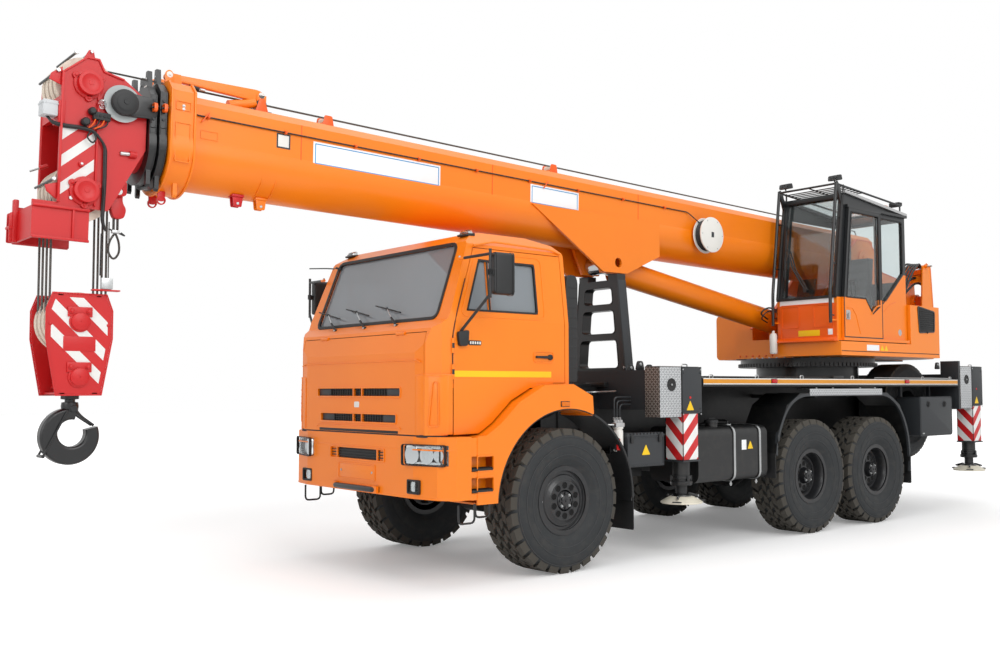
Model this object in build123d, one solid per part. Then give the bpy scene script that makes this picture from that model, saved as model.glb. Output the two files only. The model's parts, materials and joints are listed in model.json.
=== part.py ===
"""Mobile crane: a telescopic boom crane on a three-axle off-road lorry, in its travelling position.

Lengths are in millimetres. X points forward, Y to the left and Z up, and the ground is at Z = 0.
Stations along X are counted from the front axle. save() moves the finished pieces so that the
origin lies on the ground under the middle of the whole machine.
"""
from build123d import *
import math
import os
from collections import namedtuple

os.makedirs("parts", exist_ok=True)

# ---- driving dimensions -------------------------------------------------------------------------
RUN_GAP = 0.3           # clearance of a seat, pin or bearing face
MOVE_GAP = 6.0          # clearance of panels and beams that pass each other
HALF_WIDTH = 1250       # of the chassis, over bumper, fenders, deck and outrigger boxes

TYRE_R = 620
TYRE_HALF_W = 215
TREAD_HALF_W = 165
RIM_R = 268
RIM_HALF_W = 163
FLANGE_H = 30
WHEEL_Y = 1025
FRONT_AXLE = 0
MID_AXLE = -3690
LAST_AXLE = -5010
KINGPIN_Y = 800
KINGPIN_R = 25
BALL_R = 115
SPINDLE_R = 60

RAIL_FRONT = 1300
RAIL_REAR = -7400
RAIL_Y = 430            # outer face of the chassis rails
RAIL_FLANGE = 80
RAIL_T = 8
RAIL_BOTTOM = 890
RAIL_TOP = 1150

GIRDER_FRONT = -400
GIRDER_TOP = 1600
GIRDER_T = 14
DECK_FRONT = -1790
DECK_REAR = -6950
DECK_TOP = 1684
DECK_T = 12

CAB_REAR = -100
CAB_FRONT = 1350
CAB_HALF_W = 1142
CAB_FLOOR = 1590
DOOR_SILL = 1635
CAB_NOSE_BOTTOM = 1215
CAB_BELT = 2150
CAB_ROOF = 2930
CAB_WALL = 40
GLASS_T = 6
GLASS_INSET = 16
LID_HALF_W = 980
DEFLECTOR_T = 9
DEFLECTOR_TOP = 1695
LID_SEAM = 2040
LID_HINGE = (1309, 2043)     # X, Z of the front panel's hinge pins
DOOR_HINGE = (1163, 1140)    # X, Y of the doors' hinge pins
HINGE_R = 14
HINGE_PIN_R = 7
HINGE_KNUCKLE = 40
STEERING_WHEEL = (690, 560, 2212)
BUMPER_TOP = 1203
BUMPER_BOTTOM = 705
TOW_BAR_R = 22
TOW_BAR_Y = 330

TUBE_X = 290            # outrigger tube, outside, along X
TUBE_BOTTOM = 1380
TUBE_TOP = 1760
TUBE_T = 12
COVER_HALF_X = 152      # end box over a tube's closed end
COVER_BOTTOM = 1308
TUBE_HALF_Y = 1065
JACK_R = 85
JACK_ROD_R = 55
JACK_X = 23             # jack ahead of the middle of its beam
JACK_Y = 1125
PAD_R = 197
PAD_BOTTOM = 478

SPARE_R = 600
SPARE_X = -6365
SPARE_Y = 690
SPARE_Z = 1290
SPARE_ROOM = 20

SLEW_X = -5400
SLEW_NECK_R = 640
SLEW_FLANGE_T = 50
SLEW_R = 860
SLEW_TOP = 1895
TABLE_BOTTOM = 1945
EAR_IN = 300            # inner face of the turntable's side plates
EAR_T = 35
PIVOT_X = -6250
PIVOT_Z = 3290
PIVOT_R = 60
BOOM_RISE = 1.15        # degrees, in the travelling position
WINCH_X = -6980
WINCH_Z = 2740

BOOM_HALF_W = 260
BOOM_HALF_H = 350
BOOM_BEVEL = 70
BOOM_WALL = 12
BOOM_STEP = 27          # each section lies this far inside the one before
BOOM_TAIL = -350
BASE_LENGTH = 9410      # from the pivot to the front of the base section's collar
COLLAR_H = 58
COLLAR_T = 55
HEAD_X = BASE_LENGTH + 560  # sheave axles, from the pivot along the boom
UPPER_SHEAVE_Z = 270
LOWER_SHEAVE_Z = -500
SHEAVE_R = 200
ROPE_R = 8
ROPE_PITCH_R = 190
SHEAVE_PITCH = 90
SHEAVE_COUNT = 4
HEAD_PLATE_Y = 205
HEAD_PLATE_T = 20
TRAY_FRONT = HEAD_X + 340

LIFT_BASE = (-4950, 2364)   # X, Z of the lift cylinder's lower pin
LIFT_EYE = (-1620, 2895)    # X, Z of its upper pin
LIFT_R = 140
LIFT_BORE_R = 110
LIFT_ROD_R = 80
LIFT_PIN_R = 50
LUG_IN = 125                # inner faces of the cylinder's lugs
LUG_T = 35

BLOCK_TOP = 2260
BLOCK_BOTTOM = 1554
BLOCK_HALF_X = 220
BLOCK_PLATE_Y = 165
BLOCK_SHEAVE_Z = 2066
HOOK_R = 203

CC_REAR = -5845         # crane operator's cab
CC_FRONT = -4300
CC_IN = 345
CC_OUT = 1160
CC_FLOOR = 2120
CC_ROOF = 3860
CC_WALL = 40

NOSE_STATION = PIVOT_X + TRAY_FRONT * math.cos(math.radians(BOOM_RISE)) + 15
Pair = namedtuple("Pair", "name right left board_bottom box_top")
OUTRIGGERS = (
    Pair("front", -1314, -1623, 885, 1790),
    Pair("rear", -7158, -7467, 860, 1860),
)
TAIL_STATION = OUTRIGGERS[1].left + JACK_X - PAD_R
SHIFT_X = -(NOSE_STATION + TAIL_STATION) / 2


# ---- small helpers ------------------------------------------------------------------------------
def box(x, y, z):
    """A box from three (low, high) pairs."""
    size = [max(p) - min(p) for p in (x, y, z)]
    return Pos(*[(p[0] + p[1]) / 2 for p in (x, y, z)]) * Box(*size)


def both_sides(shape):
    """A shape and its mirror image across the middle plane."""
    return shape + mirror(shape, about=Plane.XZ)


def face_of(points):
    return make_face(Polyline(*points, close=True).edges())


def slab_y(points, y):
    """Extrude an XZ outline from y[0] to y[1]."""
    face = face_of([(px, min(y), pz) for px, pz in points])
    return extrude(face, amount=abs(y[1] - y[0]), dir=(0, 1, 0))


def slab_x(points, x):
    """Extrude a YZ outline from x[0] to x[1]."""
    face = face_of([(min(x), py, pz) for py, pz in points])
    return extrude(face, amount=abs(x[1] - x[0]), dir=(1, 0, 0))


def slab_z(points, z):
    """Extrude an XY outline from z[0] to z[1]."""
    face = face_of([(px, py, min(z)) for px, py in points])
    return extrude(face, amount=abs(z[1] - z[0]), dir=(0, 0, 1))


def disc_y(x, z, radius, y):
    """A cylinder along Y."""
    return Pos(x, (y[0] + y[1]) / 2, z) * Rot(90, 0, 0) * Cylinder(radius, abs(y[1] - y[0]))


def disc_z(x, y, radius, z):
    """An upright cylinder."""
    return Pos(x, y, (z[0] + z[1]) / 2) * Cylinder(radius, abs(z[1] - z[0]))


def rod(start, end, radius):
    """A cylinder between two points."""
    a, b = Vector(*start), Vector(*end)
    plane = Plane(origin=a, z_dir=(b - a).normalized())
    return extrude(plane * Circle(radius), amount=(b - a).length)


def turned_y(points):
    """Revolve an outline of (radius, y) points about the Y axis."""
    return revolve(face_of([(r, t, 0) for r, t in points]), Axis.Y, 360)


def turned_z(points):
    """Revolve an outline of (radius, z) points about the Z axis."""
    return revolve(face_of([(r, 0, t) for r, t in points]), Axis.Z, 360)


NODES = {}


def save(name, shape):
    """Move a finished piece to the machine's own origin and write it."""
    placed = Pos(SHIFT_X, 0, 0) * shape
    NODES[name] = placed
    export_step(placed, f"parts/{name}.step")


# ---- wheels, axles, springs ---------------------------------------------------------------------
def tyre(radius=TYRE_R):
    half = [
        (RIM_R + RUN_GAP, RIM_HALF_W - 13),
        (RIM_R + FLANGE_H, RIM_HALF_W - 13),
        (RIM_R + 160, TYRE_HALF_W),
        (radius - 70, TYRE_HALF_W - 7),
        (radius, TREAD_HALF_W),
    ]
    return turned_y(half + [(r, -t) for r, t in reversed(half)])


def rim(disc_t, hub_out):
    """Drop-centre rim with a perforated disc; disc_t is how far out the disc stands."""
    inner = RIM_R - 12
    seat = RIM_HALF_W - 13 + RUN_GAP
    barrel = turned_y([
        (inner, -RIM_HALF_W), (RIM_R + FLANGE_H, -RIM_HALF_W), (RIM_R + FLANGE_H, -seat), (RIM_R, -seat),
        (RIM_R, seat), (RIM_R + FLANGE_H, seat), (RIM_R + FLANGE_H, RIM_HALF_W), (inner, RIM_HALF_W),
    ])
    dish = turned_y([
        (80, disc_t - 16), (185, disc_t - 16), (inner + 2, disc_t - 62), (inner + 2, disc_t - 42),
        (190, disc_t), (80, disc_t),
    ])
    holes = [Rot(0, a * 30, 0) * disc_y(215, 0, 24, (disc_t - 80, disc_t + 20)) for a in range(12)]
    for hole in holes:
        dish -= hole
    hub = turned_y([(0, -70), (205, -70), (205, -54), (100, -54), (100, disc_t), (75, hub_out), (0, hub_out)])
    drum = turned_y([(188, -150), (205, -150), (205, -60), (188, -60)])
    bore = disc_y(0, 0, SPINDLE_R + RUN_GAP, (-80, 40))
    return barrel + dish + hub + drum - bore


Wheel = namedtuple("Wheel", "name station side disc_t hub_out")
WHEELS = [
    Wheel(f"{axle}_{side}", station, sign, disc_t, hub_out)
    for axle, station, disc_t, hub_out in (
        ("front", FRONT_AXLE, 135, 172), ("mid", MID_AXLE, 25, 120), ("last", LAST_AXLE, 25, 120))
    for side, sign in (("left", 1), ("right", -1))
]


def make_wheels():
    plain = tyre()
    for wheel in WHEELS:
        metal = rim(wheel.disc_t, wheel.hub_out)
        if wheel.side < 0:
            metal = mirror(metal, about=Plane.XZ)
        place = Pos(wheel.station, wheel.side * WHEEL_Y, TYRE_R)
        save(f"tyre_{wheel.name}", place * plain)
        save(f"rim_{wheel.name}", place * metal)


def make_knuckles():
    shell = Sphere(BALL_R + 33) - Sphere(BALL_R + 1)
    shell &= box((-200, 200), (-30, 200), (-200, 200))
    spindle = disc_y(0, 0, SPINDLE_R, (BALL_R + 20, WHEEL_Y - KINGPIN_Y + 38))
    flange = disc_y(0, 0, 95, (BALL_R + 20, WHEEL_Y - KINGPIN_Y - 72))
    pins = None
    for way in (-1, 1):
        pin = disc_z(0, 0, KINGPIN_R, sorted((way * (BALL_R - 45), way * (BALL_R + 30))))
        cap = disc_z(0, 0, 46, sorted((way * (BALL_R + 20), way * (BALL_R + 48))))
        pins = pin + cap if pins is None else pins + pin + cap
    left = Pos(FRONT_AXLE, KINGPIN_Y, TYRE_R) * (shell + flange + spindle + pins)
    save("knuckle_left", left)
    save("knuckle_right", mirror(left, about=Plane.XZ))


def differential(station, flanges):
    """Axle housing with its bowl; flanges are the directions of its shafts."""
    bowl = Pos(station, 0, TYRE_R) * turned_y([
        (0, -260), (95, -260), (190, -110), (190, 110), (95, 260), (0, 260)])
    for way in flanges:
        bowl += rod((station, 0, TYRE_R), (station + way * 250, 0, TYRE_R), 70)
    return bowl


def make_running_gear():
    spring_y = (RAIL_Y - RAIL_FLANGE, RAIL_Y)
    front = differential(FRONT_AXLE, (-1,)) + disc_y(FRONT_AXLE, TYRE_R, 80, (-740, 740))
    front += both_sides(Pos(FRONT_AXLE, KINGPIN_Y, TYRE_R) * Sphere(BALL_R))
    for way in (-1, 1):
        bore = sorted((TYRE_R + way * (BALL_R - 46), TYRE_R + way * (BALL_R + 10)))
        front -= both_sides(disc_z(FRONT_AXLE, KINGPIN_Y, KINGPIN_R + RUN_GAP, bore))
    leaf = make_face(
        ThreePointArc((-740, 0, 852), (0, 0, 722), (740, 0, 852)).edges()
        + Line((740, 0, 852), (740, 0, 884)).edges()
        + ThreePointArc((740, 0, 884), (0, 0, 800), (-740, 0, 884)).edges()
        + Line((-740, 0, 884), (-740, 0, 852)).edges())
    pack = Pos(FRONT_AXLE, spring_y[0], 0) * extrude(leaf, amount=RAIL_FLANGE, dir=(0, 1, 0))
    pack += box((FRONT_AXLE - 110, FRONT_AXLE + 110), spring_y, (640, 740))
    for end in (-1, 1):
        pack += box((FRONT_AXLE + end * 700 - 40, FRONT_AXLE + end * 700 + 40), spring_y, (850, RAIL_BOTTOM))
    front += both_sides(pack)

    middle = (MID_AXLE + LAST_AXLE) / 2
    span = (MID_AXLE - LAST_AXLE) / 2
    rear = differential(MID_AXLE, (1, -1)) + differential(LAST_AXLE, (1,))
    for station in (MID_AXLE, LAST_AXLE):
        rear += disc_y(station, TYRE_R, 85, (-820, 820))
        rear += both_sides(disc_y(station, TYRE_R, SPINDLE_R, (820, WHEEL_Y + 38)))
        rear += both_sides(disc_y(station, TYRE_R, 120, (800, WHEEL_Y - 90)))
    leaf = make_face(
        ThreePointArc((-span, 0, 690), (0, 0, 775), (span, 0, 690)).edges()
        + Line((span, 0, 690), (span, 0, 740)).edges()
        + ThreePointArc((span, 0, 740), (0, 0, 880), (-span, 0, 740)).edges()
        + Line((-span, 0, 740), (-span, 0, 690)).edges())
    pack = Pos(middle, spring_y[0], 0) * extrude(leaf, amount=RAIL_FLANGE, dir=(0, 1, 0))
    pack += box((middle - 120, middle + 120), spring_y, (640, RAIL_BOTTOM))
    rear += both_sides(pack) + disc_y(middle, 745, 50, (-380, 380))
    save("running_gear", Compound(children=[front, rear]))


def make_powertrain():
    """Engine, gearbox and transfer case as plain blocks, with their shafts."""
    joint = 250 + RUN_GAP
    unit = box((-100, 900), (-300, 300), (860, 1500))
    unit += box((-700, -100), (-200, 200), (880, 1130))
    unit += rod((-690, 0, 985), (-1510, 0, 900), 45)
    unit += box((-2000, -1500), (-230, 230), (660, 1020))
    for start, end in (((-1510, 0, 760), FRONT_AXLE - joint), ((-1990, 0, 760), MID_AXLE + joint)):
        way = 1 if end > start[0] else -1
        unit += rod(start, (end - way * 60, 0, TYRE_R), 45)
        unit += rod((end - way * 90, 0, TYRE_R), (end, 0, TYRE_R), 65)
    through = rod((MID_AXLE - joint, 0, TYRE_R), (LAST_AXLE + joint, 0, TYRE_R), 45)
    save("powertrain", Compound(children=[unit, through]))


# ---- chassis and crane subframe -----------------------------------------------------------------
def make_chassis_frame():
    web = RAIL_Y - RAIL_T
    inner = RAIL_Y - RAIL_FLANGE
    rail = slab_x([
        (inner, RAIL_BOTTOM), (RAIL_Y, RAIL_BOTTOM), (RAIL_Y, RAIL_TOP), (inner, RAIL_TOP),
        (inner, RAIL_TOP - RAIL_T), (web, RAIL_TOP - RAIL_T), (web, RAIL_BOTTOM + RAIL_T),
        (inner, RAIL_BOTTOM + RAIL_T)], (RAIL_REAR, RAIL_FRONT))
    frame = both_sides(rail)
    for station in (980, -850, -1350, -2400, -3100, -4350, -5700, -6500, -7340):
        frame += box((station - 40, station + 40), (-web - 4, web + 4), (1045, RAIL_TOP - 4))
    for station in (1000, -55):
        frame += both_sides(box((station - 40, station + 40), (inner, RAIL_Y), (RAIL_TOP - 4, CAB_FLOOR)))
    tow = box((RAIL_REAR - 40, RAIL_REAR + 8), (-RAIL_Y, RAIL_Y), (RAIL_BOTTOM, RAIL_TOP))
    tow += box((RAIL_REAR - 150, RAIL_REAR - 30), (-60, 60), (960, 1080))
    tow -= disc_z(RAIL_REAR - 100, 0, 25, (950, 1090))
    save("chassis_frame", frame + tow)


def tube_stations():
    return [station for pair in OUTRIGGERS for station in (pair.right, pair.left)]


def make_subframe():
    inner_y = RAIL_Y - GIRDER_T
    rear = OUTRIGGERS[1].left - TUBE_X / 2
    girder = slab_x([
        (-RAIL_Y, RAIL_TOP), (-RAIL_Y, GIRDER_TOP), (RAIL_Y, GIRDER_TOP), (RAIL_Y, RAIL_TOP),
        (inner_y, RAIL_TOP), (inner_y, GIRDER_TOP - GIRDER_T), (-inner_y, GIRDER_TOP - GIRDER_T),
        (-inner_y, RAIL_TOP)], (rear, GIRDER_FRONT))
    girder += disc_z(SLEW_X, 0, SLEW_R + 20, (GIRDER_TOP - 30, GIRDER_TOP))
    girder -= box((SPARE_X - SPARE_R - SPARE_ROOM, SPARE_X + SPARE_R + SPARE_ROOM),
                  (SPARE_Y - TYRE_HALF_W - SPARE_ROOM, SPARE_Y + TYRE_HALF_W + SPARE_ROOM),
                  (RAIL_TOP, GIRDER_TOP + 10))
    half = TUBE_X / 2
    for station in tube_stations():
        girder -= box((station - half, station + half), (-TUBE_HALF_Y, TUBE_HALF_Y), (TUBE_BOTTOM, TUBE_TOP))
    save("crane_subframe", girder)


def make_outrigger_boxes():
    half = TUBE_X / 2
    hollow = half - TUBE_T
    for pair in OUTRIGGERS:
        tubes = []
        for station, side in ((pair.right, 1), (pair.left, -1)):
            tube = box((station - half, station + half), (-TUBE_HALF_Y, TUBE_HALF_Y), (TUBE_BOTTOM, TUBE_TOP))
            tube += box((station - COVER_HALF_X, station + COVER_HALF_X),
                        (side * TUBE_HALF_Y, side * HALF_WIDTH), (COVER_BOTTOM, pair.box_top))
            if pair.name == "rear" and side == 1:
                post = station + COVER_HALF_X
                tube += both_sides(box((post - 4, post + 44), (TUBE_HALF_Y - 60, HALF_WIDTH), (1300, 1930)))
                tube += both_sides(box((post - 20, post + 44), (RAIL_Y, TUBE_HALF_Y), (1380, GIRDER_TOP)))
            y = sorted((side * (TUBE_HALF_Y - 5), -side * (TUBE_HALF_Y + 5)))
            tube -= box((station - hollow, station + hollow), y, (TUBE_BOTTOM + TUBE_T, TUBE_TOP - TUBE_T))
            tubes.append(tube)
        save(f"outrigger_boxes_{pair.name}", Compound(children=tubes))


def make_deck():
    top = box((DECK_REAR, DECK_FRONT), (-HALF_WIDTH, HALF_WIDTH), (DECK_TOP - DECK_T, DECK_TOP))
    edge = both_sides(box((DECK_REAR, DECK_FRONT), (HALF_WIDTH - 20, HALF_WIDTH), (GIRDER_TOP, DECK_TOP)))
    deck = top + edge
    for station in (-1850, -2700, -3500, -4300, -6370, -6900):
        deck += box((station - 30, station + 30), (-HALF_WIDTH + 5, HALF_WIDTH - 5),
                    (GIRDER_TOP, DECK_TOP - 2))
    deck -= disc_z(SLEW_X, 0, SLEW_R + 30, (GIRDER_TOP - 10, DECK_TOP + 10))
    deck -= box((SPARE_X - SPARE_R - SPARE_ROOM, SPARE_X + SPARE_R + SPARE_ROOM),
                (SPARE_Y - TYRE_HALF_W - SPARE_ROOM, SPARE_Y + TYRE_HALF_W + SPARE_ROOM),
                (GIRDER_TOP - 10, DECK_TOP + 10))
    save("deck", deck)


def make_spare_wheel():
    place = Pos(SPARE_X, SPARE_Y, SPARE_Z)
    hub = disc_y(0, 0, 60, (-(SPARE_Y - RAIL_Y), -60))
    save("spare_wheel", place * Compound(children=[tyre(SPARE_R), rim(25, 60) + hub]))


def make_slew_ring():
    ring = Pos(SLEW_X, 0, 0) * turned_z([
        (SLEW_NECK_R - 80, GIRDER_TOP), (SLEW_NECK_R, GIRDER_TOP), (SLEW_NECK_R, SLEW_TOP - SLEW_FLANGE_T),
        (SLEW_R, SLEW_TOP - SLEW_FLANGE_T), (SLEW_R, SLEW_TOP), (SLEW_NECK_R - 80, SLEW_TOP)])
    save("slew_ring", ring)


def make_side_equipment():
    tank = box((-2880, -1770), (560, 1200), (650, 1200))
    tank = fillet(tank.edges().filter_by(Axis.X), 90)
    hangers = [box((x - 30, x + 30), (RAIL_Y, 570), (900, 1150)) for x in (-2330, -2750)]
    band = fillet(box((-2880, -1770), (556, 1204), (646, 1204)).edges().filter_by(Axis.X), 94)
    straps = [band & box((x - 24, x + 24), (500, 1250), (600, 1250)) for x in (-2330, -2750)]
    filler = disc_z(-2120, 1080, 62, (1190, 1236))
    save("fuel_tanks", both_sides(tank + hangers + straps + filler))

    battery = box((-1270, -770), (620, 1200), (860, 1150)) + box((-1100, -920), (RAIL_Y, 630), (920, 1120))
    toolbox = box((-6760, -5950), (940, HALF_WIDTH), (980, 1465))
    toolbox = fillet(toolbox.edges().filter_by(Axis.Y), 25)
    for station in (-6710, -6000):
        toolbox += box((station - 20, station + 20), (940, 980), (1460, DECK_TOP - DECK_T))
    silencer = rod((-1280, -800, 1000), (-840, -800, 1000), 190)
    silencer += box((-1100, -920), (-700, -RAIL_Y), (920, 1120))
    save("side_boxes", Compound(children=[battery, silencer, toolbox, mirror(toolbox, about=Plane.XZ)]))

    outer = [(-2965, 880), (-3010, 1120), (-3180, 1400), (-3420, 1525), (-5200, 1525), (-5480, 1380),
             (-5650, 1120), (-5710, 860), (-5710, 567), (-5690, 567), (-5690, 865), (-5632, 1112),
             (-5466, 1365), (-5195, 1505), (-3425, 1505), (-3195, 1385), (-3029, 1112), (-2985, 880)]
    guard = slab_y(outer, (790, HALF_WIDTH - 5))
    for station in (-3690, -4350, -5010):
        guard += box((station - 25, station + 25), (RAIL_Y, 830), (1470, 1510))
    save("rear_fenders", both_sides(guard))


def make_boom_rest():
    station = OUTRIGGERS[0].left - 37
    half = 60
    top = 2720
    trestle = slab_x([(-390, TUBE_TOP), (-285, top), (285, top), (390, TUBE_TOP)],
                     (station - half, station + half))
    for low, high, w_low, w_high in ((1800, 2090, 290, 262), (2160, 2400, 245, 222), (2470, 2640, 212, 195)):
        window = slab_x([(-w_low, low), (-w_high, high), (w_high, high), (w_low, low)],
                        (station - 90, station + 90))
        trestle -= fillet(window.edges().filter_by(Axis.X), 45)
    pads = both_sides(box((station - half, station + half), (150, 285), (top - 2, 2780)))
    save("boom_rest", trestle + pads)


# ---- driver's cab -------------------------------------------------------------------------------
def hinge(disc, middle):
    """A barrel hinge: its fixed knuckles and pin, its moving knuckle, and the room each leaf gives up."""
    half = HINGE_KNUCKLE / 2
    room = HINGE_R + MOVE_GAP / 2
    ends = ((middle - 3 * half, middle - half - RUN_GAP), (middle + half + RUN_GAP, middle + 3 * half))
    fixed = disc(HINGE_R, ends[0]) + disc(HINGE_R, ends[1]) + disc(HINGE_PIN_R, (ends[0][0], ends[1][1]))
    moving = disc(HINGE_R, (middle - half, middle + half))
    fixed_room = disc(room, (middle - half - 2, middle + half + 2))
    moving_room = disc(room, (middle - 3 * half - 2, middle - half))
    moving_room += disc(room, (middle + half, middle + 3 * half + 2))
    moving_room += disc(HINGE_PIN_R + RUN_GAP, (middle - half - 1, middle + half + 1))
    return fixed, moving, fixed_room, moving_room


def cab_solid(inset, nose_inset=None):
    """The cab's outer form, drawn in by an even amount."""
    d = inset
    side = [(CAB_REAR, CAB_FLOOR), (CAB_REAR, 2760), (-40, 2850), (300, 2925), (560, CAB_ROOF), (820, 2890),
            (960, 2800), (1200, CAB_BELT), (1300, 2075), (CAB_FRONT, 1880), (CAB_FRONT, CAB_NOSE_BOTTOM),
            (1215, CAB_NOSE_BOTTOM), (1215, CAB_FLOOR)]
    front = [(-CAB_HALF_W, CAB_NOSE_BOTTOM), (-CAB_HALF_W, CAB_BELT), (-CAB_HALF_W + 75, 2780),
             (-CAB_HALF_W + 230, 2905), (0, CAB_ROOF + 15)]
    front = front + [(-py, pz) for py, pz in reversed(front[:-1])]
    plan = [(CAB_REAR, -CAB_HALF_W), (1140, -CAB_HALF_W), (1250, -1110), (1330, -1000), (CAB_FRONT, -880)]
    plan = plan + [(px, -py) for px, py in reversed(plan)]
    low, high = CAB_NOSE_BOTTOM - 100, CAB_ROOF + 100
    solids = []
    for outline, lift, direction, length in (
            ([(px, 0, pz) for px, pz in side], (0, -1300, 0), (0, 1, 0), 2600),
            ([(0, py, pz) for py, pz in front], (-300, 0, 0), (1, 0, 0), 2000),
            ([(px, py, 0) for px, py in plan], (0, 0, low), (0, 0, 1), high - low)):
        face = face_of(outline)
        if d:
            face = offset(face, amount=-d, kind=Kind.INTERSECTION)
        solids.append(Pos(*lift) * extrude(face, amount=length, dir=direction))
    return solids[0] & solids[1] & solids[2]


DOOR = [(-50, DOOR_SILL), (-50, 2745), (905, 2745), (1130, CAB_BELT), (1160, 2000), (1160, DOOR_SILL)]
DOOR_WINDOW = [(249, 2217), (249, 2655), (862, 2655), (1022, 2217)]
QUARTER_POST = [(760, 2217), (760, 2655), (790, 2655), (790, 2217)]


def grown(points, by):
    face = offset(face_of([(px, 0, pz) for px, pz in points]), amount=by, kind=Kind.INTERSECTION)
    return face


def grown_slab(points, by, y):
    face = Pos(0, min(y), 0) * grown(points, by)
    return extrude(face, amount=abs(y[1] - y[0]), dir=(0, 1, 0))


def corner_deflectors():
    """The deflectors that wrap the nose's corners beside the front panel, each with its tall recess."""
    skin = cab_solid(-DEFLECTOR_T) - cab_solid(DEFLECTOR_T)
    inner_y = LID_HALF_W + MOVE_GAP
    reach = both_sides(box((1172, CAB_FRONT + 50), (inner_y, CAB_HALF_W + 50),
                           (CAB_NOSE_BOTTOM, DEFLECTOR_TOP)))
    recess = both_sides(box((1250, CAB_FRONT + 50), (1034, 1094), (1290, 1640)))
    return (skin & reach) - (recess - cab_solid(0))


def make_cab():
    shell = cab_solid(0) - cab_solid(CAB_WALL)
    pane = cab_solid(GLASS_INSET) - cab_solid(GLASS_INSET + GLASS_T)
    left = (CAB_HALF_W - 130, CAB_HALF_W + 60)
    side_skin = (CAB_HALF_W - 300, CAB_HALF_W + 60)

    # windscreen and rear window
    screen = slab_x([(-950, 2172), (-925, 2775), (925, 2775), (950, 2172)], (880, 1260))
    back = slab_x([(-560, 2260), (-560, 2620), (560, 2620), (560, 2260)], (CAB_REAR - 20, CAB_REAR + 80))
    glass = [pane & screen, pane & back]
    save("cab_glass", Compound(children=glass))

    # the lifting front panel, with its two slots
    lid_box = box((1230, CAB_FRONT + 20), (-LID_HALF_W, LID_HALF_W), (CAB_NOSE_BOTTOM - 20, LID_SEAM))
    lid_hole = box((1215, CAB_FRONT + 20), (-LID_HALF_W - MOVE_GAP, LID_HALF_W + MOVE_GAP),
                   (CAB_NOSE_BOTTOM - 30, LID_SEAM + MOVE_GAP))
    lid = shell & lid_box
    for z, half in ((1560, 670), (1340, 610)):
        lid -= box((1300, CAB_FRONT + 20), (-half, half), (z - 34, z + 34))
    lid += both_sides(box((1316, CAB_FRONT - 4), (60, 78), (1300, 1600)))
    lid_hinges = [hinge(lambda r, span: disc_y(*LID_HINGE, r, span), y) for y in (-620, 620)]
    for fixed, moving, fixed_room, moving_room in lid_hinges:
        lid = lid + moving - moving_room
    save("front_panel", lid)

    # doors, each cut from the same skin
    body = shell - screen - back - lid_hole
    body -= grown_slab(DOOR, MOVE_GAP, side_skin)
    body -= grown_slab(DOOR, MOVE_GAP, (-side_skin[0], -side_skin[1]))
    body += box((CAB_REAR, 1215), (-CAB_HALF_W + 10, CAB_HALF_W - 10),
                (CAB_FLOOR, CAB_FLOOR + CAB_WALL - 5)) \
        - grown_slab(DOOR, MOVE_GAP, (CAB_HALF_W - CAB_WALL - 5, CAB_HALF_W)) \
        - grown_slab(DOOR, MOVE_GAP, (-CAB_HALF_W, -CAB_HALF_W + CAB_WALL + 5)) \
        - lid_hole
    door_hinges = [hinge(lambda r, span: disc_z(*DOOR_HINGE, r, span), z) for z in (1720, 1930)]
    for fixed, moving, fixed_room, moving_room in lid_hinges:
        body = body - fixed_room + fixed
    for fixed, moving, fixed_room, moving_room in door_hinges:
        body = body - both_sides(fixed_room) + both_sides(fixed)
    save("cab_shell", body + corner_deflectors())

    door = shell & slab_y(DOOR, left)
    door &= box((-60, 1170), (CAB_HALF_W - 130, CAB_HALF_W + 5), (CAB_FLOOR, 2760))
    door -= slab_y(DOOR_WINDOW, left)
    door -= box((-80, 1180), (CAB_HALF_W - 140, CAB_HALF_W - CAB_WALL),
                (CAB_FLOOR - 20, CAB_FLOOR + CAB_WALL + 20))
    door += (cab_solid(4) - cab_solid(CAB_WALL - 4)) & slab_y(QUARTER_POST, left)
    window = (pane & slab_y(DOOR_WINDOW, left)) - slab_y(QUARTER_POST, left)
    mirror_arm = rod((1020, 1440, 2300), (1020, 1440, 2690), 12)
    mirror_arm += rod((1020, 1440, 2650), (1060, CAB_HALF_W - 60, 2640), 12)
    mirror_arm += rod((1020, 1440, 2330), (1100, CAB_HALF_W - 30, 2010), 12)
    mirror_arm += fillet(box((800, 990), (1400, 1470), (2340, 2660)).edges(), 20)
    mirror_arm += box((975, 1030), (1425, 1455), (2480, 2520))
    mirror_arm -= cab_solid(CAB_WALL / 2)
    left_door = door + mirror_arm
    for fixed, moving, fixed_room, moving_room in door_hinges:
        left_door = left_door + moving - moving_room
    for side, turn in (("left", lambda s: s), ("right", lambda s: mirror(s, about=Plane.XZ))):
        save(f"cab_door_{side}", turn(left_door))
        save(f"door_glass_{side}", turn(window))


def make_cab_interior():
    floor = CAB_FLOOR + CAB_WALL
    pieces = []
    for y in (-560, 560):
        seat = box((60, 560), (y - 240, y + 240), (floor + 240, floor + 400))
        seat += slab_y([(60, floor + 390), (200, floor + 390), (110, floor + 1000), (-20, floor + 1000)],
                       (y - 230, y + 230))
        seat += box((150, 450), (y - 170, y + 170), (floor, floor + 250))
        pieces.append(seat)
    dash = slab_y([(900, floor), (1120, floor), (1120, 2100), (1060, 2120), (830, 2110), (800, 2010),
                   (880, 1950)], (-1080, 1080))
    column = rod((900, STEERING_WHEEL[1], 1950), STEERING_WHEEL, 28)
    rim_plane = Plane(origin=STEERING_WHEEL, z_dir=(-0.62, 0, 0.78)).location
    wheel = rim_plane * Torus(215, 16)
    spoke = rim_plane * Box(420, 40, 16)
    pieces.append(dash + column + wheel + spoke)
    save("cab_interior", Compound(children=pieces))


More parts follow.
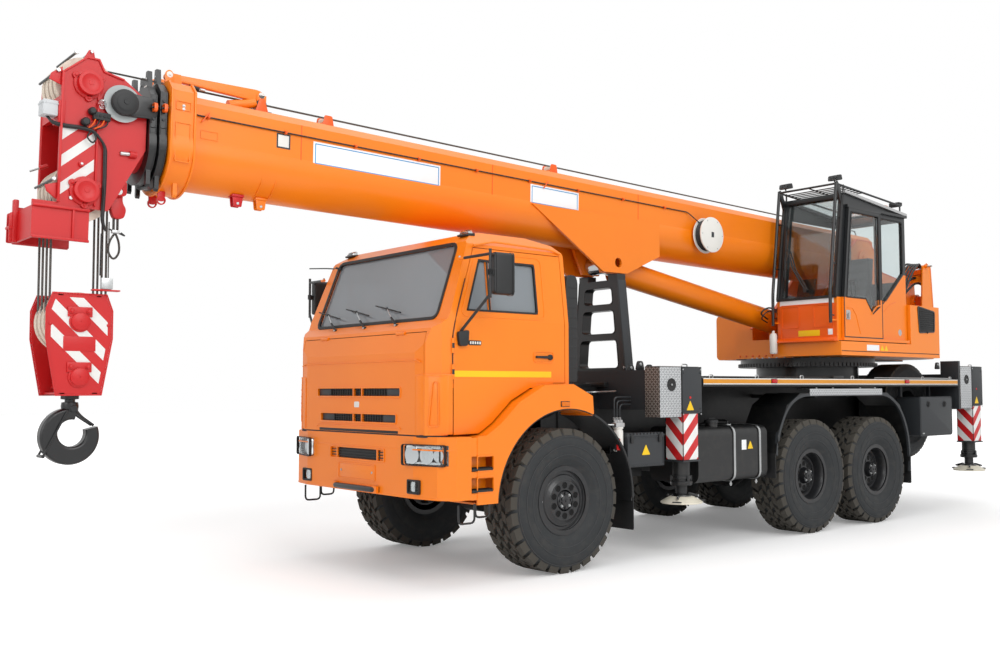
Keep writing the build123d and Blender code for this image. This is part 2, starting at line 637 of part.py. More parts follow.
def bumper_outline(inset):
    points = [(1000, -HALF_WIDTH), (1205, -HALF_WIDTH), (1300, -1120), (CAB_FRONT, -860)]
    face = face_of([(px, py, 0) for px, py in points + [(px, -py) for px, py in reversed(points)]])
    return offset(face, amount=-inset, kind=Kind.INTERSECTION) if inset else face


def make_bumper():
    wall = 18
    height = BUMPER_TOP - BUMPER_BOTTOM
    outer = extrude(Pos(0, 0, BUMPER_BOTTOM) * bumper_outline(0), amount=height, dir=(0, 0, 1))
    inner = extrude(Pos(0, 0, BUMPER_BOTTOM - 10) * bumper_outline(wall), amount=height - 8, dir=(0, 0, 1))
    bumper = outer - inner - box((900, 1060), (-1400, 1400), (600, 1300))
    bumper -= box((1000, 1280), (-1050, 1050), (BUMPER_TOP - 30, BUMPER_TOP + 10))
    bumper -= box((1250, 1400), (-430, 430), (985, 1075))
    lamps = both_sides(box((1200, 1400), (745, 1196), (975, 1137)))
    fog = both_sides(box((1250, 1400), (790, 930), (750, 850)))
    bumper -= lamps + fog
    bumper += both_sides(box((RAIL_FRONT + RUN_GAP, CAB_FRONT - wall + 2), (RAIL_Y - RAIL_FLANGE, RAIL_Y),
                             (RAIL_BOTTOM, RAIL_TOP)))
    tow_x = CAB_FRONT + 12
    bumper += both_sides(box((CAB_FRONT - wall, tow_x + TOW_BAR_R), (TOW_BAR_Y - 34, TOW_BAR_Y + 34),
                             (712, 772)))
    bumper += rod((tow_x, -TOW_BAR_Y, 742), (tow_x, TOW_BAR_Y, 742), TOW_BAR_R)
    save("bumper", bumper)
    lens = extrude(Pos(0, 0, BUMPER_BOTTOM) * bumper_outline(6), amount=500, dir=(0, 0, 1)) \
        - extrude(Pos(0, 0, BUMPER_BOTTOM) * bumper_outline(wall), amount=500, dir=(0, 0, 1))
    save("headlamps", lens & (lamps + fog))


def make_front_fenders():
    arch = 790
    skin = 14
    outer = [(1060, 1197), (904, 1210), (765, 1293), (555, 1474), (277, 1612), (-56, 1622), (-288, 1518),
             (-300, 1361)]

    def arc_point(angle, radius):
        turn = math.radians(angle)
        return FRONT_AXLE + radius * math.cos(turn), TYRE_R + radius * math.sin(turn)

    def band(radius):
        start = arc_point(4, radius)
        mid = arc_point(58, radius)
        end = arc_point(111, radius)
        return start, mid, end

    start, mid, end = band(arch)
    edges = Polyline((end[0], 0, end[1]), *[(px, 0, pz) for px, pz in reversed(outer)],
                     (1190, 0, 1197), (1190, 0, 660), (start[0], 0, 660), (start[0], 0, start[1])).edges()
    edges += ThreePointArc((start[0], 0, start[1]), (mid[0], 0, mid[1]), (end[0], 0, end[1])).edges()
    face = make_face(edges)
    inner = offset(face, amount=-skin, kind=Kind.INTERSECTION)
    solid = extrude(Pos(0, 880, 0) * face, amount=HALF_WIDTH - 880, dir=(0, 1, 0))
    hollow = extrude(Pos(0, 870, 0) * inner, amount=HALF_WIDTH - 870 - skin, dir=(0, 1, 0))
    fender = solid - hollow
    fender -= box((-400, 1400), (700, CAB_HALF_W + MOVE_GAP), (CAB_FLOOR - 8, 1700))
    fender -= box((1000, 1300), (700, HALF_WIDTH + 50), (600, 1300)) & extrude(
        Pos(0, 0, 600) * bumper_outline(-1), amount=700, dir=(0, 0, 1))
    for z in (760, 930):
        fender -= box((840, 1190), (HALF_WIDTH - 90, HALF_WIDTH + 10), (z, z + 110))
    guard_y = (850, HALF_WIDTH - 10)
    guard = disc_y(FRONT_AXLE, TYRE_R, arch + 2, guard_y)
    guard -= disc_y(FRONT_AXLE, TYRE_R, arch - skin + 2, (700, 1300))
    guard &= box((-900, -270), guard_y, (565, 1375))
    stay = disc_y(815, 930, 28, (RAIL_Y, HALF_WIDTH - skin + 2))
    save("front_fenders", both_sides(fender + guard + stay))


# ---- outriggers ---------------------------------------------------------------------------------
def make_outriggers():
    beam_half = (TUBE_X - 2 * TUBE_T) / 2 - MOVE_GAP
    low = TUBE_BOTTOM + TUBE_T + RUN_GAP
    high = TUBE_TOP - TUBE_T - MOVE_GAP
    face_y = TUBE_HALF_Y + MOVE_GAP
    for pair in OUTRIGGERS:
        for side_name, station, side in (("left", pair.left, 1), ("right", pair.right, -1)):
            jack = station + JACK_X
            beam = box((station - beam_half, station + beam_half), (-TUBE_HALF_Y + 40, face_y + 2),
                       (low, high))
            beam -= box((station - beam_half + 12, station + beam_half - 12), (-TUBE_HALF_Y, face_y - 20),
                        (low + 12, high - 12))
            beam += box((station - 148, station + 148), (face_y, HALF_WIDTH), (1350, pair.box_top))
            beam += box((jack - 112, jack + 112), (JACK_Y - 95, HALF_WIDTH), (pair.board_bottom, 1352))
            beam += disc_z(jack, JACK_Y, JACK_R, (650, pair.board_bottom + 10))
            beam += disc_z(jack, JACK_Y, JACK_R + 18, (650, 690))
            beam -= disc_z(jack, JACK_Y, JACK_ROD_R + RUN_GAP, (600, 1600))
            foot = Pos(jack, JACK_Y, 0) * turned_z([
                (0, PAD_BOTTOM), (PAD_R, PAD_BOTTOM), (PAD_R, PAD_BOTTOM + 18), (120, PAD_BOTTOM + 62),
                (JACK_ROD_R, PAD_BOTTOM + 75), (JACK_ROD_R, 1580), (0, 1580)])
            if side < 0:
                beam, foot = mirror(beam, about=Plane.XZ), mirror(foot, about=Plane.XZ)
            save(f"outrigger_{pair.name}_{side_name}", beam)
            save(f"jack_{pair.name}_{side_name}", foot)


# ---- turntable ----------------------------------------------------------------------------------
def make_turntable():
    table = disc_z(SLEW_X, 0, SLEW_R - 20, (SLEW_TOP + RUN_GAP, TABLE_BOTTOM + 10))
    table -= disc_z(SLEW_X, 0, 420, (SLEW_TOP - 10, TABLE_BOTTOM - 10))
    ear_outline = [(-4660, TABLE_BOTTOM), (-4660, 2330), (-5100, 2530), (-5980, 3440), (-6110, 3540),
                   (-6400, 3540), (-6520, 3420), (-6600, 3160), (-7100, 3080), (-7270, 2950),
                   (-7270, TABLE_BOTTOM + 20), (-6700, TABLE_BOTTOM)]
    ear = slab_y(ear_outline, (EAR_IN, EAR_IN + EAR_T))
    for x, z, radius in ((-5450, 2430, 130), (-5900, 2750, 150), (-6400, 2500, 150)):
        ear -= disc_y(x, z, radius, (EAR_IN - 10, EAR_IN + EAR_T + 10))
    ear += disc_y(PIVOT_X, PIVOT_Z, 130, (EAR_IN, EAR_IN + EAR_T + 20))
    lug = slab_y([(LIFT_BASE[0] - 260, TABLE_BOTTOM), (LIFT_BASE[0] - 120, LIFT_BASE[1] + 60),
                  (LIFT_BASE[0] - 60, LIFT_BASE[1] + 115), (LIFT_BASE[0] + 60, LIFT_BASE[1] + 115),
                  (LIFT_BASE[0] + 120, LIFT_BASE[1] + 60), (LIFT_BASE[0] + 160, TABLE_BOTTOM)],
                 (LUG_IN + RUN_GAP, LUG_IN + LUG_T))
    table += both_sides(ear + lug)
    floor = [(-7270, -EAR_IN), (-4660, -EAR_IN), (-4660, EAR_IN), (-7270, EAR_IN)]
    table += slab_z(floor, (TABLE_BOTTOM, TABLE_BOTTOM + 40))
    table += box((-4700, -4660), (-560, EAR_IN + 10), (TABLE_BOTTOM, 2190))
    table += box((-5200, -4660), (-560, -EAR_IN), (TABLE_BOTTOM, 2330))
    table += disc_y(LIFT_BASE[0], LIFT_BASE[1], LIFT_PIN_R, (-EAR_IN - 20, EAR_IN + 20))
    table += disc_y(PIVOT_X, PIVOT_Z, PIVOT_R, (-EAR_IN - 70, EAR_IN + 70))

    # cab floor and the cabinet behind it on the left, oil tank on the right, counterweight at the tail
    table += box((-6580, -4310), (EAR_IN + 20, 1200), (1960, CC_FLOOR - RUN_GAP))
    table += box((-6580, CC_REAR - 20), (EAR_IN + 20, 1200), (1960, 2610))
    table += fillet(box((-6300, -5000), (-1150, -EAR_IN - 10), (1960, 2560)).edges().filter_by(Axis.X), 60)
    tail = slab_z([(-7290, -560), (-7290, 560), (-7080, 860), (-6600, 860), (-6600, -860), (-7080, -860)],
                  (1965, 2330))
    table += fillet(tail.edges().filter_by(Axis.Z), 40)
    table += both_sides(box((-7060, -6620), (EAR_IN + 20, 830), (2320, 2420)))

    # winch drum on its shaft between the side plates, with its gearbox on the left
    for shape in (disc_y(WINCH_X, WINCH_Z, 210, (-EAR_IN - 2, EAR_IN + 2)),
                  disc_y(WINCH_X, WINCH_Z, 150, (EAR_IN, EAR_IN + 230)),
                  disc_y(WINCH_X, WINCH_Z, 100, (EAR_IN + 200, EAR_IN + 400))):
        table += shape
    for y in (-EAR_IN + 25, EAR_IN - 45):
        table += disc_y(WINCH_X, WINCH_Z, 320, (y, y + 20))
    for post_y in (640, 880):
        table += slab_y([(-7040, 2320), (-6700, 2320), (-6760, 3180), (-6860, 3230), (-6960, 3180)],
                        (post_y, post_y + 16))
    table += box((-6930, -6800), (640, 896), (2980, 3080))
    save("turntable", table)


CC_SIDE = [(CC_REAR, CC_FLOOR), (CC_REAR + 5, 3720), (CC_FRONT - 170, CC_ROOF), (CC_FRONT - 90, 3300),
           (CC_FRONT, 2610), (CC_FRONT, CC_FLOOR)]
CC_DOOR = [(-4385, 2165), (-4385, 2610), (-4470, 3300), (-4520, 3690), (-5218, 3690), (-5218, 2165)]
CC_DOOR_WINDOW = [(-4455, 2640), (-4535, 3300), (-4580, 3630), (-5150, 3630), (-5150, 2555), (-5000, 2470),
                  (-4850, 2640)]
CC_QUARTER = [(-5290, 2600), (-5290, 3630), (-5770, 3630), (-5770, 3000)]


def cc_solid(inset):
    """The crane cab's outer form, drawn in by an even amount."""
    face = face_of([(px, 0, pz) for px, pz in CC_SIDE])
    if inset:
        face = offset(face, amount=-inset, kind=Kind.INTERSECTION)
    return extrude(Pos(0, CC_IN + inset, 0) * face, amount=CC_OUT - CC_IN - 2 * inset, dir=(0, 1, 0))


def make_crane_cab():
    shell = cc_solid(0) - cc_solid(CC_WALL)
    pane = cc_solid(GLASS_INSET) - cc_solid(GLASS_INSET + GLASS_T)
    edge = 60
    front = box((CC_FRONT - 260, CC_FRONT + 50), (CC_IN + edge, CC_OUT - edge), (2640, 3800))
    roof = box((-5500, -4620), (CC_IN + 90, CC_OUT - 90), (3700, 3900))
    back = box((CC_REAR - 50, CC_REAR + 80), (CC_IN + edge, CC_OUT - edge), (2900, 3650))
    quarter = slab_y(CC_QUARTER, (CC_OUT - 60, CC_OUT + 60))
    inner_side = slab_y([(-4460, 2700), (-4580, 3630), (-5770, 3630), (-5770, 2700)],
                        (CC_IN - 60, CC_IN + 60))
    panes = [pane & opening for opening in (front, roof, back, quarter, inner_side)]
    save("crane_cab_glass", Compound(children=panes))

    cab = shell
    for opening in (front, roof, back, quarter, inner_side):
        cab -= opening
    doorway = [(-4420, 2200), (-4500, 3300), (-4550, 3650), (-5180, 3650), (-5180, 2200)]
    cab -= slab_y(doorway, (CC_OUT - 60, CC_OUT + 60))
    door_face = CC_OUT + MOVE_GAP
    for low, high in ((3690 + RUN_GAP, 3720), (2130, 2165 - RUN_GAP)):
        rail = box((CC_REAR + 10, -4380 if low < 3000 else -4500), (CC_OUT - 2, 1200), (low, high))
        cab += rail

    # guard bars ahead of the front window and round the roof
    for y in (CC_IN + 15, CC_OUT - 15):
        cab += rod((CC_FRONT + 110, y, 2350), (CC_FRONT + 110, y, 2700), 12)
        cab += rod((CC_FRONT + 110, y, 2690), (CC_FRONT - 55, y, 3960), 12)
        cab += rod((CC_FRONT + 110, y, 2360), (CC_FRONT - 20, y, 2360), 10)
        cab += rod((CC_FRONT - 55, y, 3950), (CC_REAR + 60, y, 3850), 12)
        cab += rod((CC_FRONT - 200, y, 3955), (CC_FRONT - 200, y, 3820), 10)
        cab += rod((CC_REAR + 80, y, 3855), (CC_REAR + 80, y, 3700), 10)
    for x, z in ((CC_FRONT - 55, 3950), (CC_REAR + 70, 3851)):
        cab += rod((x, CC_IN + 10, z), (x, CC_OUT - 10, z), 12)
    save("crane_cab", cab)

    door = slab_y(CC_DOOR, (door_face, door_face + 34))
    door -= slab_y(CC_DOOR_WINDOW, (door_face - 10, door_face + 50))
    save("crane_cab_door", door)

    floor = CC_FLOOR + CC_WALL
    middle = (CC_IN + CC_OUT) / 2
    seat = box((-5250, -4980), (middle - 150, middle + 150), (floor, floor + 260))
    seat += box((-5330, -4850), (middle - 235, middle + 235), (floor + 250, floor + 400))
    seat += slab_y([(-5330, floor + 390), (-5210, floor + 390), (-5290, floor + 1010), (-5400, floor + 1010)],
                   (middle - 225, middle + 225))
    for y in (CC_IN + 60, CC_OUT - 180):
        seat += box((-5150, -4800), (y, y + 120), (floor, floor + 520))
    save("operator_seat", seat)


# ---- boom ---------------------------------------------------------------------------------------
BOOM = Pos(PIVOT_X, 0, PIVOT_Z) * Rot(0, -BOOM_RISE, 0)


def section_face(step, x, grow=0.0):
    """Box above, rounded below: the outline of one boom section, in the boom's own frame."""
    w = BOOM_HALF_W - step + grow
    h = BOOM_HALF_H - step + grow
    b = BOOM_BEVEL
    edges = Polyline((x, w, 0), (x, w, h - b), (x, w - b, h), (x, b - w, h), (x, -w, h - b),
                     (x, -w, 0)).edges()
    edges += ThreePointArc((x, -w, 0), (x, 0, -h), (x, w, 0)).edges()
    return make_face(edges)


def section_bar(step, span, grow=0.0):
    return extrude(section_face(step, span[0], grow), amount=span[1] - span[0], dir=(1, 0, 0))


def section_tube(step, span, wall=BOOM_WALL):
    return section_bar(step, span) - section_bar(step, (span[0] - 5, span[1] + 5), -wall)


def collar(step, span, thickness, horn, lug):
    """Frame at a section's front end, whose opening guides the next section."""
    opening = section_bar(step + BOOM_STEP, (span[0] - 5, span[1] + 5), RUN_GAP)
    ring = section_bar(step, span, thickness)
    x_mid = (span[0] + span[1]) / 2
    if horn:
        top = BOOM_HALF_H - step + thickness
        ring += both_sides(slab_x([(110, top - 5), (125, top + 130), (165, top + 130), (185, top - 5)],
                                  (x_mid - 16, x_mid + 16)))
    if lug:
        low = step - BOOM_HALF_H - thickness
        ring += both_sides(slab_x([(172, low + 120), (172, low - 20), (186, low - 40), (200, low - 20),
                                   (200, low + 120)], (x_mid - 16, x_mid + 16)))
    return ring - opening


def make_boom():
    tail = BOOM_TAIL
    base = section_tube(0, (tail, BASE_LENGTH))
    base += collar(0, (BASE_LENGTH - 200, BASE_LENGTH), 58, False, True)
    base += both_sides(slab_x([(-150, BOOM_HALF_H + 40), (-120, BOOM_HALF_H + 170), (-80, BOOM_HALF_H + 170),
                               (-60, BOOM_HALF_H + 40)], (BASE_LENGTH - 150, BASE_LENGTH - 60)))
    base += section_bar(0, (tail, 260)) & box((tail, 260), (-400, 400), (-400, 400))
    base += disc_y(0, 0, 130, (-EAR_IN + RUN_GAP, EAR_IN - RUN_GAP))
    base -= disc_y(0, 0, PIVOT_R + RUN_GAP, (-400, 400))
    inverse = BOOM.inverse()

    # bracket for the lift cylinder, written at rest and carried over to the boom's frame
    side_plate = slab_y([(-430, 3380), (-1400, 2787), (-1750, 2787), (-2260, 3010), (-2260, 3380)],
                        (255, 285))
    side_plate += slab_y([(-1330, 3120), (-1500, 2795), (-1740, 2795), (-1900, 3120)],
                         (LUG_IN + RUN_GAP, LUG_IN + LUG_T))
    side_plate += box((-1560, -1500), (150, 262), (2990, 3080))
    side_plate += box((-1800, -1740), (150, 262), (3000, 3080))
    bracket = inverse * both_sides(side_plate)
    bracket -= section_bar(0, (0, BASE_LENGTH), -2)
    hole = disc_y(LIFT_EYE[0], LIFT_EYE[1], LIFT_PIN_R + RUN_GAP, (-400, 400))
    base += bracket
    base -= inverse * hole

    # cable reel on the left wall and the support arm on top of the front end
    reel_x = (-3000 - PIVOT_X) / math.cos(math.radians(BOOM_RISE))
    base += disc_y(reel_x, -50, 60, (BOOM_HALF_W - 3, 345)) + disc_y(reel_x, -50, 170, (310, 400))
    base += disc_y(reel_x, -50, 195, (400, 412))
    base += rod((BASE_LENGTH - 60, 90, BOOM_HALF_H + 150), (BASE_LENGTH - 850, 90, BOOM_HALF_H + 120), 22)
    base += box((BASE_LENGTH - 860, BASE_LENGTH - 780), (60, 120), (BOOM_HALF_H - 5, BOOM_HALF_H + 150))
    for x in (5300, 7900):
        base += box((x, x + 90), (-60, 60), (BOOM_HALF_H - 5, BOOM_HALF_H + 60))
    save("boom_base", BOOM * base)

    fronts = [BASE_LENGTH + 12 + k * (COLLAR_T + 10) for k in range(2)]
    for k, name in ((1, "boom_section_2"), (2, "boom_section_3")):
        start = 320 + k * 40
        front = fronts[k - 1]
        section = section_tube(k * BOOM_STEP, (start, front + COLLAR_T))
        section += collar(k * BOOM_STEP, (front, front + COLLAR_T), COLLAR_H, True, True)
        save(name, BOOM * section)
    save("boom_head", BOOM * make_head(3 * BOOM_STEP, 440, fronts[1] + COLLAR_T + 8))


def make_head(step, start, front):
    end = HEAD_X - 250
    head = section_tube(step, (start, end))
    w = HEAD_PLATE_Y
    y = (w, w + HEAD_PLATE_T)
    top = BOOM_HALF_H - step
    plate = slab_y([(front, top - 30), (front, -top + 130), (HEAD_X - 170, -620), (HEAD_X + 150, -620),
                    (HEAD_X + 180, -560), (HEAD_X + 180, 330), (HEAD_X + 110, 390), (HEAD_X + 20, 470),
                    (HEAD_X - 70, 470), (HEAD_X - 110, 390), (HEAD_X - 250, 360)], y)
    plate += slab_y([(HEAD_X - 40, -600), (HEAD_X - 40, -860), (TRAY_FRONT, -860), (TRAY_FRONT, -600)], y)
    head += both_sides(plate)
    head += both_sides(box((front, front + 60), (BOOM_HALF_W - step - 4, w + 2), (-60, top - 90)))
    head += box((TRAY_FRONT - 20, TRAY_FRONT), (-w - 2, w + 2), (-860, -640))
    head += box((end - 30, end), (-w - 2, w + 2), (-100, top + 20))
    head += box((HEAD_X + 150, HEAD_X + 180), (-w - 2, w + 2), (20, 160))
    for z in (UPPER_SHEAVE_Z, LOWER_SHEAVE_Z):
        head += disc_y(HEAD_X, z, 45, (-w - 5, w + 5))
        head += both_sides(disc_y(HEAD_X, z, 85, (w + HEAD_PLATE_T - 2, w + 75)))
        for k in range(SHEAVE_COUNT):
            middle = (k - (SHEAVE_COUNT - 1) / 2) * SHEAVE_PITCH
            head += sheave(HEAD_X, z, middle, ROPE_PITCH_R - ROPE_R - RUN_GAP, SHEAVE_R + 6)
    return head


def sheave(x, z, middle, groove_r, outer_r):
    """Grooved rope wheel on an axle along Y."""
    outline = [(40, -26), (outer_r, -26), (outer_r, -20), (groove_r, -6), (groove_r, 6), (outer_r, 20),
               (outer_r, 26), (40, 26)]
    return Pos(x, middle, z) * turned_y(outline)


# ---- lift cylinder ------------------------------------------------------------------------------
def lift_frame():
    dx = LIFT_EYE[0] - LIFT_BASE[0]
    dz = LIFT_EYE[1] - LIFT_BASE[1]
    angle = math.degrees(math.atan2(dz, dx))
    return math.hypot(dx, dz), Pos(LIFT_BASE[0], 0, LIFT_BASE[1]) * Rot(0, -angle, 0)


def along_x(radius, span):
    return rod((span[0], 0, 0), (span[1], 0, 0), radius)


def make_lift_cylinder():
    length, place = lift_frame()
    gland = length - 250
    barrel = along_x(LIFT_R, (190, gland)) + along_x(LIFT_R + 14, (gland - 90, gland))
    barrel += disc_y(0, 0, 115, (-LUG_IN, LUG_IN)) + box((0, 260), (-85, 85), (-85, 85))
    barrel -= along_x(LIFT_BORE_R, (280, gland - 110))
    barrel -= along_x(LIFT_ROD_R + RUN_GAP, (gland - 120, gland + 10))
    barrel -= disc_y(0, 0, LIFT_PIN_R + RUN_GAP, (-400, 400))
    save("lift_barrel", place * barrel)
    piston = along_x(LIFT_BORE_R - RUN_GAP, (300, 390)) + along_x(LIFT_ROD_R, (380, length - 60))
    piston += disc_y(length, 0, 100, (-LUG_IN + 15, LUG_IN - 15))
    piston += disc_y(length, 0, LIFT_PIN_R - 4, (-LUG_IN, LUG_IN))
    save("lift_rod", place * piston)


# ---- hook ---------------------------------------------------------------------------------------
def boom_point(x, z):
    """Station and height of a point given in the boom's own frame, at rest."""
    a = math.radians(BOOM_RISE)
    return PIVOT_X + x * math.cos(a) - z * math.sin(a), PIVOT_Z + x * math.sin(a) + z * math.cos(a)


def make_hook():
    x0, z0 = boom_point(HEAD_X, LOWER_SHEAVE_Z)
    ropes = []
    for k in range(SHEAVE_COUNT):
        middle = (k - (SHEAVE_COUNT - 1) / 2) * SHEAVE_PITCH
        for way in (-1, 1):
            x = x0 + way * ROPE_PITCH_R
            ropes.append(rod((x, middle, BLOCK_SHEAVE_Z), (x, middle, z0), ROPE_R))
    save("rope_falls", Compound(children=ropes))

    y = (BLOCK_PLATE_Y, BLOCK_PLATE_Y + 20)
    half = BLOCK_HALF_X
    plate = slab_y([(x0 - half + 40, BLOCK_TOP), (x0 + half - 40, BLOCK_TOP), (x0 + half, BLOCK_TOP - 110),
                    (x0 + half, 1950), (x0 + 150, BLOCK_BOTTOM), (x0 - 150, BLOCK_BOTTOM), (x0 - half, 1950),
                    (x0 - half, BLOCK_TOP - 110)], y)
    block = both_sides(plate)
    block += disc_y(x0, BLOCK_SHEAVE_Z, 40, (-y[1], y[1]))
    block += disc_y(x0, 1676, 40, (-y[1], y[1]))
    for z in (BLOCK_SHEAVE_Z, 1676):
        block += both_sides(disc_y(x0, z, 62, (y[1] - 2, y[1] + 24)))
    for k in range(SHEAVE_COUNT):
        middle = (k - (SHEAVE_COUNT - 1) / 2) * SHEAVE_PITCH
        block += sheave(x0, BLOCK_SHEAVE_Z, middle, ROPE_PITCH_R - ROPE_R - RUN_GAP, ROPE_PITCH_R + 20)
    block += box((x0 - 90, x0 + 90), (-120, 120), (1610, 1740))
    block -= disc_z(x0, 0, 35 + RUN_GAP, (1500, 1720))
    save("hook_block", block)

    centre = (x0 + 5, 1255)
    bowl = disc_y(centre[0] - 12, centre[1] + 22, 96, (-60, 60))
    hook = disc_y(centre[0], centre[1], HOOK_R, (-50, 50)) - bowl
    hook -= slab_y([(centre[0] - 12, centre[1] + 22), (centre[0] - 60, centre[1] + 320),
                    (centre[0] - 330, centre[1] + 320), (centre[0] - 330, centre[1] + 100)], (-60, 60))
    hook = fillet(hook.edges().filter_by(GeomType.CIRCLE), 22)
    hook += disc_z(x0, 0, 35, (1380, 1705))
    hook -= bowl
    save("hook", hook)


for make in (make_wheels, make_knuckles, make_running_gear, make_powertrain, make_chassis_frame,
             make_subframe, make_outrigger_boxes, make_deck, make_spare_wheel, make_slew_ring,
             make_side_equipment, make_boom_rest, make_cab, make_cab_interior, make_bumper,
             make_front_fenders, make_outriggers, make_turntable, make_crane_cab, make_boom,
             make_lift_cylinder, make_hook):
    make()
    print(make.__name__, len(NODES), flush=True)
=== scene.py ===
"""Looks of a truck-mounted telescopic crane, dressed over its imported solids."""

import json
import logging
import math
from dataclasses import dataclass
from enum import Enum
from typing import Iterable, Sequence

import bmesh
import bpy
from mathutils import Matrix, Vector


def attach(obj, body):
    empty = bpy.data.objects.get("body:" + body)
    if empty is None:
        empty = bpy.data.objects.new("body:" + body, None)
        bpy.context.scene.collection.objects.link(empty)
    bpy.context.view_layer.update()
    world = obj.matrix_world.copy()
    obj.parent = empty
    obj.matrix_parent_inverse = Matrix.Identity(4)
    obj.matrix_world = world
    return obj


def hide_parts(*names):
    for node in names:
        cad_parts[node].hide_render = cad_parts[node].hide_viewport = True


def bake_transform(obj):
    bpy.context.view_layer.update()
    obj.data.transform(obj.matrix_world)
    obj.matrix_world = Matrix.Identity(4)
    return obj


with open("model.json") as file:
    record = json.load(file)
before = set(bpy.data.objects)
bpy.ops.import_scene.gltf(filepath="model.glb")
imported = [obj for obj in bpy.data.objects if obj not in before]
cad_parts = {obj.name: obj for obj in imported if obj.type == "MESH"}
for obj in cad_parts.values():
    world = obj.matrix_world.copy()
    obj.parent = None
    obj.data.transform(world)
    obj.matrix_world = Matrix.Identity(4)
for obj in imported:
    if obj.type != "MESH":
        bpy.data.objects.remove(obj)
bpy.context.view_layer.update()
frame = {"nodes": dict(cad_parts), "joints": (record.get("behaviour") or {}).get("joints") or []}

log = logging.getLogger("crane")
Span = tuple[float, float]
Flat = tuple[float, float]
Point = tuple[float, float, float]
JOINTS = {joint["name"]: joint for joint in frame["joints"]}
# The two grids that the pieces are drawn on, in millimetres: from the front axle and the ground,
# and along the boom from its pivot.
AXLE_X = JOINTS["steer_left"]["pos_m"][0]
MM = Matrix.Translation((AXLE_X, 0, 0)) @ Matrix.Scale(0.001, 4)
BOOM_PIVOT = Vector(JOINTS["boom_lift"]["pos_m"])
BOOM_RISE = math.radians(1.15)
ALONG_BOOM = Matrix.Translation(BOOM_PIVOT) @ Matrix.Rotation(-BOOM_RISE, 4, "Y")
ALONG_BOOM = ALONG_BOOM @ Matrix.Scale(0.001, 4)
# Measures that several pieces share: the axles' height, the boom's base section from its middle to
# its skin, and the number and pitch of the rope's falls.
AXLE_HEIGHT = 620
BOOM_SIDE, BOOM_TOP = 260, 350
FALLS = 4
FALL_PITCH = 90
# The machine's sides, outrigger corners and wheels.
SIDES = (("left", 1), ("right", -1))
CORNERS = ("front_left", "front_right", "rear_left", "rear_right")
WHEELS = ("front_left", "front_right", "mid_left", "mid_right", "last_left", "last_right")
# The angle between two faces beyond which their edge shades sharp, in degrees, and the one beyond
# which it is eased, in radians.
CREASE = 38
EASED_ANGLE = 0.5
# The most of a side that the turn at its corner may take.
CORNER_SHARE = 0.49
# Settings that the materials share; the depth is in metres.
GLASS_IOR = 1.45
COAT_ROUGHNESS = 0.08
RELIEF_DEPTH = 0.002
ROAD_DUST, SHEETING_SOIL = "#8A8073", "#77706A"


# ---- finishes -----------------------------------------------------------------------------------
def linear(code: str) -> tuple[float, float, float, float]:
    """Turns an sRGB hex colour to linear values.

    Args:
        code: the colour as #RRGGBB.

    Returns:
        Red, green, blue and an alpha of 1.
    """
    parts = [int(code[i:i + 2], 16) / 255 for i in (1, 3, 5)]
    red, green, blue = [p / 12.92 if p <= 0.04045 else ((p + 0.055) / 1.055) ** 2.4 for p in parts]
    return red, green, blue, 1.0


def add_node(
        tree: bpy.types.NodeTree, kind: str, inputs: dict | None = None,
        **settings: object) -> bpy.types.Node:
    """Adds one node with its settings and links.

    Args:
        tree: the tree that gets the node.
        kind: the node's type, without its leading ShaderNode.
        inputs: values or sockets by input name or number.
        settings: properties of the node itself.

    Returns:
        The new node.
    """
    node = tree.nodes.new("ShaderNode" + kind)
    for key, value in settings.items():
        setattr(node, key, value)
    for key, value in (inputs or {}).items():
        if isinstance(value, bpy.types.NodeSocket):
            tree.links.new(value, node.inputs[key])
        else:
            node.inputs[key].default_value = value
    return node


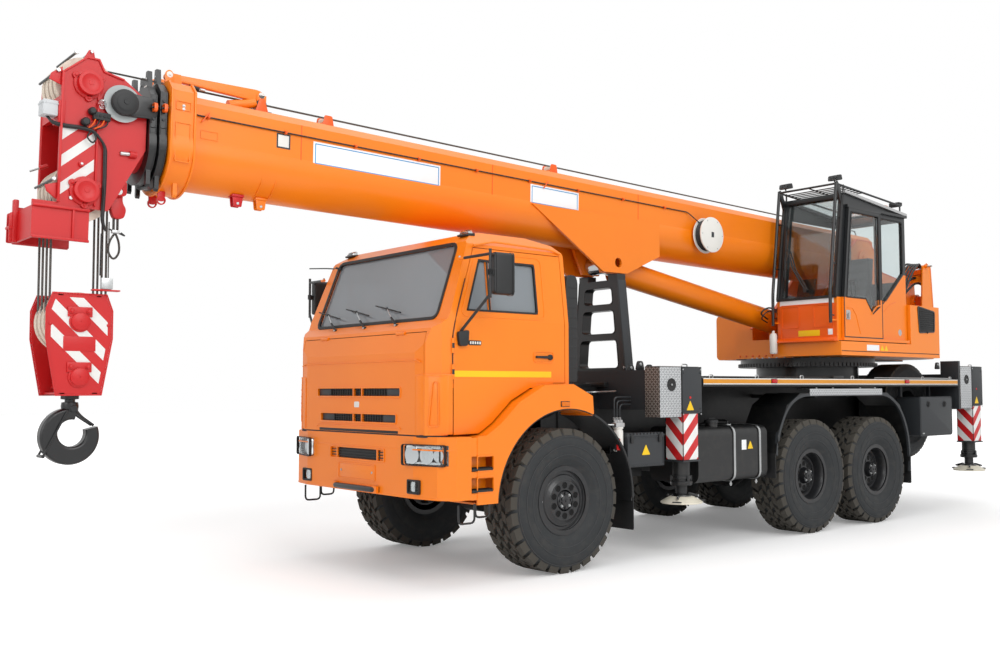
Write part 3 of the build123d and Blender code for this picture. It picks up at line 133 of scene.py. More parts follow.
@dataclass(frozen=True)
class Finish:
    """A surface: one colour with a grain in tone and a fine relief.

    The grain and relief sizes are real ones, in millimetres.
    """

    name: str
    colour: str
    second: str = ""
    roughness: float = 0.5
    metallic: float = 0.0
    coat: float = 0.0
    grain_mm: float = 400.0
    relief_mm: float = 6.0
    relief: float = 0.05
    dust: float = 0.0
    slot: str = "black_paint"

    def material(self) -> bpy.types.Material:
        """Finds or makes the material of this finish."""
        made = bpy.data.materials.get(self.name)
        if made:
            return made
        made = bpy.data.materials.new(self.name)
        made.use_nodes = True
        tree = made.node_tree
        shader = tree.nodes["Principled BSDF"]
        shader.inputs["Roughness"].default_value = self.roughness
        shader.inputs["Metallic"].default_value = self.metallic
        shader.inputs["Coat Weight"].default_value = self.coat
        shader.inputs["Coat Roughness"].default_value = COAT_ROUGHNESS
        place = add_node(tree, "TexCoord").outputs["Object"]
        self.dress(tree, shader, place)
        return made

    def dress(
            self, tree: bpy.types.NodeTree, shader: bpy.types.Node,
            place: bpy.types.NodeSocket) -> None:
        """Adds tone and relief to the shader.

        Args:
            tree: the material's tree.
            shader: its principled shader.
            place: coordinates fixed to the piece, in metres.
        """
        shade = self.tone(tree, place)
        tree.links.new(shade, shader.inputs["Base Color"])
        tree.links.new(self.height(tree, place), shader.inputs["Normal"])

    def tone(self, tree: bpy.types.NodeTree, place: bpy.types.NodeSocket) -> bpy.types.NodeSocket:
        """Mixes the two colours by a soft cloudy grain, with road dust over it where there is any.

        Args:
            tree: the material's tree.
            place: coordinates fixed to the piece, in metres.

        Returns:
            The colour socket.
        """
        grain = add_node(
            tree, "TexNoise", {"Vector": place, "Scale": 1000 / self.grain_mm, "Detail": 4.0})
        shade = add_node(
            tree, "Mix",
            {
                "Factor": grain.outputs[0], 6: linear(self.colour),
                7: linear(self.second or self.colour)},
            data_type="RGBA").outputs[2]
        if self.dust:
            speck = add_node(
                tree, "TexNoise",
                {"Vector": place, "Scale": 11.0, "Detail": 9.0, "Roughness": 0.65})
            film = add_node(
                tree, "MapRange", {0: speck.outputs[0], 1: 0.48, 2: 0.8, 3: 0.0, 4: self.dust})
            shade = add_node(
                tree, "Mix", {"Factor": film.outputs[0], 6: shade, 7: linear(ROAD_DUST)},
                data_type="RGBA").outputs[2]
        return shade

    def height(self, tree: bpy.types.NodeTree, place: bpy.types.NodeSocket) -> bpy.types.NodeSocket:
        """Gives the fine relief of the surface as a normal.

        Args:
            tree: the material's tree.
            place: coordinates fixed to the piece, in metres.

        Returns:
            The normal socket.
        """
        ripple = add_node(
            tree, "TexNoise", {"Vector": place, "Scale": 1000 / self.relief_mm, "Detail": 2.0})
        relief = {"Strength": self.relief, "Distance": RELIEF_DEPTH, "Height": ripple.outputs[0]}
        return add_node(tree, "Bump", relief).outputs[0]


@dataclass(frozen=True)
class TwoTone(Finish):
    """A paint that changes beyond a plane, given by its direction and distance in metres."""

    above: str = "#202224"
    way: tuple[float, float, float] = (0.0, 0.0, 1.0)
    level: float = 2.6

    def tone(self, tree: bpy.types.NodeTree, place: bpy.types.NodeSocket) -> bpy.types.NodeSocket:
        """Puts the second paint above the line.

        Args:
            tree: the material's tree.
            place: coordinates fixed to the piece, in metres.

        Returns:
            The colour socket.
        """
        shade = Finish.tone(self, tree, place)
        along = add_node(
            tree, "VectorMath", {0: place, 1: self.way}, operation="DOT_PRODUCT").outputs[1]
        over = add_node(
            tree, "Math", {0: along, 1: self.level}, operation="GREATER_THAN").outputs[0]
        return add_node(
            tree, "Mix", {"Factor": over, 6: shade, 7: linear(self.above)},
            data_type="RGBA").outputs[2]


@dataclass(frozen=True)
class Striped(Finish):
    """Reflective sheeting or paint in even diagonal bands, with a fine honeycomb of cells."""

    across: tuple[float, float, float] = (0.0, 1.0, 1.0)
    pitch_mm: float = 200.0
    offset: float = 0.0

    def tone(self, tree: bpy.types.NodeTree, place: bpy.types.NodeSocket) -> bpy.types.NodeSocket:
        """Lays the bands.

        Args:
            tree: the material's tree.
            place: coordinates fixed to the piece, in metres.

        Returns:
            The colour socket.
        """
        along = add_node(
            tree, "VectorMath", {0: place, 1: self.across}, operation="DOT_PRODUCT").outputs[1]
        turn = add_node(
            tree, "Math", {0: along, 1: 1000 / self.pitch_mm, 2: self.offset},
            operation="MULTIPLY_ADD")
        phase = add_node(tree, "Math", {0: turn.outputs[0]}, operation="FRACT").outputs[0]
        band = add_node(tree, "Math", {0: phase, 1: 0.5}, operation="GREATER_THAN").outputs[0]
        grain = add_node(
            tree, "TexNoise", {"Vector": place, "Scale": 9.0, "Detail": 5.0}).outputs[0]
        soil = add_node(tree, "MapRange", {0: grain, 1: 0.35, 2: 0.75, 3: 0.0, 4: 0.16}).outputs[0]
        shade = add_node(
            tree, "Mix", {"Factor": band, 6: linear(self.colour), 7: linear(self.second)},
            data_type="RGBA").outputs[2]
        return add_node(
            tree, "Mix", {"Factor": soil, 6: shade, 7: linear(SHEETING_SOIL)},
            data_type="RGBA").outputs[2]


@dataclass(frozen=True)
class TreadPlate(Finish):
    """Rolled aluminium with raised lozenges, alternating in direction; pitch in millimetres."""

    pitch_mm: float = 46.0

    def height(self, tree: bpy.types.NodeTree, place: bpy.types.NodeSocket) -> bpy.types.NodeSocket:
        """Raises the lozenges, on upright faces of either direction.

        Args:
            tree: the material's tree.
            place: coordinates fixed to the piece, in metres.

        Returns:
            The normal socket.
        """
        rings = self.lozenges(tree, place)
        return add_node(
            tree, "Bump", {"Strength": 0.9, "Distance": 0.004, "Height": rings}).outputs[0]

    def lozenges(
            self, tree: bpy.types.NodeTree, place: bpy.types.NodeSocket) -> bpy.types.NodeSocket:
        """Draws the lozenges as a height.

        Args:
            tree: the material's tree.
            place: coordinates fixed to the piece, in metres.

        Returns:
            A socket that is 1 on a lozenge and 0 between them.
        """
        scale = 1000 / self.pitch_mm
        rising = add_node(
            tree, "VectorMath", {0: place, 1: (scale, scale, scale)},
            operation="DOT_PRODUCT").outputs[1]
        falling = add_node(
            tree, "VectorMath", {0: place, 1: (scale, scale, -scale)},
            operation="DOT_PRODUCT").outputs[1]
        marks = []
        for shift, long_side, short_side in ((0.0, rising, falling), (0.5, falling, rising)):
            reach = []
            for side, half in ((long_side, 0.46), (short_side, 0.15)):
                moved = add_node(tree, "Math", {0: side, 1: shift}, operation="ADD").outputs[0]
                part = add_node(tree, "Math", {0: moved}, operation="FRACT").outputs[0]
                centred = add_node(tree, "Math", {0: part, 1: 0.5}, operation="SUBTRACT").outputs[0]
                share = add_node(tree, "Math", {0: centred, 1: half}, operation="DIVIDE").outputs[0]
                reach.append(
                    add_node(tree, "Math", {0: share, 1: 2.0}, operation="POWER").outputs[0])
            total = add_node(tree, "Math", {0: reach[0], 1: reach[1]}, operation="ADD").outputs[0]
            marks.append(
                add_node(tree, "MapRange", {0: total, 1: 1.0, 2: 0.6, 3: 0.0, 4: 1.0}).outputs[0])
        return add_node(tree, "Math", {0: marks[0], 1: marks[1]}, operation="MAXIMUM").outputs[0]

    def tone(self, tree: bpy.types.NodeTree, place: bpy.types.NodeSocket) -> bpy.types.NodeSocket:
        """Paints the lozenges paler than the plate between them.

        Args:
            tree: the material's tree.
            place: coordinates fixed to the piece, in metres.

        Returns:
            The colour socket.
        """
        return add_node(
            tree, "Mix",
            {"Factor": self.lozenges(tree, place), 6: linear(self.colour), 7: linear(self.second)},
            data_type="RGBA").outputs[2]


@dataclass(frozen=True)
class Glazing(Finish):
    """Clear or tinted glass and lens plastic: nearly all light passes."""

    clear: float = 1.0

    def dress(
            self, tree: bpy.types.NodeTree, shader: bpy.types.Node,
            place: bpy.types.NodeSocket) -> None:
        """Makes the shader let light through.

        Args:
            tree: the material's tree.
            shader: its principled shader.
            place: coordinates fixed to the piece, in metres.
        """
        shader.inputs["Transmission Weight"].default_value = self.clear
        shader.inputs["IOR"].default_value = GLASS_IOR
        Finish.dress(self, tree, shader, place)


@dataclass(frozen=True)
class LaidRope(Finish):
    """Steel wire rope: strands laid round each other, slanting across the rope's run."""

    lay: tuple[float, float, float] = (900.0, 900.0, 420.0)

    def height(self, tree: bpy.types.NodeTree, place: bpy.types.NodeSocket) -> bpy.types.NodeSocket:
        """Rounds each strand.

        Args:
            tree: the material's tree.
            place: coordinates fixed to the piece, in metres.

        Returns:
            The normal socket.
        """
        along = add_node(
            tree, "VectorMath", {0: place, 1: self.lay}, operation="DOT_PRODUCT").outputs[1]
        wave = add_node(tree, "Math", {0: along}, operation="SINE").outputs[0]
        return add_node(
            tree, "Bump", {"Strength": 1.0, "Distance": 0.003, "Height": wave}).outputs[0]


@dataclass(frozen=True)
class Pierced(Finish):
    """Sheet or vinyl with a close pattern of dark round holes, pitch in millimetres."""

    pitch_mm: float = 14.0

    def tone(self, tree: bpy.types.NodeTree, place: bpy.types.NodeSocket) -> bpy.types.NodeSocket:
        """Darkens the holes.

        Args:
            tree: the material's tree.
            place: coordinates fixed to the piece, in metres.

        Returns:
            The colour socket.
        """
        cells = add_node(
            tree, "TexVoronoi", {"Vector": place, "Scale": 1000 / self.pitch_mm, "Randomness": 0.0})
        hole = add_node(
            tree, "Math", {0: cells.outputs[0], 1: 0.28}, operation="LESS_THAN").outputs[0]
        return add_node(
            tree, "Mix", {"Factor": hole, 6: linear(self.colour), 7: linear(self.second)},
            data_type="RGBA").outputs[2]


# Colours and settings that several finishes share.
ENAMEL, ENAMEL_SHADE = "#F18004", "#ED7903"
CREAM_COAT, CREAM_SHADE = "#E6E0CF", "#D6CFBC"
SHEET_RED, SHEET_WHITE = "#C8151A", "#ECECEA"
POLYAMIDE = "#1D1E1F"
SPRAYED: dict[str, float | str] = {
    "coat": 0.04, "relief_mm": 9, "relief": 0.04, "slot": "orange_paint"}
# Two-pack machinery enamel, sprayed: a satin gloss with a faint orange-peel ripple.
ORANGE = Finish("orange_enamel", ENAMEL, ENAMEL_SHADE, 0.36, **SPRAYED)
DEEP_ORANGE = Finish("orange_enamel_lower", "#E95F08", "#E35906", 0.38, **SPRAYED)
RED = Finish(
    "red_enamel", "#C60F12", "#BC0C0F", 0.42, coat=0.0, relief_mm=9, relief=0.04, slot="red_paint")
WHITE_BAND = Finish("white_enamel_band", "#E4E4E1", "#DCDCD9", 0.45, coat=0.0, slot="red_paint")
# Doors carry their mirrors: enamel on the skin, black polyamide beyond it.
LEFT_DOOR = TwoTone(
    "left_door_enamel", ENAMEL, ENAMEL_SHADE, 0.36, **SPRAYED, above=POLYAMIDE, way=(0.0, 1.0, 0.0),
    level=1.147)
RIGHT_DOOR = TwoTone(
    "right_door_enamel", ENAMEL, ENAMEL_SHADE, 0.36, **SPRAYED, above=POLYAMIDE,
    way=(0.0, -1.0, 0.0), level=1.147)
# The crane operator's cab: enamel below the waist, black frames round the panes.
CRANE_CAB = TwoTone(
    "crane_cab_enamel", ENAMEL, ENAMEL_SHADE, 0.36, **SPRAYED, above="#1B1D1F", level=2.63)
# Powder-coated junction box: a pale flat grey.
GREY_BOX = Finish(
    "pale_grey_powder_coat", "#C9CCCE", "#BFC2C4", 0.5, relief_mm=2.5, relief=0.1,
    slot="dark_grey_paint")
# Chassis enamel: satin black over steel, a little dusty near the road.
CHASSIS_BLACK = Finish(
    "chassis_enamel", "#0D0E0F", "#131415", 0.42, coat=0.05, relief_mm=14, relief=0.06, dust=0.05)
FRAME_BLACK = Finish(
    "superstructure_enamel", "#0C0D0E", "#111214", 0.36, coat=0.15, relief_mm=14, relief=0.06)
GREY_PAINT = Finish(
    "graphite_powder_coat", "#25282B", "#2B2E31", 0.5, relief_mm=2.5, relief=0.12,
    slot="dark_grey_paint")
CREAM = Finish(
    "cream_polyurethane", CREAM_COAT, CREAM_SHADE, 0.55, relief_mm=12, relief=0.1, dust=0.25,
    slot="cream_paint")
# The jack foot: a cream pad below its black socket and rod.
JACK_FOOT = TwoTone(
    "jack_foot_paint", CREAM_COAT, CREAM_SHADE, 0.5, relief_mm=12, relief=0.1, dust=0.25,
    slot="cream_paint", above="#191A1C", level=0.546)
# The turntable: enamel over the deck and black under it.
TURNTABLE = TwoTone(
    "turntable_enamel", "#0E0F10", "#131416", 0.36, coat=0.1, relief_mm=9, relief=0.04,
    slot="orange_paint", above="#F2830C", level=1.957)
# The front mudguard: enamel over the arch and black polyamide behind the wheel.
MUDGUARD = TwoTone(
    "front_mudguard_enamel", ENAMEL, ENAMEL_SHADE, 0.36, **SPRAYED, above=POLYAMIDE,
    way=(-1.0, 0.0, -1.0), level=-1.058 - AXLE_X)
WHEEL_BLACK = Finish(
    "wheel_enamel", "#141517", "#191A1D", 0.36, coat=0.15, relief_mm=5, relief=0.06, dust=0.04,
    slot="wheel_black")
# Moulded polyamide with an even fine leather grain, and rubber: smooth on the seals, ribbed on
# the hoses and matt with a little dust on the tyres.
PLASTIC = Finish("grained_polyamide", "#161718", "#1C1D1E", 0.55, relief_mm=2.2, relief=0.25)
SEAL = Finish("window_rubber", "#0E0E0F", "#151516", 0.6, relief_mm=3, relief=0.1)
HOSE = Finish("hydraulic_hose_rubber", "#161617", "#1E1E1F", 0.5, relief_mm=2, relief=0.3)
TYRE = Finish(
    "road_rubber", "#1E2123", "#242729", 0.74, grain_mm=260, relief_mm=3, relief=0.3, dust=0.08,
    slot="tyre")
# Bright metals: a soft sheen on rolled steel, mirror-bright chrome, pale zinc, raised lozenges
# on the tread plate and slanting strands on the rope.
STEEL = Finish(
    "rolled_steel", "#A7A9AB", "#8F9193", 0.35, 1.0, relief_mm=2, relief=0.08, slot="rolled_steel")
CHROME = Finish(
    "hard_chromed_rod", "#D5D7D8", "#C9CBCC", 0.12, 1.0, relief=0.0, slot="rolled_steel")
ZINC = Finish(
    "zinc_plated_strap", "#C6C8C8", "#A9ABAB", 0.38, 1.0, grain_mm=30, relief_mm=5, relief=0.1,
    slot="rolled_steel")
PLATE = TreadPlate("tread_plate", "#A9ABAD", "#DCDEDF", 0.34, 0.85, slot="rolled_steel")
# The same tread plate, painted darker and browner as painted shade, for the covers' end faces and
# tops.
SHADED_PLATE = TreadPlate("tread_plate_painted_shade", "#5D544E", "#A39A92", 0.42, 0.6, slot="rolled_steel")
ROPE = LaidRope("laid_wire_rope", "#7C7A76", "#5C5A57", 0.45, 0.7, slot="rolled_steel")
TOP_ROPE = LaidRope(
    "laid_wire_rope_run", "#6E6C68", "#55534F", 0.45, 0.7, slot="rolled_steel",
    lay=(420.0, 900.0, 900.0))
DRUM_ROPE = LaidRope(
    "laid_wire_rope_drum", "#55524E", "#403E3A", 0.5, 0.6, slot="rolled_steel",
    lay=(300.0, 900.0, 300.0))
# Painted shade in the wheel disc's lightening holes: matt black sheets for their unlit depths, so
# that they read as openings.
HOLE_SHADE = Finish("disc_hole_painted_shade", "#000000", "#010101", 1.0, relief=0.0, slot="wheel_black")
# Faces of the tread blocks: paler rubber, partly a trace of road dust and partly a painted
# highlight on the lugs.
TREAD_DUST_AND_HIGHLIGHT = Finish("tread_block_dust_and_highlight", "#48443D", "#37342F", 0.85, relief_mm=5, relief=0.3, slot="tyre")
# Moulded rings of the tyre wall: the same rubber, painted a shade paler as a highlight on their
# edges.
SIDEWALL_RIB_HIGHLIGHT = Finish(
    "wall_ring_painted_highlight", "#3A3B3D", "#323335", 0.7, relief_mm=3, relief=0.2, slot="tyre")
# Cast nylon of the rope sheaves: turned, cream and faintly glossy.
NYLON = Finish("cast_nylon", "#E6DACA", "#DCCFBE", 0.5, relief=0.05, slot="cream_paint")
# Panes and lenses: clear, grey or tinted, with a rippled surface on the lamps.
CLEAR = Glazing("window_pane", "#E8EEEE", "#E4EBEB", 0.02, relief=0.0, slot="window_glass")
CAB_PANE = Glazing(
    "cab_safety_glass", "#A9B0B5", "#A3AAAF", 0.03, relief=0.0, slot="window_glass", clear=0.52)
SMOKED = Glazing("tinted_pane", "#A9B5B7", "#A3AFB1", 0.03, relief=0.0, slot="window_glass")
SMOKED_RIM = Finish(
    "drum_flange_polymer", "#AEB4B4", "#A2A8A8", 0.4, relief=0.05, slot="dark_grey_paint")
LENS = Glazing(
    "lamp_polycarbonate", "#F4F6F6", "#EEF1F1", 0.05, relief_mm=5, relief=0.3, slot="lamp_lens")
AMBER = Glazing(
    "amber_acrylic", "#FF8A10", "#FF7A00", 0.1, relief_mm=4, relief=0.3, slot="lamp_lens",
    clear=0.35)
RED_LENS = Glazing(
    "red_acrylic", "#D81010", "#C80808", 0.1, relief_mm=4, relief=0.3, slot="lamp_lens", clear=0.25)
# Silvered mirrors and lamp bowls: they throw back what is round them.
MIRROR = Finish("silvered_glass", "#DDE2E4", "#DDE2E4", 0.02, 1.0, relief=0.0, slot="rolled_steel")
# Boards, tapes and seat covers: flat films with fine cells, pierced vinyl and a close weave.
SIGN_WHITE = Finish("white_sign_board", "#F0F1F2", "#E9EAEB", 0.4, relief=0.02, slot="cream_paint")
BOARD_LEFT = Striped(
    "striped_sheeting_left", SHEET_RED, SHEET_WHITE, 0.35, across=(1.0, 1.0, 1.0), pitch_mm=215,
    relief_mm=3, slot="red_paint")
BOARD_RIGHT = Striped(
    "striped_sheeting_right", SHEET_RED, SHEET_WHITE, 0.35, across=(1.0, -1.0, 1.0), pitch_mm=215,
    relief_mm=3, slot="red_paint")
SIGN_BLUE = Finish("blue_sign_border", "#2C93CE", "#2888C2", 0.4, relief=0.02)
SIGN_YELLOW = Finish(
    "yellow_sign_film", "#F0C400", "#E8BC00", 0.42, relief=0.02, slot="orange_paint")
AMBER_TAPE = Finish(
    "amber_reflective_tape", "#DC9318", "#C98312", 0.35, grain_mm=60, relief_mm=4, relief=0.3,
    slot="orange_paint")
WHITE_TAPE = Finish(
    "white_reflective_tape", "#E6E4DE", "#D8D6D0", 0.35, relief_mm=4, relief=0.3,
    slot="cream_paint")
VINYL = Pierced(
    "perforated_seat_vinyl", "#54575A", "#1B1C1D", 0.6, relief_mm=3, relief=0.2, slot="trim_fabric")
FABRIC = Finish(
    "woven_seat_fabric", "#232527", "#303335", 0.85, grain_mm=8, relief_mm=1.6, relief=0.5,
    slot="trim_fabric")


# ---- building pieces ----------------------------------------------------------------------------
class Face(Enum):
    """The plane that an outline is drawn in; its third axis is the one it is drawn out along."""

    SIDE = "xz"
    FRONT = "yz"
    PLAN = "xy"

    def point(self, flat: Flat, out: float) -> Point:
        """Places a flat point.

        Args:
            flat: the point in the plane.
            out: its place along the third axis.

        Returns:
            The point in space.
        """
        first, second = flat
        if self is Face.SIDE:
            return first, out, second
        if self is Face.FRONT:
            return out, first, second
        return first, second, out


class Axis(Enum):
    """The axis that a turned form runs along."""

    X = "x"
    Y = "y"
    Z = "z"

    def point(self, along: float, first: float, second: float) -> Point:
        """Places a point of a ring.

        Args:
            along: its place along the axis.
            first: its place in the first direction across the axis.
            second: its place in the second direction.

        Returns:
            The point in space.
        """
        if self is Axis.X:
            return along, first, second
        if self is Axis.Y:
            return second, along, first
        return first, second, along


class Piece:
    """One dressed piece, gathered from simple forms in millimetres and then put on its body."""

    def __init__(self, name: str, body: str, frame_of: Matrix = MM) -> None:
        """Starts an empty piece.

        Args:
            name: the piece's name.
            body: the moving body that carries it.
            frame_of: what turns the piece's millimetres into the row frame.
        """
        self.name = name
        self.body = body
        self.frame_of = frame_of
        self.mesh = bmesh.new()
        self.finishes: list[Finish] = []

    def take(
            self, part: bmesh.types.BMesh, finish: Finish, bevel: float = 0.0,
            place: Matrix | None = None, mirror: bool = False) -> None:
        """Adds a form, with its sharp edges eased.

        Args:
            part: the form; it is used up.
            finish: its finish.
            bevel: how far its edges are eased, in millimetres.
            place: moves or turns the form first.
            mirror: whether the form is also added on the other side of the machine.
        """
        if finish not in self.finishes:
            self.finishes.append(finish)
        if bevel:
            sharp = [
                e for e in part.edges
                if len(e.link_faces) == 2 and e.calc_face_angle(0.0) > EASED_ANGLE]
            bmesh.ops.bevel(
                part, geom=sharp, offset=bevel, segments=2, profile=0.6, affect="EDGES",
                clamp_overlap=True)
        if place is not None:
            bmesh.ops.transform(part, matrix=place, verts=part.verts)
        index = self.finishes.index(finish)
        for face in part.faces:
            face.material_index = index
            face.smooth = True
        held = bpy.data.meshes.new("held")
        part.to_mesh(held)
        self.mesh.from_mesh(held)
        if mirror:
            bmesh.ops.transform(part, matrix=flip(-1), verts=part.verts)
            bmesh.ops.reverse_faces(part, faces=part.faces)
            part.to_mesh(held)
            self.mesh.from_mesh(held)
        bpy.data.meshes.remove(held)
        part.free()

    def prism(
            self, finish: Finish, face: Face, outline: Sequence[Flat], span: Span,
            bevel: float = 2.0, mirror: bool = False, place: Matrix | None = None) -> None:
        """Adds an outline drawn out into a plate or bar.

        Args:
            finish: its finish.
            face: the plane of the outline.
            outline: its corners in order.
            span: where it starts and ends along the third axis.
            bevel: how far its edges are eased.
            mirror: whether it is also on the other side.
            place: moves or turns it first.
        """
        part = bmesh.new()
        low = [part.verts.new(face.point(p, span[0])) for p in outline]
        high = [part.verts.new(face.point(p, span[1])) for p in outline]
        part.faces.new(low)
        part.faces.new(list(reversed(high)))
        for i in range(len(outline)):
            j = (i + 1) % len(outline)
            part.faces.new([low[j], low[i], high[i], high[j]])
        bmesh.ops.recalc_face_normals(part, faces=part.faces)
        self.take(part, finish, bevel, place, mirror)

    def block(
            self, finish: Finish, x: Span, y: Span, z: Span, bevel: float = 2.0,
            mirror: bool = False, place: Matrix | None = None) -> None:
        """Adds a square bar or plate between three spans, as prism does."""
        self.prism(
            finish, Face.PLAN, [(x[0], y[0]), (x[1], y[0]), (x[1], y[1]), (x[0], y[1])], z, bevel,
            mirror, place)

    def strip(
            self, finish: Finish, face: Face, line: Sequence[Flat], width: float, span: Span,
            closed: bool = True, bevel: float = 1.5, mirror: bool = False,
            place: Matrix | None = None) -> None:
        """Adds a moulding of even width along a line, such as a seal, a hem or a tape.

        Args:
            finish: its finish.
            face: the plane of the line.
            line: the line's points; the moulding lies to its left.
            width: the moulding's width.
            span: where it starts and ends along the third axis.
            closed: whether the line runs round.
            bevel: how far its edges are eased.
            mirror: whether it is also on the other side.
            place: moves or turns it first.
        """
        part = bmesh.new()
        points = [Vector(p) for p in line]
        last = len(points) - 1
        rows = []
        for i, here in enumerate(points):
            back = points[i - 1] if closed or i > 0 else here * 2 - points[1]
            ahead = points[(i + 1) % (last + 1)] if closed or i < last else here * 2 - points[i - 1]
            one = (here - back).normalized().orthogonal()
            two = (ahead - here).normalized().orthogonal()
            lean = one + two
            inner = here + lean * (width * 2 / max(lean.length_squared, 0.5))
            corners = ((here, span[0]), (inner, span[0]), (inner, span[1]), (here, span[1]))
            rows.append([part.verts.new(face.point(p, s)) for p, s in corners])
        for i in range(last + (1 if closed else 0)):
            one, two = rows[i], rows[(i + 1) % (last + 1)]
            for k in range(4):
                part.faces.new([one[k], one[(k + 1) % 4], two[(k + 1) % 4], two[k]])
        if not closed:
            part.faces.new(rows[0])
            part.faces.new(rows[-1])
        bmesh.ops.recalc_face_normals(part, faces=part.faces)
        self.take(part, finish, bevel, place, mirror)

    def lathe(
            self, finish: Finish, profile: Sequence[Flat], centre: Point, axis: Axis = Axis.Y,
            sides: int = 32, mirror: bool = False, place: Matrix | None = None) -> None:
        """Adds a turned form.

        Args:
            finish: its finish.
            profile: radius and place along the axis, in order.
            centre: where the axis is.
            axis: the axis that it runs along.
            sides: how many sides the round has.
            mirror: whether it is also on the other side.
            place: moves or turns it first.
        """
        part = bmesh.new()
        rings = []
        closed = tuple(profile[0]) == tuple(profile[-1])
        for radius, along in profile[:-1] if closed else profile:
            ring = []
            for k in range(sides if radius > 0.01 else 1):
                angle = 2 * math.pi * k / sides
                a, b = radius * math.cos(angle), radius * math.sin(angle)
                ring.append(
                    part.verts.new([c + d for c, d in zip(centre, axis.point(along, a, b))]))
            rings.append(ring)
        if closed:
            rings.append(rings[0])
        for one, two in zip(rings, rings[1:]):
            for k in range(sides):
                j = (k + 1) % sides
                corners = [
                    one[k % len(one)], one[j % len(one)], two[j % len(two)], two[k % len(two)]]
                unique = list(dict.fromkeys(corners))
                if len(unique) > 2:
                    part.faces.new(unique)
        for ring in (rings[0], rings[-1]):
            if len(ring) > 2 and rings[0] is not rings[-1]:
                part.faces.new(ring)
        bmesh.ops.recalc_face_normals(part, faces=part.faces)
        self.take(part, finish, 0.0, place, mirror)

    def disc(
            self, finish: Finish, centre: Point, radius: float, depth: float, axis: Axis = Axis.Y,
            sides: int = 24, ease: float = 2.0, mirror: bool = False) -> None:
        """Adds a round boss from its centre along its axis, with its outer edge eased."""
        step = math.copysign(min(ease, abs(depth) / 2), depth)
        profile = [(radius, 0), (radius, depth - step), (radius - abs(step), depth), (0, depth)]
        self.lathe(finish, profile, centre, axis, sides, mirror)

    def pipe(
            self, finish: Finish, points: Sequence[Point], radius: float, bend: float = 0.0,
            sides: int = 10, mirror: bool = False) -> None:
        """Adds a round bar, pipe or hose along points, with its turns rounded.

        Args:
            finish: its finish.
            points: the points it passes, in order.
            radius: its radius.
            bend: how far from each corner its turn starts.
            sides: how many sides the round has.
            mirror: whether it is also on the other side.
        """
        path = [Vector(points[0])]
        for i in range(1, len(points) - 1):
            here, back, ahead = Vector(points[i]), Vector(points[i - 1]), Vector(points[i + 1])
            if not bend:
                path.append(here)
                continue
            start = here + (back - here).normalized() * min(
                bend, (back - here).length * CORNER_SHARE)
            end = here + (ahead - here).normalized() * min(
                bend, (ahead - here).length * CORNER_SHARE)
            path += [
                start.lerp(here, t).lerp(here.lerp(end, t), t) for t in (0.0, 0.25, 0.5, 0.75, 1.0)]
        path.append(Vector(points[-1]))
        part = bmesh.new()
        rings: list[list[bmesh.types.BMVert]] = []
        turns = [2 * math.pi * k / sides for k in range(sides)]
        side_way = (path[1] - path[0]).orthogonal().normalized()
        for i, here in enumerate(path):
            way = (path[min(i + 1, len(path) - 1)] - path[max(i - 1, 0)]).normalized()
            side_way = (side_way - way * side_way.dot(way)).normalized()
            up_way = way.cross(side_way)
            ring = [(side_way * math.cos(a) + up_way * math.sin(a)) * radius for a in turns]
            rings.append([part.verts.new(here + out) for out in ring])
        for one, two in zip(rings, rings[1:]):
            for k in range(sides):
                part.faces.new([one[k], one[(k + 1) % sides], two[(k + 1) % sides], two[k]])
        part.faces.new(rings[0])
        part.faces.new(rings[-1])
        bmesh.ops.recalc_face_normals(part, faces=part.faces)
        self.take(part, finish, 0.0, None, mirror)

    def bolts(
            self, finish: Finish, places: Iterable[Point], radius: float = 9.0, height: float = 8.0,
            axis: Axis = Axis.Y, mirror: bool = False) -> None:
        """Adds hexagon heads with washers, which stand out along the axis by the signed height."""
        for place in places:
            thin = math.copysign(2.5, height)
            self.lathe(
                finish, [(radius * 1.35, 0), (radius * 1.35, thin), (0, thin)], place, axis, 12,
                mirror)
            self.lathe(
                finish,
                [(radius, thin), (radius, height - thin / 3), (radius * 0.85, height), (0, height)],
                place, axis, 6, mirror)

    def done(self, *replaced: str) -> bpy.types.Object:
        """Makes the object, puts it on its body and reports it.

        Args:
            replaced: solids that it stands for.

        Returns:
            The object.
        """
        bmesh.ops.transform(self.mesh, matrix=self.frame_of, verts=self.mesh.verts)
        data = bpy.data.meshes.new(self.name)
        self.mesh.to_mesh(data)
        self.mesh.free()
        data.set_sharp_from_angle(angle=math.radians(CREASE))
        for finish in self.finishes:
            data.materials.append(finish.material())
        made = bpy.data.objects.new(self.name, data)
        bpy.context.scene.collection.objects.link(made)
        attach(made, self.body)
        if replaced:
            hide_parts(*replaced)
        log.info("%s: %d faces on %s", self.name, len(data.polygons), self.body)
        return made


def rounded(outline: Sequence[Flat], radius: float, steps: int = 4) -> list[Flat]:
    """Rounds the corners of an outline.

    Args:
        outline: its corners in order.
        radius: how far from each corner its turn starts.
        steps: how many sides each turn has.

    Returns:
        The points of the rounded outline.
    """
    points = [Vector(p) for p in outline]
    out: list[Flat] = []
    for i, here in enumerate(points):
        back, ahead = points[i - 1] - here, points[(i + 1) % len(points)] - here
        start = here + back.normalized() * min(radius, back.length * CORNER_SHARE)
        end = here + ahead.normalized() * min(radius, ahead.length * CORNER_SHARE)
        for k in range(steps + 1):
            t = k / steps
            turn = start.lerp(here, t).lerp(here.lerp(end, t), t)
            out.append((turn.x, turn.y))
    return out


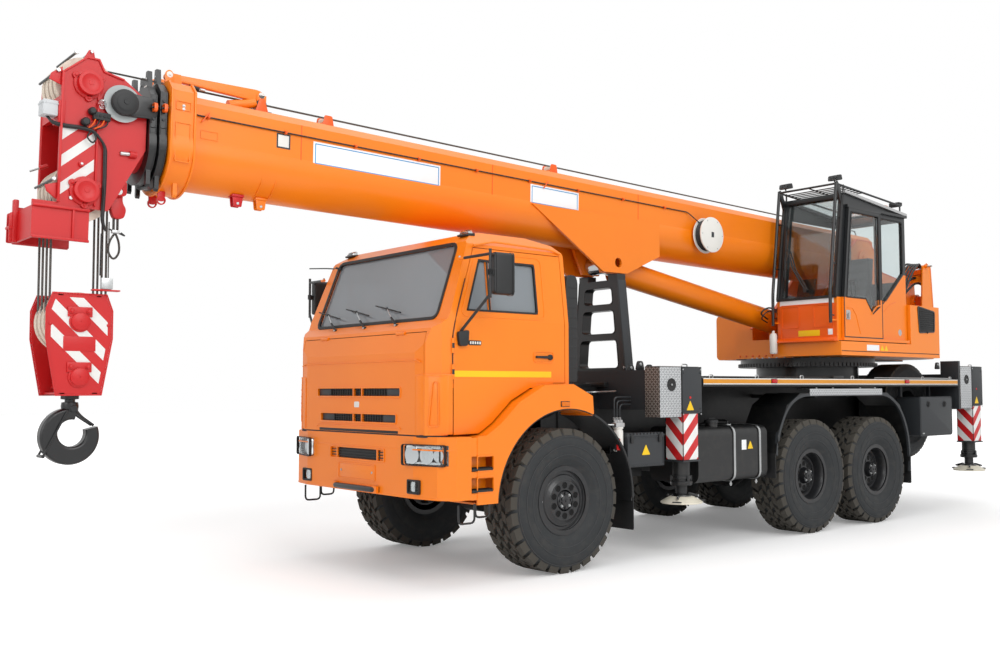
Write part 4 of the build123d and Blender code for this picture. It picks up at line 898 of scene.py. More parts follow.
def arc(centre: Flat, radius: float, start: float, end: float, steps: int = 12) -> list[Flat]:
    """Gives points on a circle.

    Args:
        centre: its middle.
        radius: its radius.
        start: its first angle, in degrees.
        end: its last angle, in degrees.
        steps: how many sides it has.

    Returns:
        The points.
    """
    turns = [math.radians(start + (end - start) * k / steps) for k in range(steps + 1)]
    return [(centre[0] + radius * math.cos(t), centre[1] + radius * math.sin(t)) for t in turns]


def rectangle(first: Span, second: Span) -> list[Flat]:
    """Gives a rectangle's corners, in order."""
    return [
        (first[0], second[0]), (first[1], second[0]), (first[1], second[1]), (first[0], second[1])]


def slab(first: Span, second: Span, radius: float, steps: int = 4) -> list[Flat]:
    """Gives a rectangle with rounded corners, as rounded does."""
    return rounded(rectangle(first, second), radius, steps)


def ordered(first: float, second: float) -> Span:
    """Gives a span with its lower end first."""
    return min(first, second), max(first, second)


def flip(sign: int) -> Matrix:
    """Gives what turns a form of the left side into one of the side with this sign."""
    return Matrix.Scale(sign, 4, (0, 1, 0))


def falls() -> list[float]:
    """Gives where the rope's falls, and the sheaves for them, are across the machine."""
    return [(k - (FALLS - 1) / 2) * FALL_PITCH for k in range(FALLS)]


def round_places(centre: Flat, radius: float, count: int, start: float = 0.0) -> list[Flat]:
    """Gives places evenly round a circle.

    Args:
        centre: its middle.
        radius: its radius.
        count: how many places it has.
        start: the first one's angle, in radians.

    Returns:
        The places, in order.
    """
    turns = [start + 2 * math.pi * k / count for k in range(count)]
    return [(centre[0] + radius * math.cos(t), centre[1] + radius * math.sin(t)) for t in turns]


def sheave_rim(middle: float, lip: float, edge: float) -> list[Flat]:
    """Gives the profile of a rope sheave's faces and groove.

    Args:
        middle: where the sheave is along its axle.
        lip: the radius of its outer face.
        edge: the radius of its rim.

    Returns:
        Radius and place along the axle, in order.
    """
    half = [(60, -26.6), (150, -24), (150, -26.6), (lip, -26.8), (edge, -20), (183, -6.5)]
    return [(r, middle + y) for r, y in half] + [(r, middle - y) for r, y in reversed(half)]


def between(outline: Sequence[Flat], way: Flat, low: float, high: float) -> list[Flat]:
    """Cuts a band out of a convex outline.

    Args:
        outline: the outline's corners in order.
        way: the direction across the band.
        low: where the band starts along it.
        high: where the band ends along it.

    Returns:
        The band's corners, or none where it misses the outline.
    """
    kept = [Vector(p) for p in outline]
    across = Vector(way)
    for sign, limit in ((1.0, low), (-1.0, -high)):
        cut: list[Vector] = []
        for i, here in enumerate(kept):
            back = kept[i - 1]
            inside, before = sign * across.dot(here) - limit, sign * across.dot(back) - limit
            if (inside >= 0) != (before >= 0):
                cut.append(back.lerp(here, before / (before - inside)))
            if inside >= 0:
                cut.append(here)
        kept = cut
    return [(p.x, p.y) for p in kept]


def dress_node(node: str, finish: Finish) -> None:
    """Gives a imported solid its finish.

    Args:
        node: the solid's name.
        finish: the finish for its whole surface.
    """
    solid = frame["nodes"][node]
    solid.data.materials.clear()
    solid.data.materials.append(finish.material())


# ---- road wheels --------------------------------------------------------------------------------
@dataclass
class RoadWheels:
    """Six tyres and the spare, all from one tread, and what is on the wheels' discs."""

    crown: float = 596
    outer: float = 620
    pitches: int = 28
    wheel_y: float = 1025
    stations: tuple[tuple[str, float], ...] = (("front", 0.0), ("mid", -3690.0), ("last", -5010.0))
    hole_circle: float = 131
    stud_circle: float = 62
    spare: Point = (-6365, 690, 1290)
    spare_scale: float = 600 / 620

    def build(self) -> None:
        """Makes one tyre, copies it to each wheel and dresses the discs."""
        tyre = self.tyre(
            "tyre_tread_front_left", "wheel_front_left", (0, self.wheel_y, AXLE_HEIGHT),
            "tyre_front_left")
        for axle, station in self.stations:
            for side, sign in SIDES:
                place = Vector((station, sign * self.wheel_y, AXLE_HEIGHT))
                if (axle, side) != ("front", "left"):
                    wheel = f"{axle}_{side}"
                    self.copy(
                        tyre, f"tyre_tread_{wheel}", f"wheel_{wheel}", place, 1.0, f"tyre_{wheel}")
                self.disc(axle, side, station, sign)
        self.copy(tyre, "tyre_tread_spare", "chassis", Vector(self.spare), self.spare_scale)

    def copy(
            self, tyre: bpy.types.Object, name: str, body: str, place: Vector, scale: float,
            *replaced: str) -> None:
        """Puts the same tyre on another wheel.

        Args:
            tyre: the first tyre.
            name: the new piece's name.
            body: the wheel that carries it.
            place: its middle, in millimetres.
            scale: its size against the first.
            replaced: the solid that it stands for.
        """
        made = bpy.data.objects.new(name, tyre.data)
        bpy.context.scene.collection.objects.link(made)
        made.matrix_world = Matrix.Translation(MM @ place) @ Matrix.Scale(scale, 4)
        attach(made, body)
        if replaced:
            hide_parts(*replaced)
        log.info("%s: copy on %s", name, body)

    def tyre(self, name: str, body: str, centre: Point, node: str) -> bpy.types.Object:
        """Makes a radial tyre: a turned carcass with a block tread that runs down its shoulders.

        Args:
            name: the piece's name.
            body: the wheel that carries it.
            centre: its middle, in millimetres.
            node: the solid that it stands for.

        Returns:
            The tyre, about its own middle.
        """
        piece = Piece(name, body, Matrix.Scale(0.001, 4))
        half = [
            (270, 149), (292, 154), (318, 168), (352, 190), (364, 195), (376, 196), (392, 203),
            (455, 213), (462, 211), (470, 214), (520, 211), (548, 203), (572, 188), (590, 172),
            (self.crown, 150)]
        whole = half + [(r, -w) for r, w in reversed(half)]
        piece.lathe(TYRE, whole + whole[:1], (0, 0, 0), Axis.Y, 84)
        for turn in range(self.pitches):
            for sign in (1, -1):
                along = 360 / self.pitches * (turn + (0.5 if sign < 0 else 0.0))
                self.block(piece, along, sign, (104, 178, 204), 5.1, 2.0, 62)
                self.block(piece, along + 3.0, sign, (54, 98, 98), 4.0, -1.6, 0)
                self.block(piece, along - 2.2, sign, (6, 48, 48), 4.0, 1.6, 0)
        made = piece.done(node)
        made.parent = None
        made.matrix_world = Matrix.Translation(MM @ Vector(centre))
        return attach(made, body)

    def block(
            self, piece: Piece, middle: float, sign: int, across: tuple[float, float, float],
            half: float, slant: float, drop: float) -> None:
        """Adds one tread block, wrapped round the crown.

        Args:
            piece: the tyre.
            middle: the block's place round the tyre, in degrees.
            sign: 1 for the outer half and -1 for the inner.
            across: its inner edge, its outer edge on top and its outer edge at its foot.
            half: half its length round the tyre, in degrees.
            slant: how far its outer end is turned on, in degrees.
            drop: how far its outer foot reaches down the shoulder.
        """
        part = bmesh.new()
        inner, edge, foot = across
        rows = (
            (inner, self.crown - 6, inner, self.outer, -slant),
            (foot, self.crown - 6 - drop, edge, self.outer, slant))
        ends = []
        for low_y, low_r, high_y, high_r, shift in rows:
            corners = []
            for angle, grow in ((-half, 0.35), (half, -0.35)):
                for y, r, g in ((low_y, low_r, grow * -1), (high_y, high_r, grow)):
                    turn = math.radians(middle + angle + g + shift)
                    corners.append(
                        part.verts.new((r * math.cos(turn), sign * y, r * math.sin(turn))))
            ends.append(corners)
        (a, b, c, d), (e, f, g, h) = ends
        for corners in (
                (a, b, d, c), (e, g, h, f), (b, f, h, d), (a, e, f, b), (c, d, h, g), (a, c, g, e)):
            part.faces.new(corners)
        bmesh.ops.recalc_face_normals(part, faces=part.faces)
        # The blocks take the paler tread colour: road dust and a painted highlight.
        piece.take(part, TREAD_DUST_AND_HIGHLIGHT, 0.0)

    def disc(self, axle: str, side: str, station: float, sign: int) -> None:
        """Adds the dish with its holes, the hub's cap and studs, the valve stem and wall rings.

        Args:
            axle: front, mid or last.
            side: left or right.
            station: where the wheel is along the machine.
            sign: 1 on the left and -1 on the right.
        """
        piece = Piece(f"wheel_dish_{axle}_{side}", f"wheel_{axle}_{side}")
        front = axle == "front"
        face = 166 if front else 66
        out = sign * self.wheel_y
        dish = [(297, 148), (296, 157), (284, 161), (276, 158), (270, 150), (258, 146), (252, 137)]
        dish += [(226, 138), (218, 146), (204, 147), (196, 154), (182, 158)] if front else [
            (240, 96), (230, 44), (214, 38), (198, 40), (188, 52), (180, 60)]
        dish += [(172, face), (92, face)]
        centre = (station, out, AXLE_HEIGHT)
        sheet = dish + [(r, y - 3) for r, y in reversed(dish)]
        piece.lathe(WHEEL_BLACK, [(r, sign * y) for r, y in sheet + sheet[:1]], centre, Axis.Y, 64)
        for x, z in round_places((station, AXLE_HEIGHT), self.hole_circle, 10, math.pi / 10):
            cup = [
                (30, face - 1), (30, face + 3), (28, face + 3.5), (26, face + 0.8), (26, face - 1),
                (30, face - 1)]
            piece.lathe(WHEEL_BLACK, [(r, sign * y) for r, y in cup], (x, out, z), Axis.Y, 16)
            # A matt black sheet closes each hole: painted shade for its unlit depth.
            hole_shade_place = (x, sign * (self.wheel_y + face + 0.4), z)
            piece.disc(HOLE_SHADE, hole_shade_place, 27, sign * 0.8, Axis.Y, 16)
        hub_y = self.wheel_y + (172 if front else 120)
        ring = round_places((station, AXLE_HEIGHT), self.stud_circle, 8)
        studs = [(x, sign * hub_y, z) for x, z in ring]
        piece.bolts(WHEEL_BLACK, studs[::2], 10, sign * 12)
        piece.bolts(ZINC, studs[1::2], 9, sign * 14)
        cap = [(46, 0), (46, 9), (38, 14), (14, 16), (12, 22), (0, 22)]
        piece.lathe(
            WHEEL_BLACK, [(r, sign * y) for r, y in cap], (station, sign * hub_y, AXLE_HEIGHT),
            Axis.Y, 24)
        stem = ((236, 120, AXLE_HEIGHT), (252, 156, AXLE_HEIGHT + 6))
        piece.pipe(ZINC, [(station + x, sign * (self.wheel_y + y), z) for x, y, z in stem], 5)
        # The wall rings are painted paler than the wall: a painted highlight on their edges.
        for radius, out_y in ((392, 204), (470, 215), (548, 204)):
            wall = self.wheel_y + out_y
            piece.strip(
                SIDEWALL_RIB_HIGHLIGHT, Face.SIDE, arc((station, AXLE_HEIGHT), radius, 0, 360, 72)[:-1], -5,
                ordered(sign * (wall - 4), sign * (wall + 2)), bevel=1)
        piece.done()


# ---- driver's cab -------------------------------------------------------------------------------
@dataclass
class DriverCab:
    """The forward cab's seals, wipers, grille, deflectors, mirrors, handles and lamps."""

    screen_foot: Flat = (1200, 2150)
    screen_lean: float = 20.27
    screen: tuple[Flat, ...] = ((-950, 24), (-925, 667), (925, 667), (950, 24))
    window: tuple[Flat, ...] = ((249, 2217), (249, 2655), (862, 2655), (1022, 2217))
    slots: tuple[tuple[float, float], ...] = ((1560, 670), (1340, 610))

    def build(self) -> None:
        """Makes every piece of the cab."""
        self.screen_place = (
            Matrix.Translation((self.screen_foot[0], 0, self.screen_foot[1]))
            @ Matrix.Rotation(-math.radians(self.screen_lean), 4, "Y"))
        self.seals()
        backing = Piece("door_gap_backing", "chassis")
        backing.prism(
            SEAL, Face.SIDE, [(1090, 1215), (1190, 1215), (1190, 1640), (1090, 1640)], (1050, 1056),
            1, True)
        backing.done()
        for number, y in enumerate((-560, -60, 440)):
            self.wiper(number, y)
        self.grille()
        self.corners()
        self.roof()
        self.back()
        for side, sign in SIDES:
            self.door(side, sign)

    def seals(self) -> None:
        """Seals the windscreen and the rear window, and lays the gutter over the doors."""
        piece = Piece("windscreen_seal", "chassis")
        piece.strip(
            SEAL, Face.FRONT, rounded(self.screen, 60), 30, (-14, 7), place=self.screen_place)
        piece.strip(SEAL, Face.FRONT, slab((-560, 560), (2260, 2620), 60), 26, (-106, -92))
        piece.done()
        gutter = Piece("cab_gutter", "chassis")
        gutter.pipe(
            ORANGE, [(930, 1108, 2760), (700, 1078, 2812), (60, 1078, 2800), (-60, 1080, 2770)], 9,
            60, 8, True)
        gutter.pipe(
            SEAL, [(1165, 1140, 1640), (1165, 1141, 2010), (1136, 1140, 2160), (1020, 1112, 2480)],
            4, 60, 6, True)
        gutter.done()

    def wiper(self, number: int, y: float) -> None:
        """Parks a wiper low on the glass.

        Args:
            number: which wiper.
            y: where its spindle is across the cab.
        """
        piece = Piece(f"wiper_{number}", "chassis")
        foot = self.screen_place.inverted() @ Vector((1236, y, 2122))
        middle = Vector((30, y - 225, 128))
        blade = [Vector((22, y - 440, 172)), Vector((22, y - 10, 84))]
        at = self.screen_place
        piece.disc(PLASTIC, tuple(at @ foot - Vector((14, 0, 8))), 21, 26, Axis.X, 16, 4)
        piece.disc(ZINC, tuple(at @ foot + Vector((12, 0, 0))), 10, 9, Axis.X, 6, 2)
        elbow = foot.lerp(middle, 0.42) + Vector((14, 0, 0))
        piece.pipe(PLASTIC, [tuple(at @ p) for p in (foot + Vector((8, 0, 0)), elbow)], 10, 0, 8)
        piece.pipe(ZINC, [tuple(at @ p) for p in (elbow, middle)], 5, 0, 8)
        piece.pipe(PLASTIC, [tuple(at @ p) for p in blade], 6, 0, 6)
        piece.pipe(SEAL, [tuple(at @ (p - Vector((10, 0, 0)))) for p in blade], 4, 0, 4)
        span = blade[1] - blade[0]
        for start, end in ((0.12, 0.5), (0.5, 0.88)):
            bow = [
                blade[0] + span * start, blade[0] + span * (start + end) / 2 + Vector((12, 0, 0)),
                blade[0] + span * end]
            piece.pipe(PLASTIC, [tuple(at @ p) for p in bow], 5, 30, 6)
        piece.disc(PLASTIC, tuple(at @ middle - Vector((4, 0, 0))), 12, 14, Axis.X, 12)
        piece.done()

    def grille(self) -> None:
        """Fills the front panel's two slots and adds its creases and edge."""
        piece = Piece("front_grille", "front_panel")
        for z, half in self.slots:
            piece.block(PLASTIC, (1308, 1322), (-half, half), (z - 40, z + 40))
            for y in range(-int(half) + 40, int(half), 40):
                piece.block(SEAL, (1320, 1330), (y - 5, y + 5), (z - 33, z + 33), 1)
            for k in range(3):
                piece.block(
                    SEAL, (1320, 1333), (-half + 8, half - 8), (z - 22 + 20 * k, z - 16 + 20 * k),
                    1)
            for sign in (1, -1):
                piece.block(
                    GREY_PAINT, (1322, 1338), ordered(sign * (half - 6), sign * (half - 210)),
                    (z - 33, z + 30), 4)
            piece.strip(
                ORANGE, Face.FRONT, slab((-half - 12, half + 12), (z - 46, z + 44), 26), 13,
                (1343, 1356))
            piece.block(ORANGE, (1335, 1362), (-half, half), (z - 48, z - 35), 4)
        crease = [
            (-960, 1806), (-900, 1822), (900, 1822), (960, 1806), (960, 1796), (900, 1812),
            (-900, 1812), (-960, 1796)]
        piece.prism(ORANGE, Face.FRONT, crease, (1346, 1358), 3)
        piece.block(SEAL, (1292, 1300), (-965, 965), (2036, 2042), 1)
        piece.block(SEAL, (1334, 1352), (-640, 640), (1217, 1240), 3)
        piece.strip(
            ORANGE, Face.FRONT, [(-680, 1250), (-664, 1262), (664, 1262), (680, 1250)], 9,
            (1344, 1356), False, 3)
        piece.done()
        blank = Piece("blank_badge", "front_panel")
        blank.prism(WHITE_TAPE, Face.FRONT, slab((-40, 40), (1428, 1478), 14), (1349, 1354), 1)
        blank.done()

    def corners(self) -> None:
        """Adds the corner deflectors with their tall recess, and the vents of the far side."""
        outer = [
            (1353, 900), (1336, 1006), (1258, 1119), (1215, 1150), (1170, 1151), (1170, 1143),
            (1212, 1142), (1250, 1108), (1328, 998), (1346, 900)]
        piece = Piece("corner_deflectors", "chassis")
        piece.prism(ORANGE, Face.PLAN, outer, (1222, 1690), 3, True)
        piece.strip(
            ORANGE, Face.PLAN, [(1350, 890), (1338, 1010), (1260, 1124), (1170, 1158)], 12,
            (1686, 1700), False, 2, True)
        for sign in (1, -1):
            turn = flip(sign) @ Matrix.Translation((1297, 1062, 0)) @ Matrix.Rotation(
                math.radians(34.6), 4, "Z")
            piece.strip(
                ORANGE, Face.FRONT, rounded([(-36, 1290), (46, 1290), (40, 1640), (0, 1640)], 20),
                -8, (0, 9), place=turn)
            piece.prism(
                PLASTIC if sign < 0 else ORANGE, Face.FRONT,
                rounded([(-30, 1296), (40, 1296), (34, 1634), (4, 1634)], 16), (0.5, 2.5), 0.5,
                place=turn)
            if sign < 0:
                for z in range(1330, 1620, 62):
                    piece.block(ORANGE, (0, 11), (-30, 38), (z - 6, z + 6), 2, place=turn)
        piece.done()
        skirt = Piece("nose_skirt", "chassis")
        nose = [
            (1206, 1120), (1262, 1104), (1338, 990), (1345, 870), (1345, -870), (1338, -990),
            (1262, -1104), (1206, -1120)]
        skirt.strip(SEAL, Face.PLAN, nose, -20, (1196, 1217), False, 3)
        skirt.done()

    def roof(self) -> None:
        """Adds the roof's marker lamps and the rod at the far pillar."""
        piece = Piece("roof_markers", "chassis")
        x, z = 850, 2876
        for y in (905, -905):
            piece.prism(
                PLASTIC, Face.SIDE,
                rounded([(x - 46, z - 12), (x - 46, z + 14), (x + 50, z + 2), (x + 50, z - 16)], 8),
                (y - 62, y + 62), 4)
            piece.prism(
                LENS, Face.SIDE,
                rounded([(x - 34, z + 8), (x - 20, z + 42), (x + 12, z + 40), (x + 40, z + 2)], 10),
                (y - 48, y + 48), 8)
        piece.done()
        rod = Piece("height_gauge_rod", "chassis")
        rod.pipe(PLASTIC, [(965, -940, 2745), (985, -1180, 2772), (985, -1510, 2800)], 6, 60, 8)
        rod.pipe(PLASTIC, [(970, -905, 2738), (1005, -960, 2756)], 10, 0, 8)
        rod.done()

    def back(self) -> None:
        """Stands the air intake and the pipes behind the cab."""
        piece = Piece("air_intake", "chassis")
        piece.prism(
            PLASTIC, Face.SIDE,
            rounded(
                [
                    (-150, 1640), (-150, 2560), (-190, 2600), (-270, 2600), (-296, 2540),
                    (-286, 1640)],
                30),
            (880, 1060), 22)
        for z in range(1760, 2500, 90):
            piece.strip(
                PLASTIC, Face.PLAN,
                rounded([(-148, 878), (-148, 1062), (-294, 1062), (-294, 878)], 26), 7, (z, z + 22))
        for k in range(9):
            piece.block(SEAL, (-300, -292), (900 + 17 * k, 909 + 17 * k), (2380, 2560), 1)
        piece.pipe(
            HOSE, [(-216, 970, 1660), (-216, 970, 1500), (-240, 700, 1380), (-240, 500, 1340)], 62,
            90, 16)
        wide = [
            (-180, 840, 1640), (-200, 800, 2240), (-180, 640, 2300), (-160, 500, 2240),
            (-160, 480, 1660)]
        narrow = [
            (-170, 760, 1640), (-196, 740, 1990), (-170, 560, 2040), (-150, 420, 1980),
            (-150, 400, 1660)]
        for hose, radius in ((wide, 12), (narrow, 9)):
            piece.pipe(HOSE, hose, radius, 80)
        piece.done()

    def door(self, side: str, sign: int) -> None:
        """Adds a door's window seal, mirror, handle, vent and stripe.

        Args:
            side: left or right.
            sign: 1 on the left and -1 on the right.
        """
        body = f"cab_door_{side}"
        turn = flip(sign)
        lean = Matrix.Translation((0, 1142, 2150)) @ Matrix.Rotation(math.atan2(75, 630), 4, "X")
        frame_line = rounded([(x, z - 2150) for x, z in self.window], 34)
        seal = Piece(f"door_seal_{side}", body)
        seal.strip(SEAL, Face.SIDE, frame_line, -16, (-16, 4), place=turn @ lean)
        seal.block(SEAL, (766, 784), (-16, 2), (67, 505), 2, place=turn @ lean)
        raised = rounded([(180, 30), (180, 560), (880, 560), (1075, 30)], 60)
        seal.strip(ORANGE, Face.SIDE, raised, 12, (-4, 4), place=turn @ lean)
        seal.done()
        handle = Piece(f"door_handle_{side}", body)
        handle.prism(
            ORANGE, Face.SIDE, slab((92, 300), (1818, 1888), 26), (1139, 1143.5), 1, place=turn)
        handle.strip(
            ORANGE, Face.SIDE, slab((86, 306), (1812, 1894), 28), -8, (1139, 1147), place=turn)
        handle.prism(
            PLASTIC, Face.SIDE, rounded([(140, 1840), (140, 1866), (290, 1862), (290, 1846)], 9),
            (1150, 1166), 5, place=turn)
        handle.block(PLASTIC, (270, 288), (1140, 1158), (1844, 1864), 3, place=turn)
        handle.lathe(
            PLASTIC, [(24, 1140), (24, 1160), (19, 1166), (12, 1166), (11, 1162), (0, 1162)],
            (126, 0, 1853), Axis.Y, 24, place=turn)
        handle.done()
        stripe = Piece(f"door_stripe_{side}", body)
        stripe.block(SIGN_YELLOW, (108, 1152), (1142, 1143.2), (1680, 1730), 0, place=turn)
        stripe.done()
        skirt = Piece(f"door_skirt_{side}", body)
        hem = [
            (1158, 1672), (1158, 1218), (906, 1223), (772, 1304), (563, 1487), (284, 1624),
            (90, 1630), (90, 1672)]
        skirt.prism(ORANGE, Face.SIDE, hem, (1140.5, 1144.5), 1, place=turn)
        skirt.done()
        mirror = Piece(f"mirror_{side}", body)
        mirror.prism(
            PLASTIC, Face.SIDE,
            rounded([(1150, 2060), (1160, 1930), (1245, 1925), (1262, 2042)], 24), (1136, 1176), 8,
            place=turn @ Matrix.Translation((-130, 0, 0)))
        mirror.prism(
            SEAL, Face.SIDE, slab((880, 1008), (1938, 1976), 12), (1141, 1149), 2, place=turn)
        for k in range(5):
            mirror.block(
                WHITE_TAPE, (888 + 24 * k, 902 + 24 * k), (1148, 1151), (1946, 1968), 1, place=turn)
        mirror.prism(
            PLASTIC, Face.FRONT, slab((1392, 1478), (2330, 2668), 34), (806, 984), 16, place=turn)
        mirror.prism(
            MIRROR, Face.FRONT, slab((1402, 1468), (2345, 2653), 26), (802, 806), 1, place=turn)
        mirror.strip(
            PLASTIC, Face.FRONT, slab((1390, 1480), (2328, 2670), 34), -3, (804, 818), place=turn)
        # Known fault: the right mirror's boss also stands at the left mirror's place.
        for y in (1440,) if sign > 0 else (1440, -1440):
            mirror.disc(PLASTIC, (1020, y, 2484), 20, 44, Axis.Z, 16, 3)
        mirror.bolts(ZINC, [(1060, sign * 1090, 2655), (1108, sign * 1142, 2010)], 8, sign * 8)
        mirror.done()


# ---- bumper and steps ---------------------------------------------------------------------------
@dataclass
class Bumper:
    """The bumper's slot, blank plate, lamps, tow bar and steps."""

    def build(self) -> None:
        """Makes every piece of the bumper."""
        self.centre()
        self.lamps()
        self.steps()

    def centre(self) -> None:
        """Adds the intake slot, the blank plate and the tow bar."""
        piece = Piece("bumper_centre", "chassis")
        piece.block(SEAL, (1325, 1333), (-440, 440), (975, 1085))
        for z in (1006, 1030, 1054):
            piece.block(PLASTIC, (1332, 1344), (-428, 428), (z - 4, z + 4), 2)
        for sign in (1, -1):
            piece.block(ORANGE, (1330, 1352), ordered(sign * 318, sign * 336), (984, 1076), 2)
        piece.strip(ORANGE, Face.FRONT, slab((-444, 444), (972, 1088), 22), 12, (1346, 1357))
        piece.strip(ORANGE, Face.FRONT, slab((-300, 300), (806, 948), 16), 10, (1348, 1356))
        piece.block(ORANGE, (1349, 1352), (-288, 288), (818, 936), 1)
        piece.bolts(ZINC, [(1352, -250, 878), (1352, 250, 878)], 8, 7, Axis.X)
        piece.pipe(
            FRAME_BLACK, [(1300, -330, 742), (1376, -330, 742), (1376, 330, 742), (1300, 330, 742)],
            24, 40, 14)
        for y in (-330, 330):
            piece.block(FRAME_BLACK, (1290, 1364), (y - 34, y + 34), (712, 772), 6)
        edge = [(1204, 1252), (1302, 1122), (1352, 862), (1352, -862), (1302, -1122), (1204, -1252)]
        for width, tall in ((-9, (1092, 1104)), (-7, (706, 722))):
            piece.strip(ORANGE, Face.PLAN, edge, width, tall, False, 3)
        piece.done()

    def lamps(self) -> None:
        """Sets headlamps behind clear lenses, and fog lamps in dark frames."""
        piece = Piece("headlamp_units", "chassis")
        lean = Matrix.Translation((1330, 970, 1056)) @ Matrix.Rotation(math.radians(14), 4, "Z")
        for sign in (1, -1):
            turn = flip(sign) @ lean
            piece.strip(
                SEAL, Face.FRONT, slab((-222, 222), (-80, 80), 18), -6, (-14, 12), place=turn)
            piece.block(ZINC, (-60, -50), (-222, 222), (-80, 80), 1, place=turn)
            piece.strip(
                MIRROR, Face.FRONT, slab((-216, 216), (-75, 75), 16), 22, (-48, -18), place=turn)
            for y, radius in ((-128, 66), (30, 66), (152, 44)):
                bowl = [
                    (radius * 0.28, -46), (radius * 0.7, -38), (radius, -16), (radius + 7, -14),
                    (radius + 7, -8)]
                piece.lathe(MIRROR, bowl, (0, y, 0), Axis.X, 28, place=turn)
                piece.lathe(
                    LENS, [(0, -20), (radius * 0.2, -22), (radius * 0.24, -44)], (0, y, 0), Axis.X,
                    16, place=turn)
            piece.block(AMBER, (-40, -14), (186, 216), (-64, 64), 4, place=turn)
        for sign in (1, -1):
            y = sign * 860
            piece.strip(SEAL, Face.FRONT, slab((y - 84, y + 84), (742, 858), 16), 16, (1330, 1356))
            piece.lathe(
                MIRROR, [(12, 1306), (34, 1312), (46, 1332), (50, 1334)], (0, y, 800), Axis.X, 28)
            piece.block(SEAL, (1300, 1306), (y - 70, y + 70), (750, 850), 1)
        piece.done()

    def steps(self) -> None:
        """Adds the serrated treads in the fender's step box and the wire steps under it."""
        piece = Piece("cab_steps", "chassis")
        for z in (762, 932):
            piece.block(PLASTIC, (846, 1056), (1162, 1256), (z - 2, z + 14), 3, True)
            for k in range(13):
                x = 850 + 16 * k
                piece.prism(
                    PLASTIC, Face.SIDE, [(x, z + 12), (x + 5, z + 26), (x + 10, z + 12)],
                    (1190, 1256), 0, True)
            piece.strip(
                ORANGE, Face.SIDE,
                rounded([(838, z + 114), (838, z), (998, z), (998, z + 114)], 18), -10,
                (1244, 1256), bevel=4, mirror=True)
            piece.block(ORANGE, (846, 1058), (1150, 1160), (z, z + 108), 1, True)
        for low, high in ((700, 756), (876, 926), (1046, 1196)):
            piece.block(ORANGE, (994, 1062), (1226, 1246), (low, high), 4, True)
        for x0, x1, low in ((1010, 1170, 520), (860, 1000, 560)):
            piece.pipe(
                FRAME_BLACK, [(x0, 1222, 668), (x0, 1222, low), (x1, 1222, low), (x1, 1222, 668)],
                9, 40, 8, True)
        piece.done()


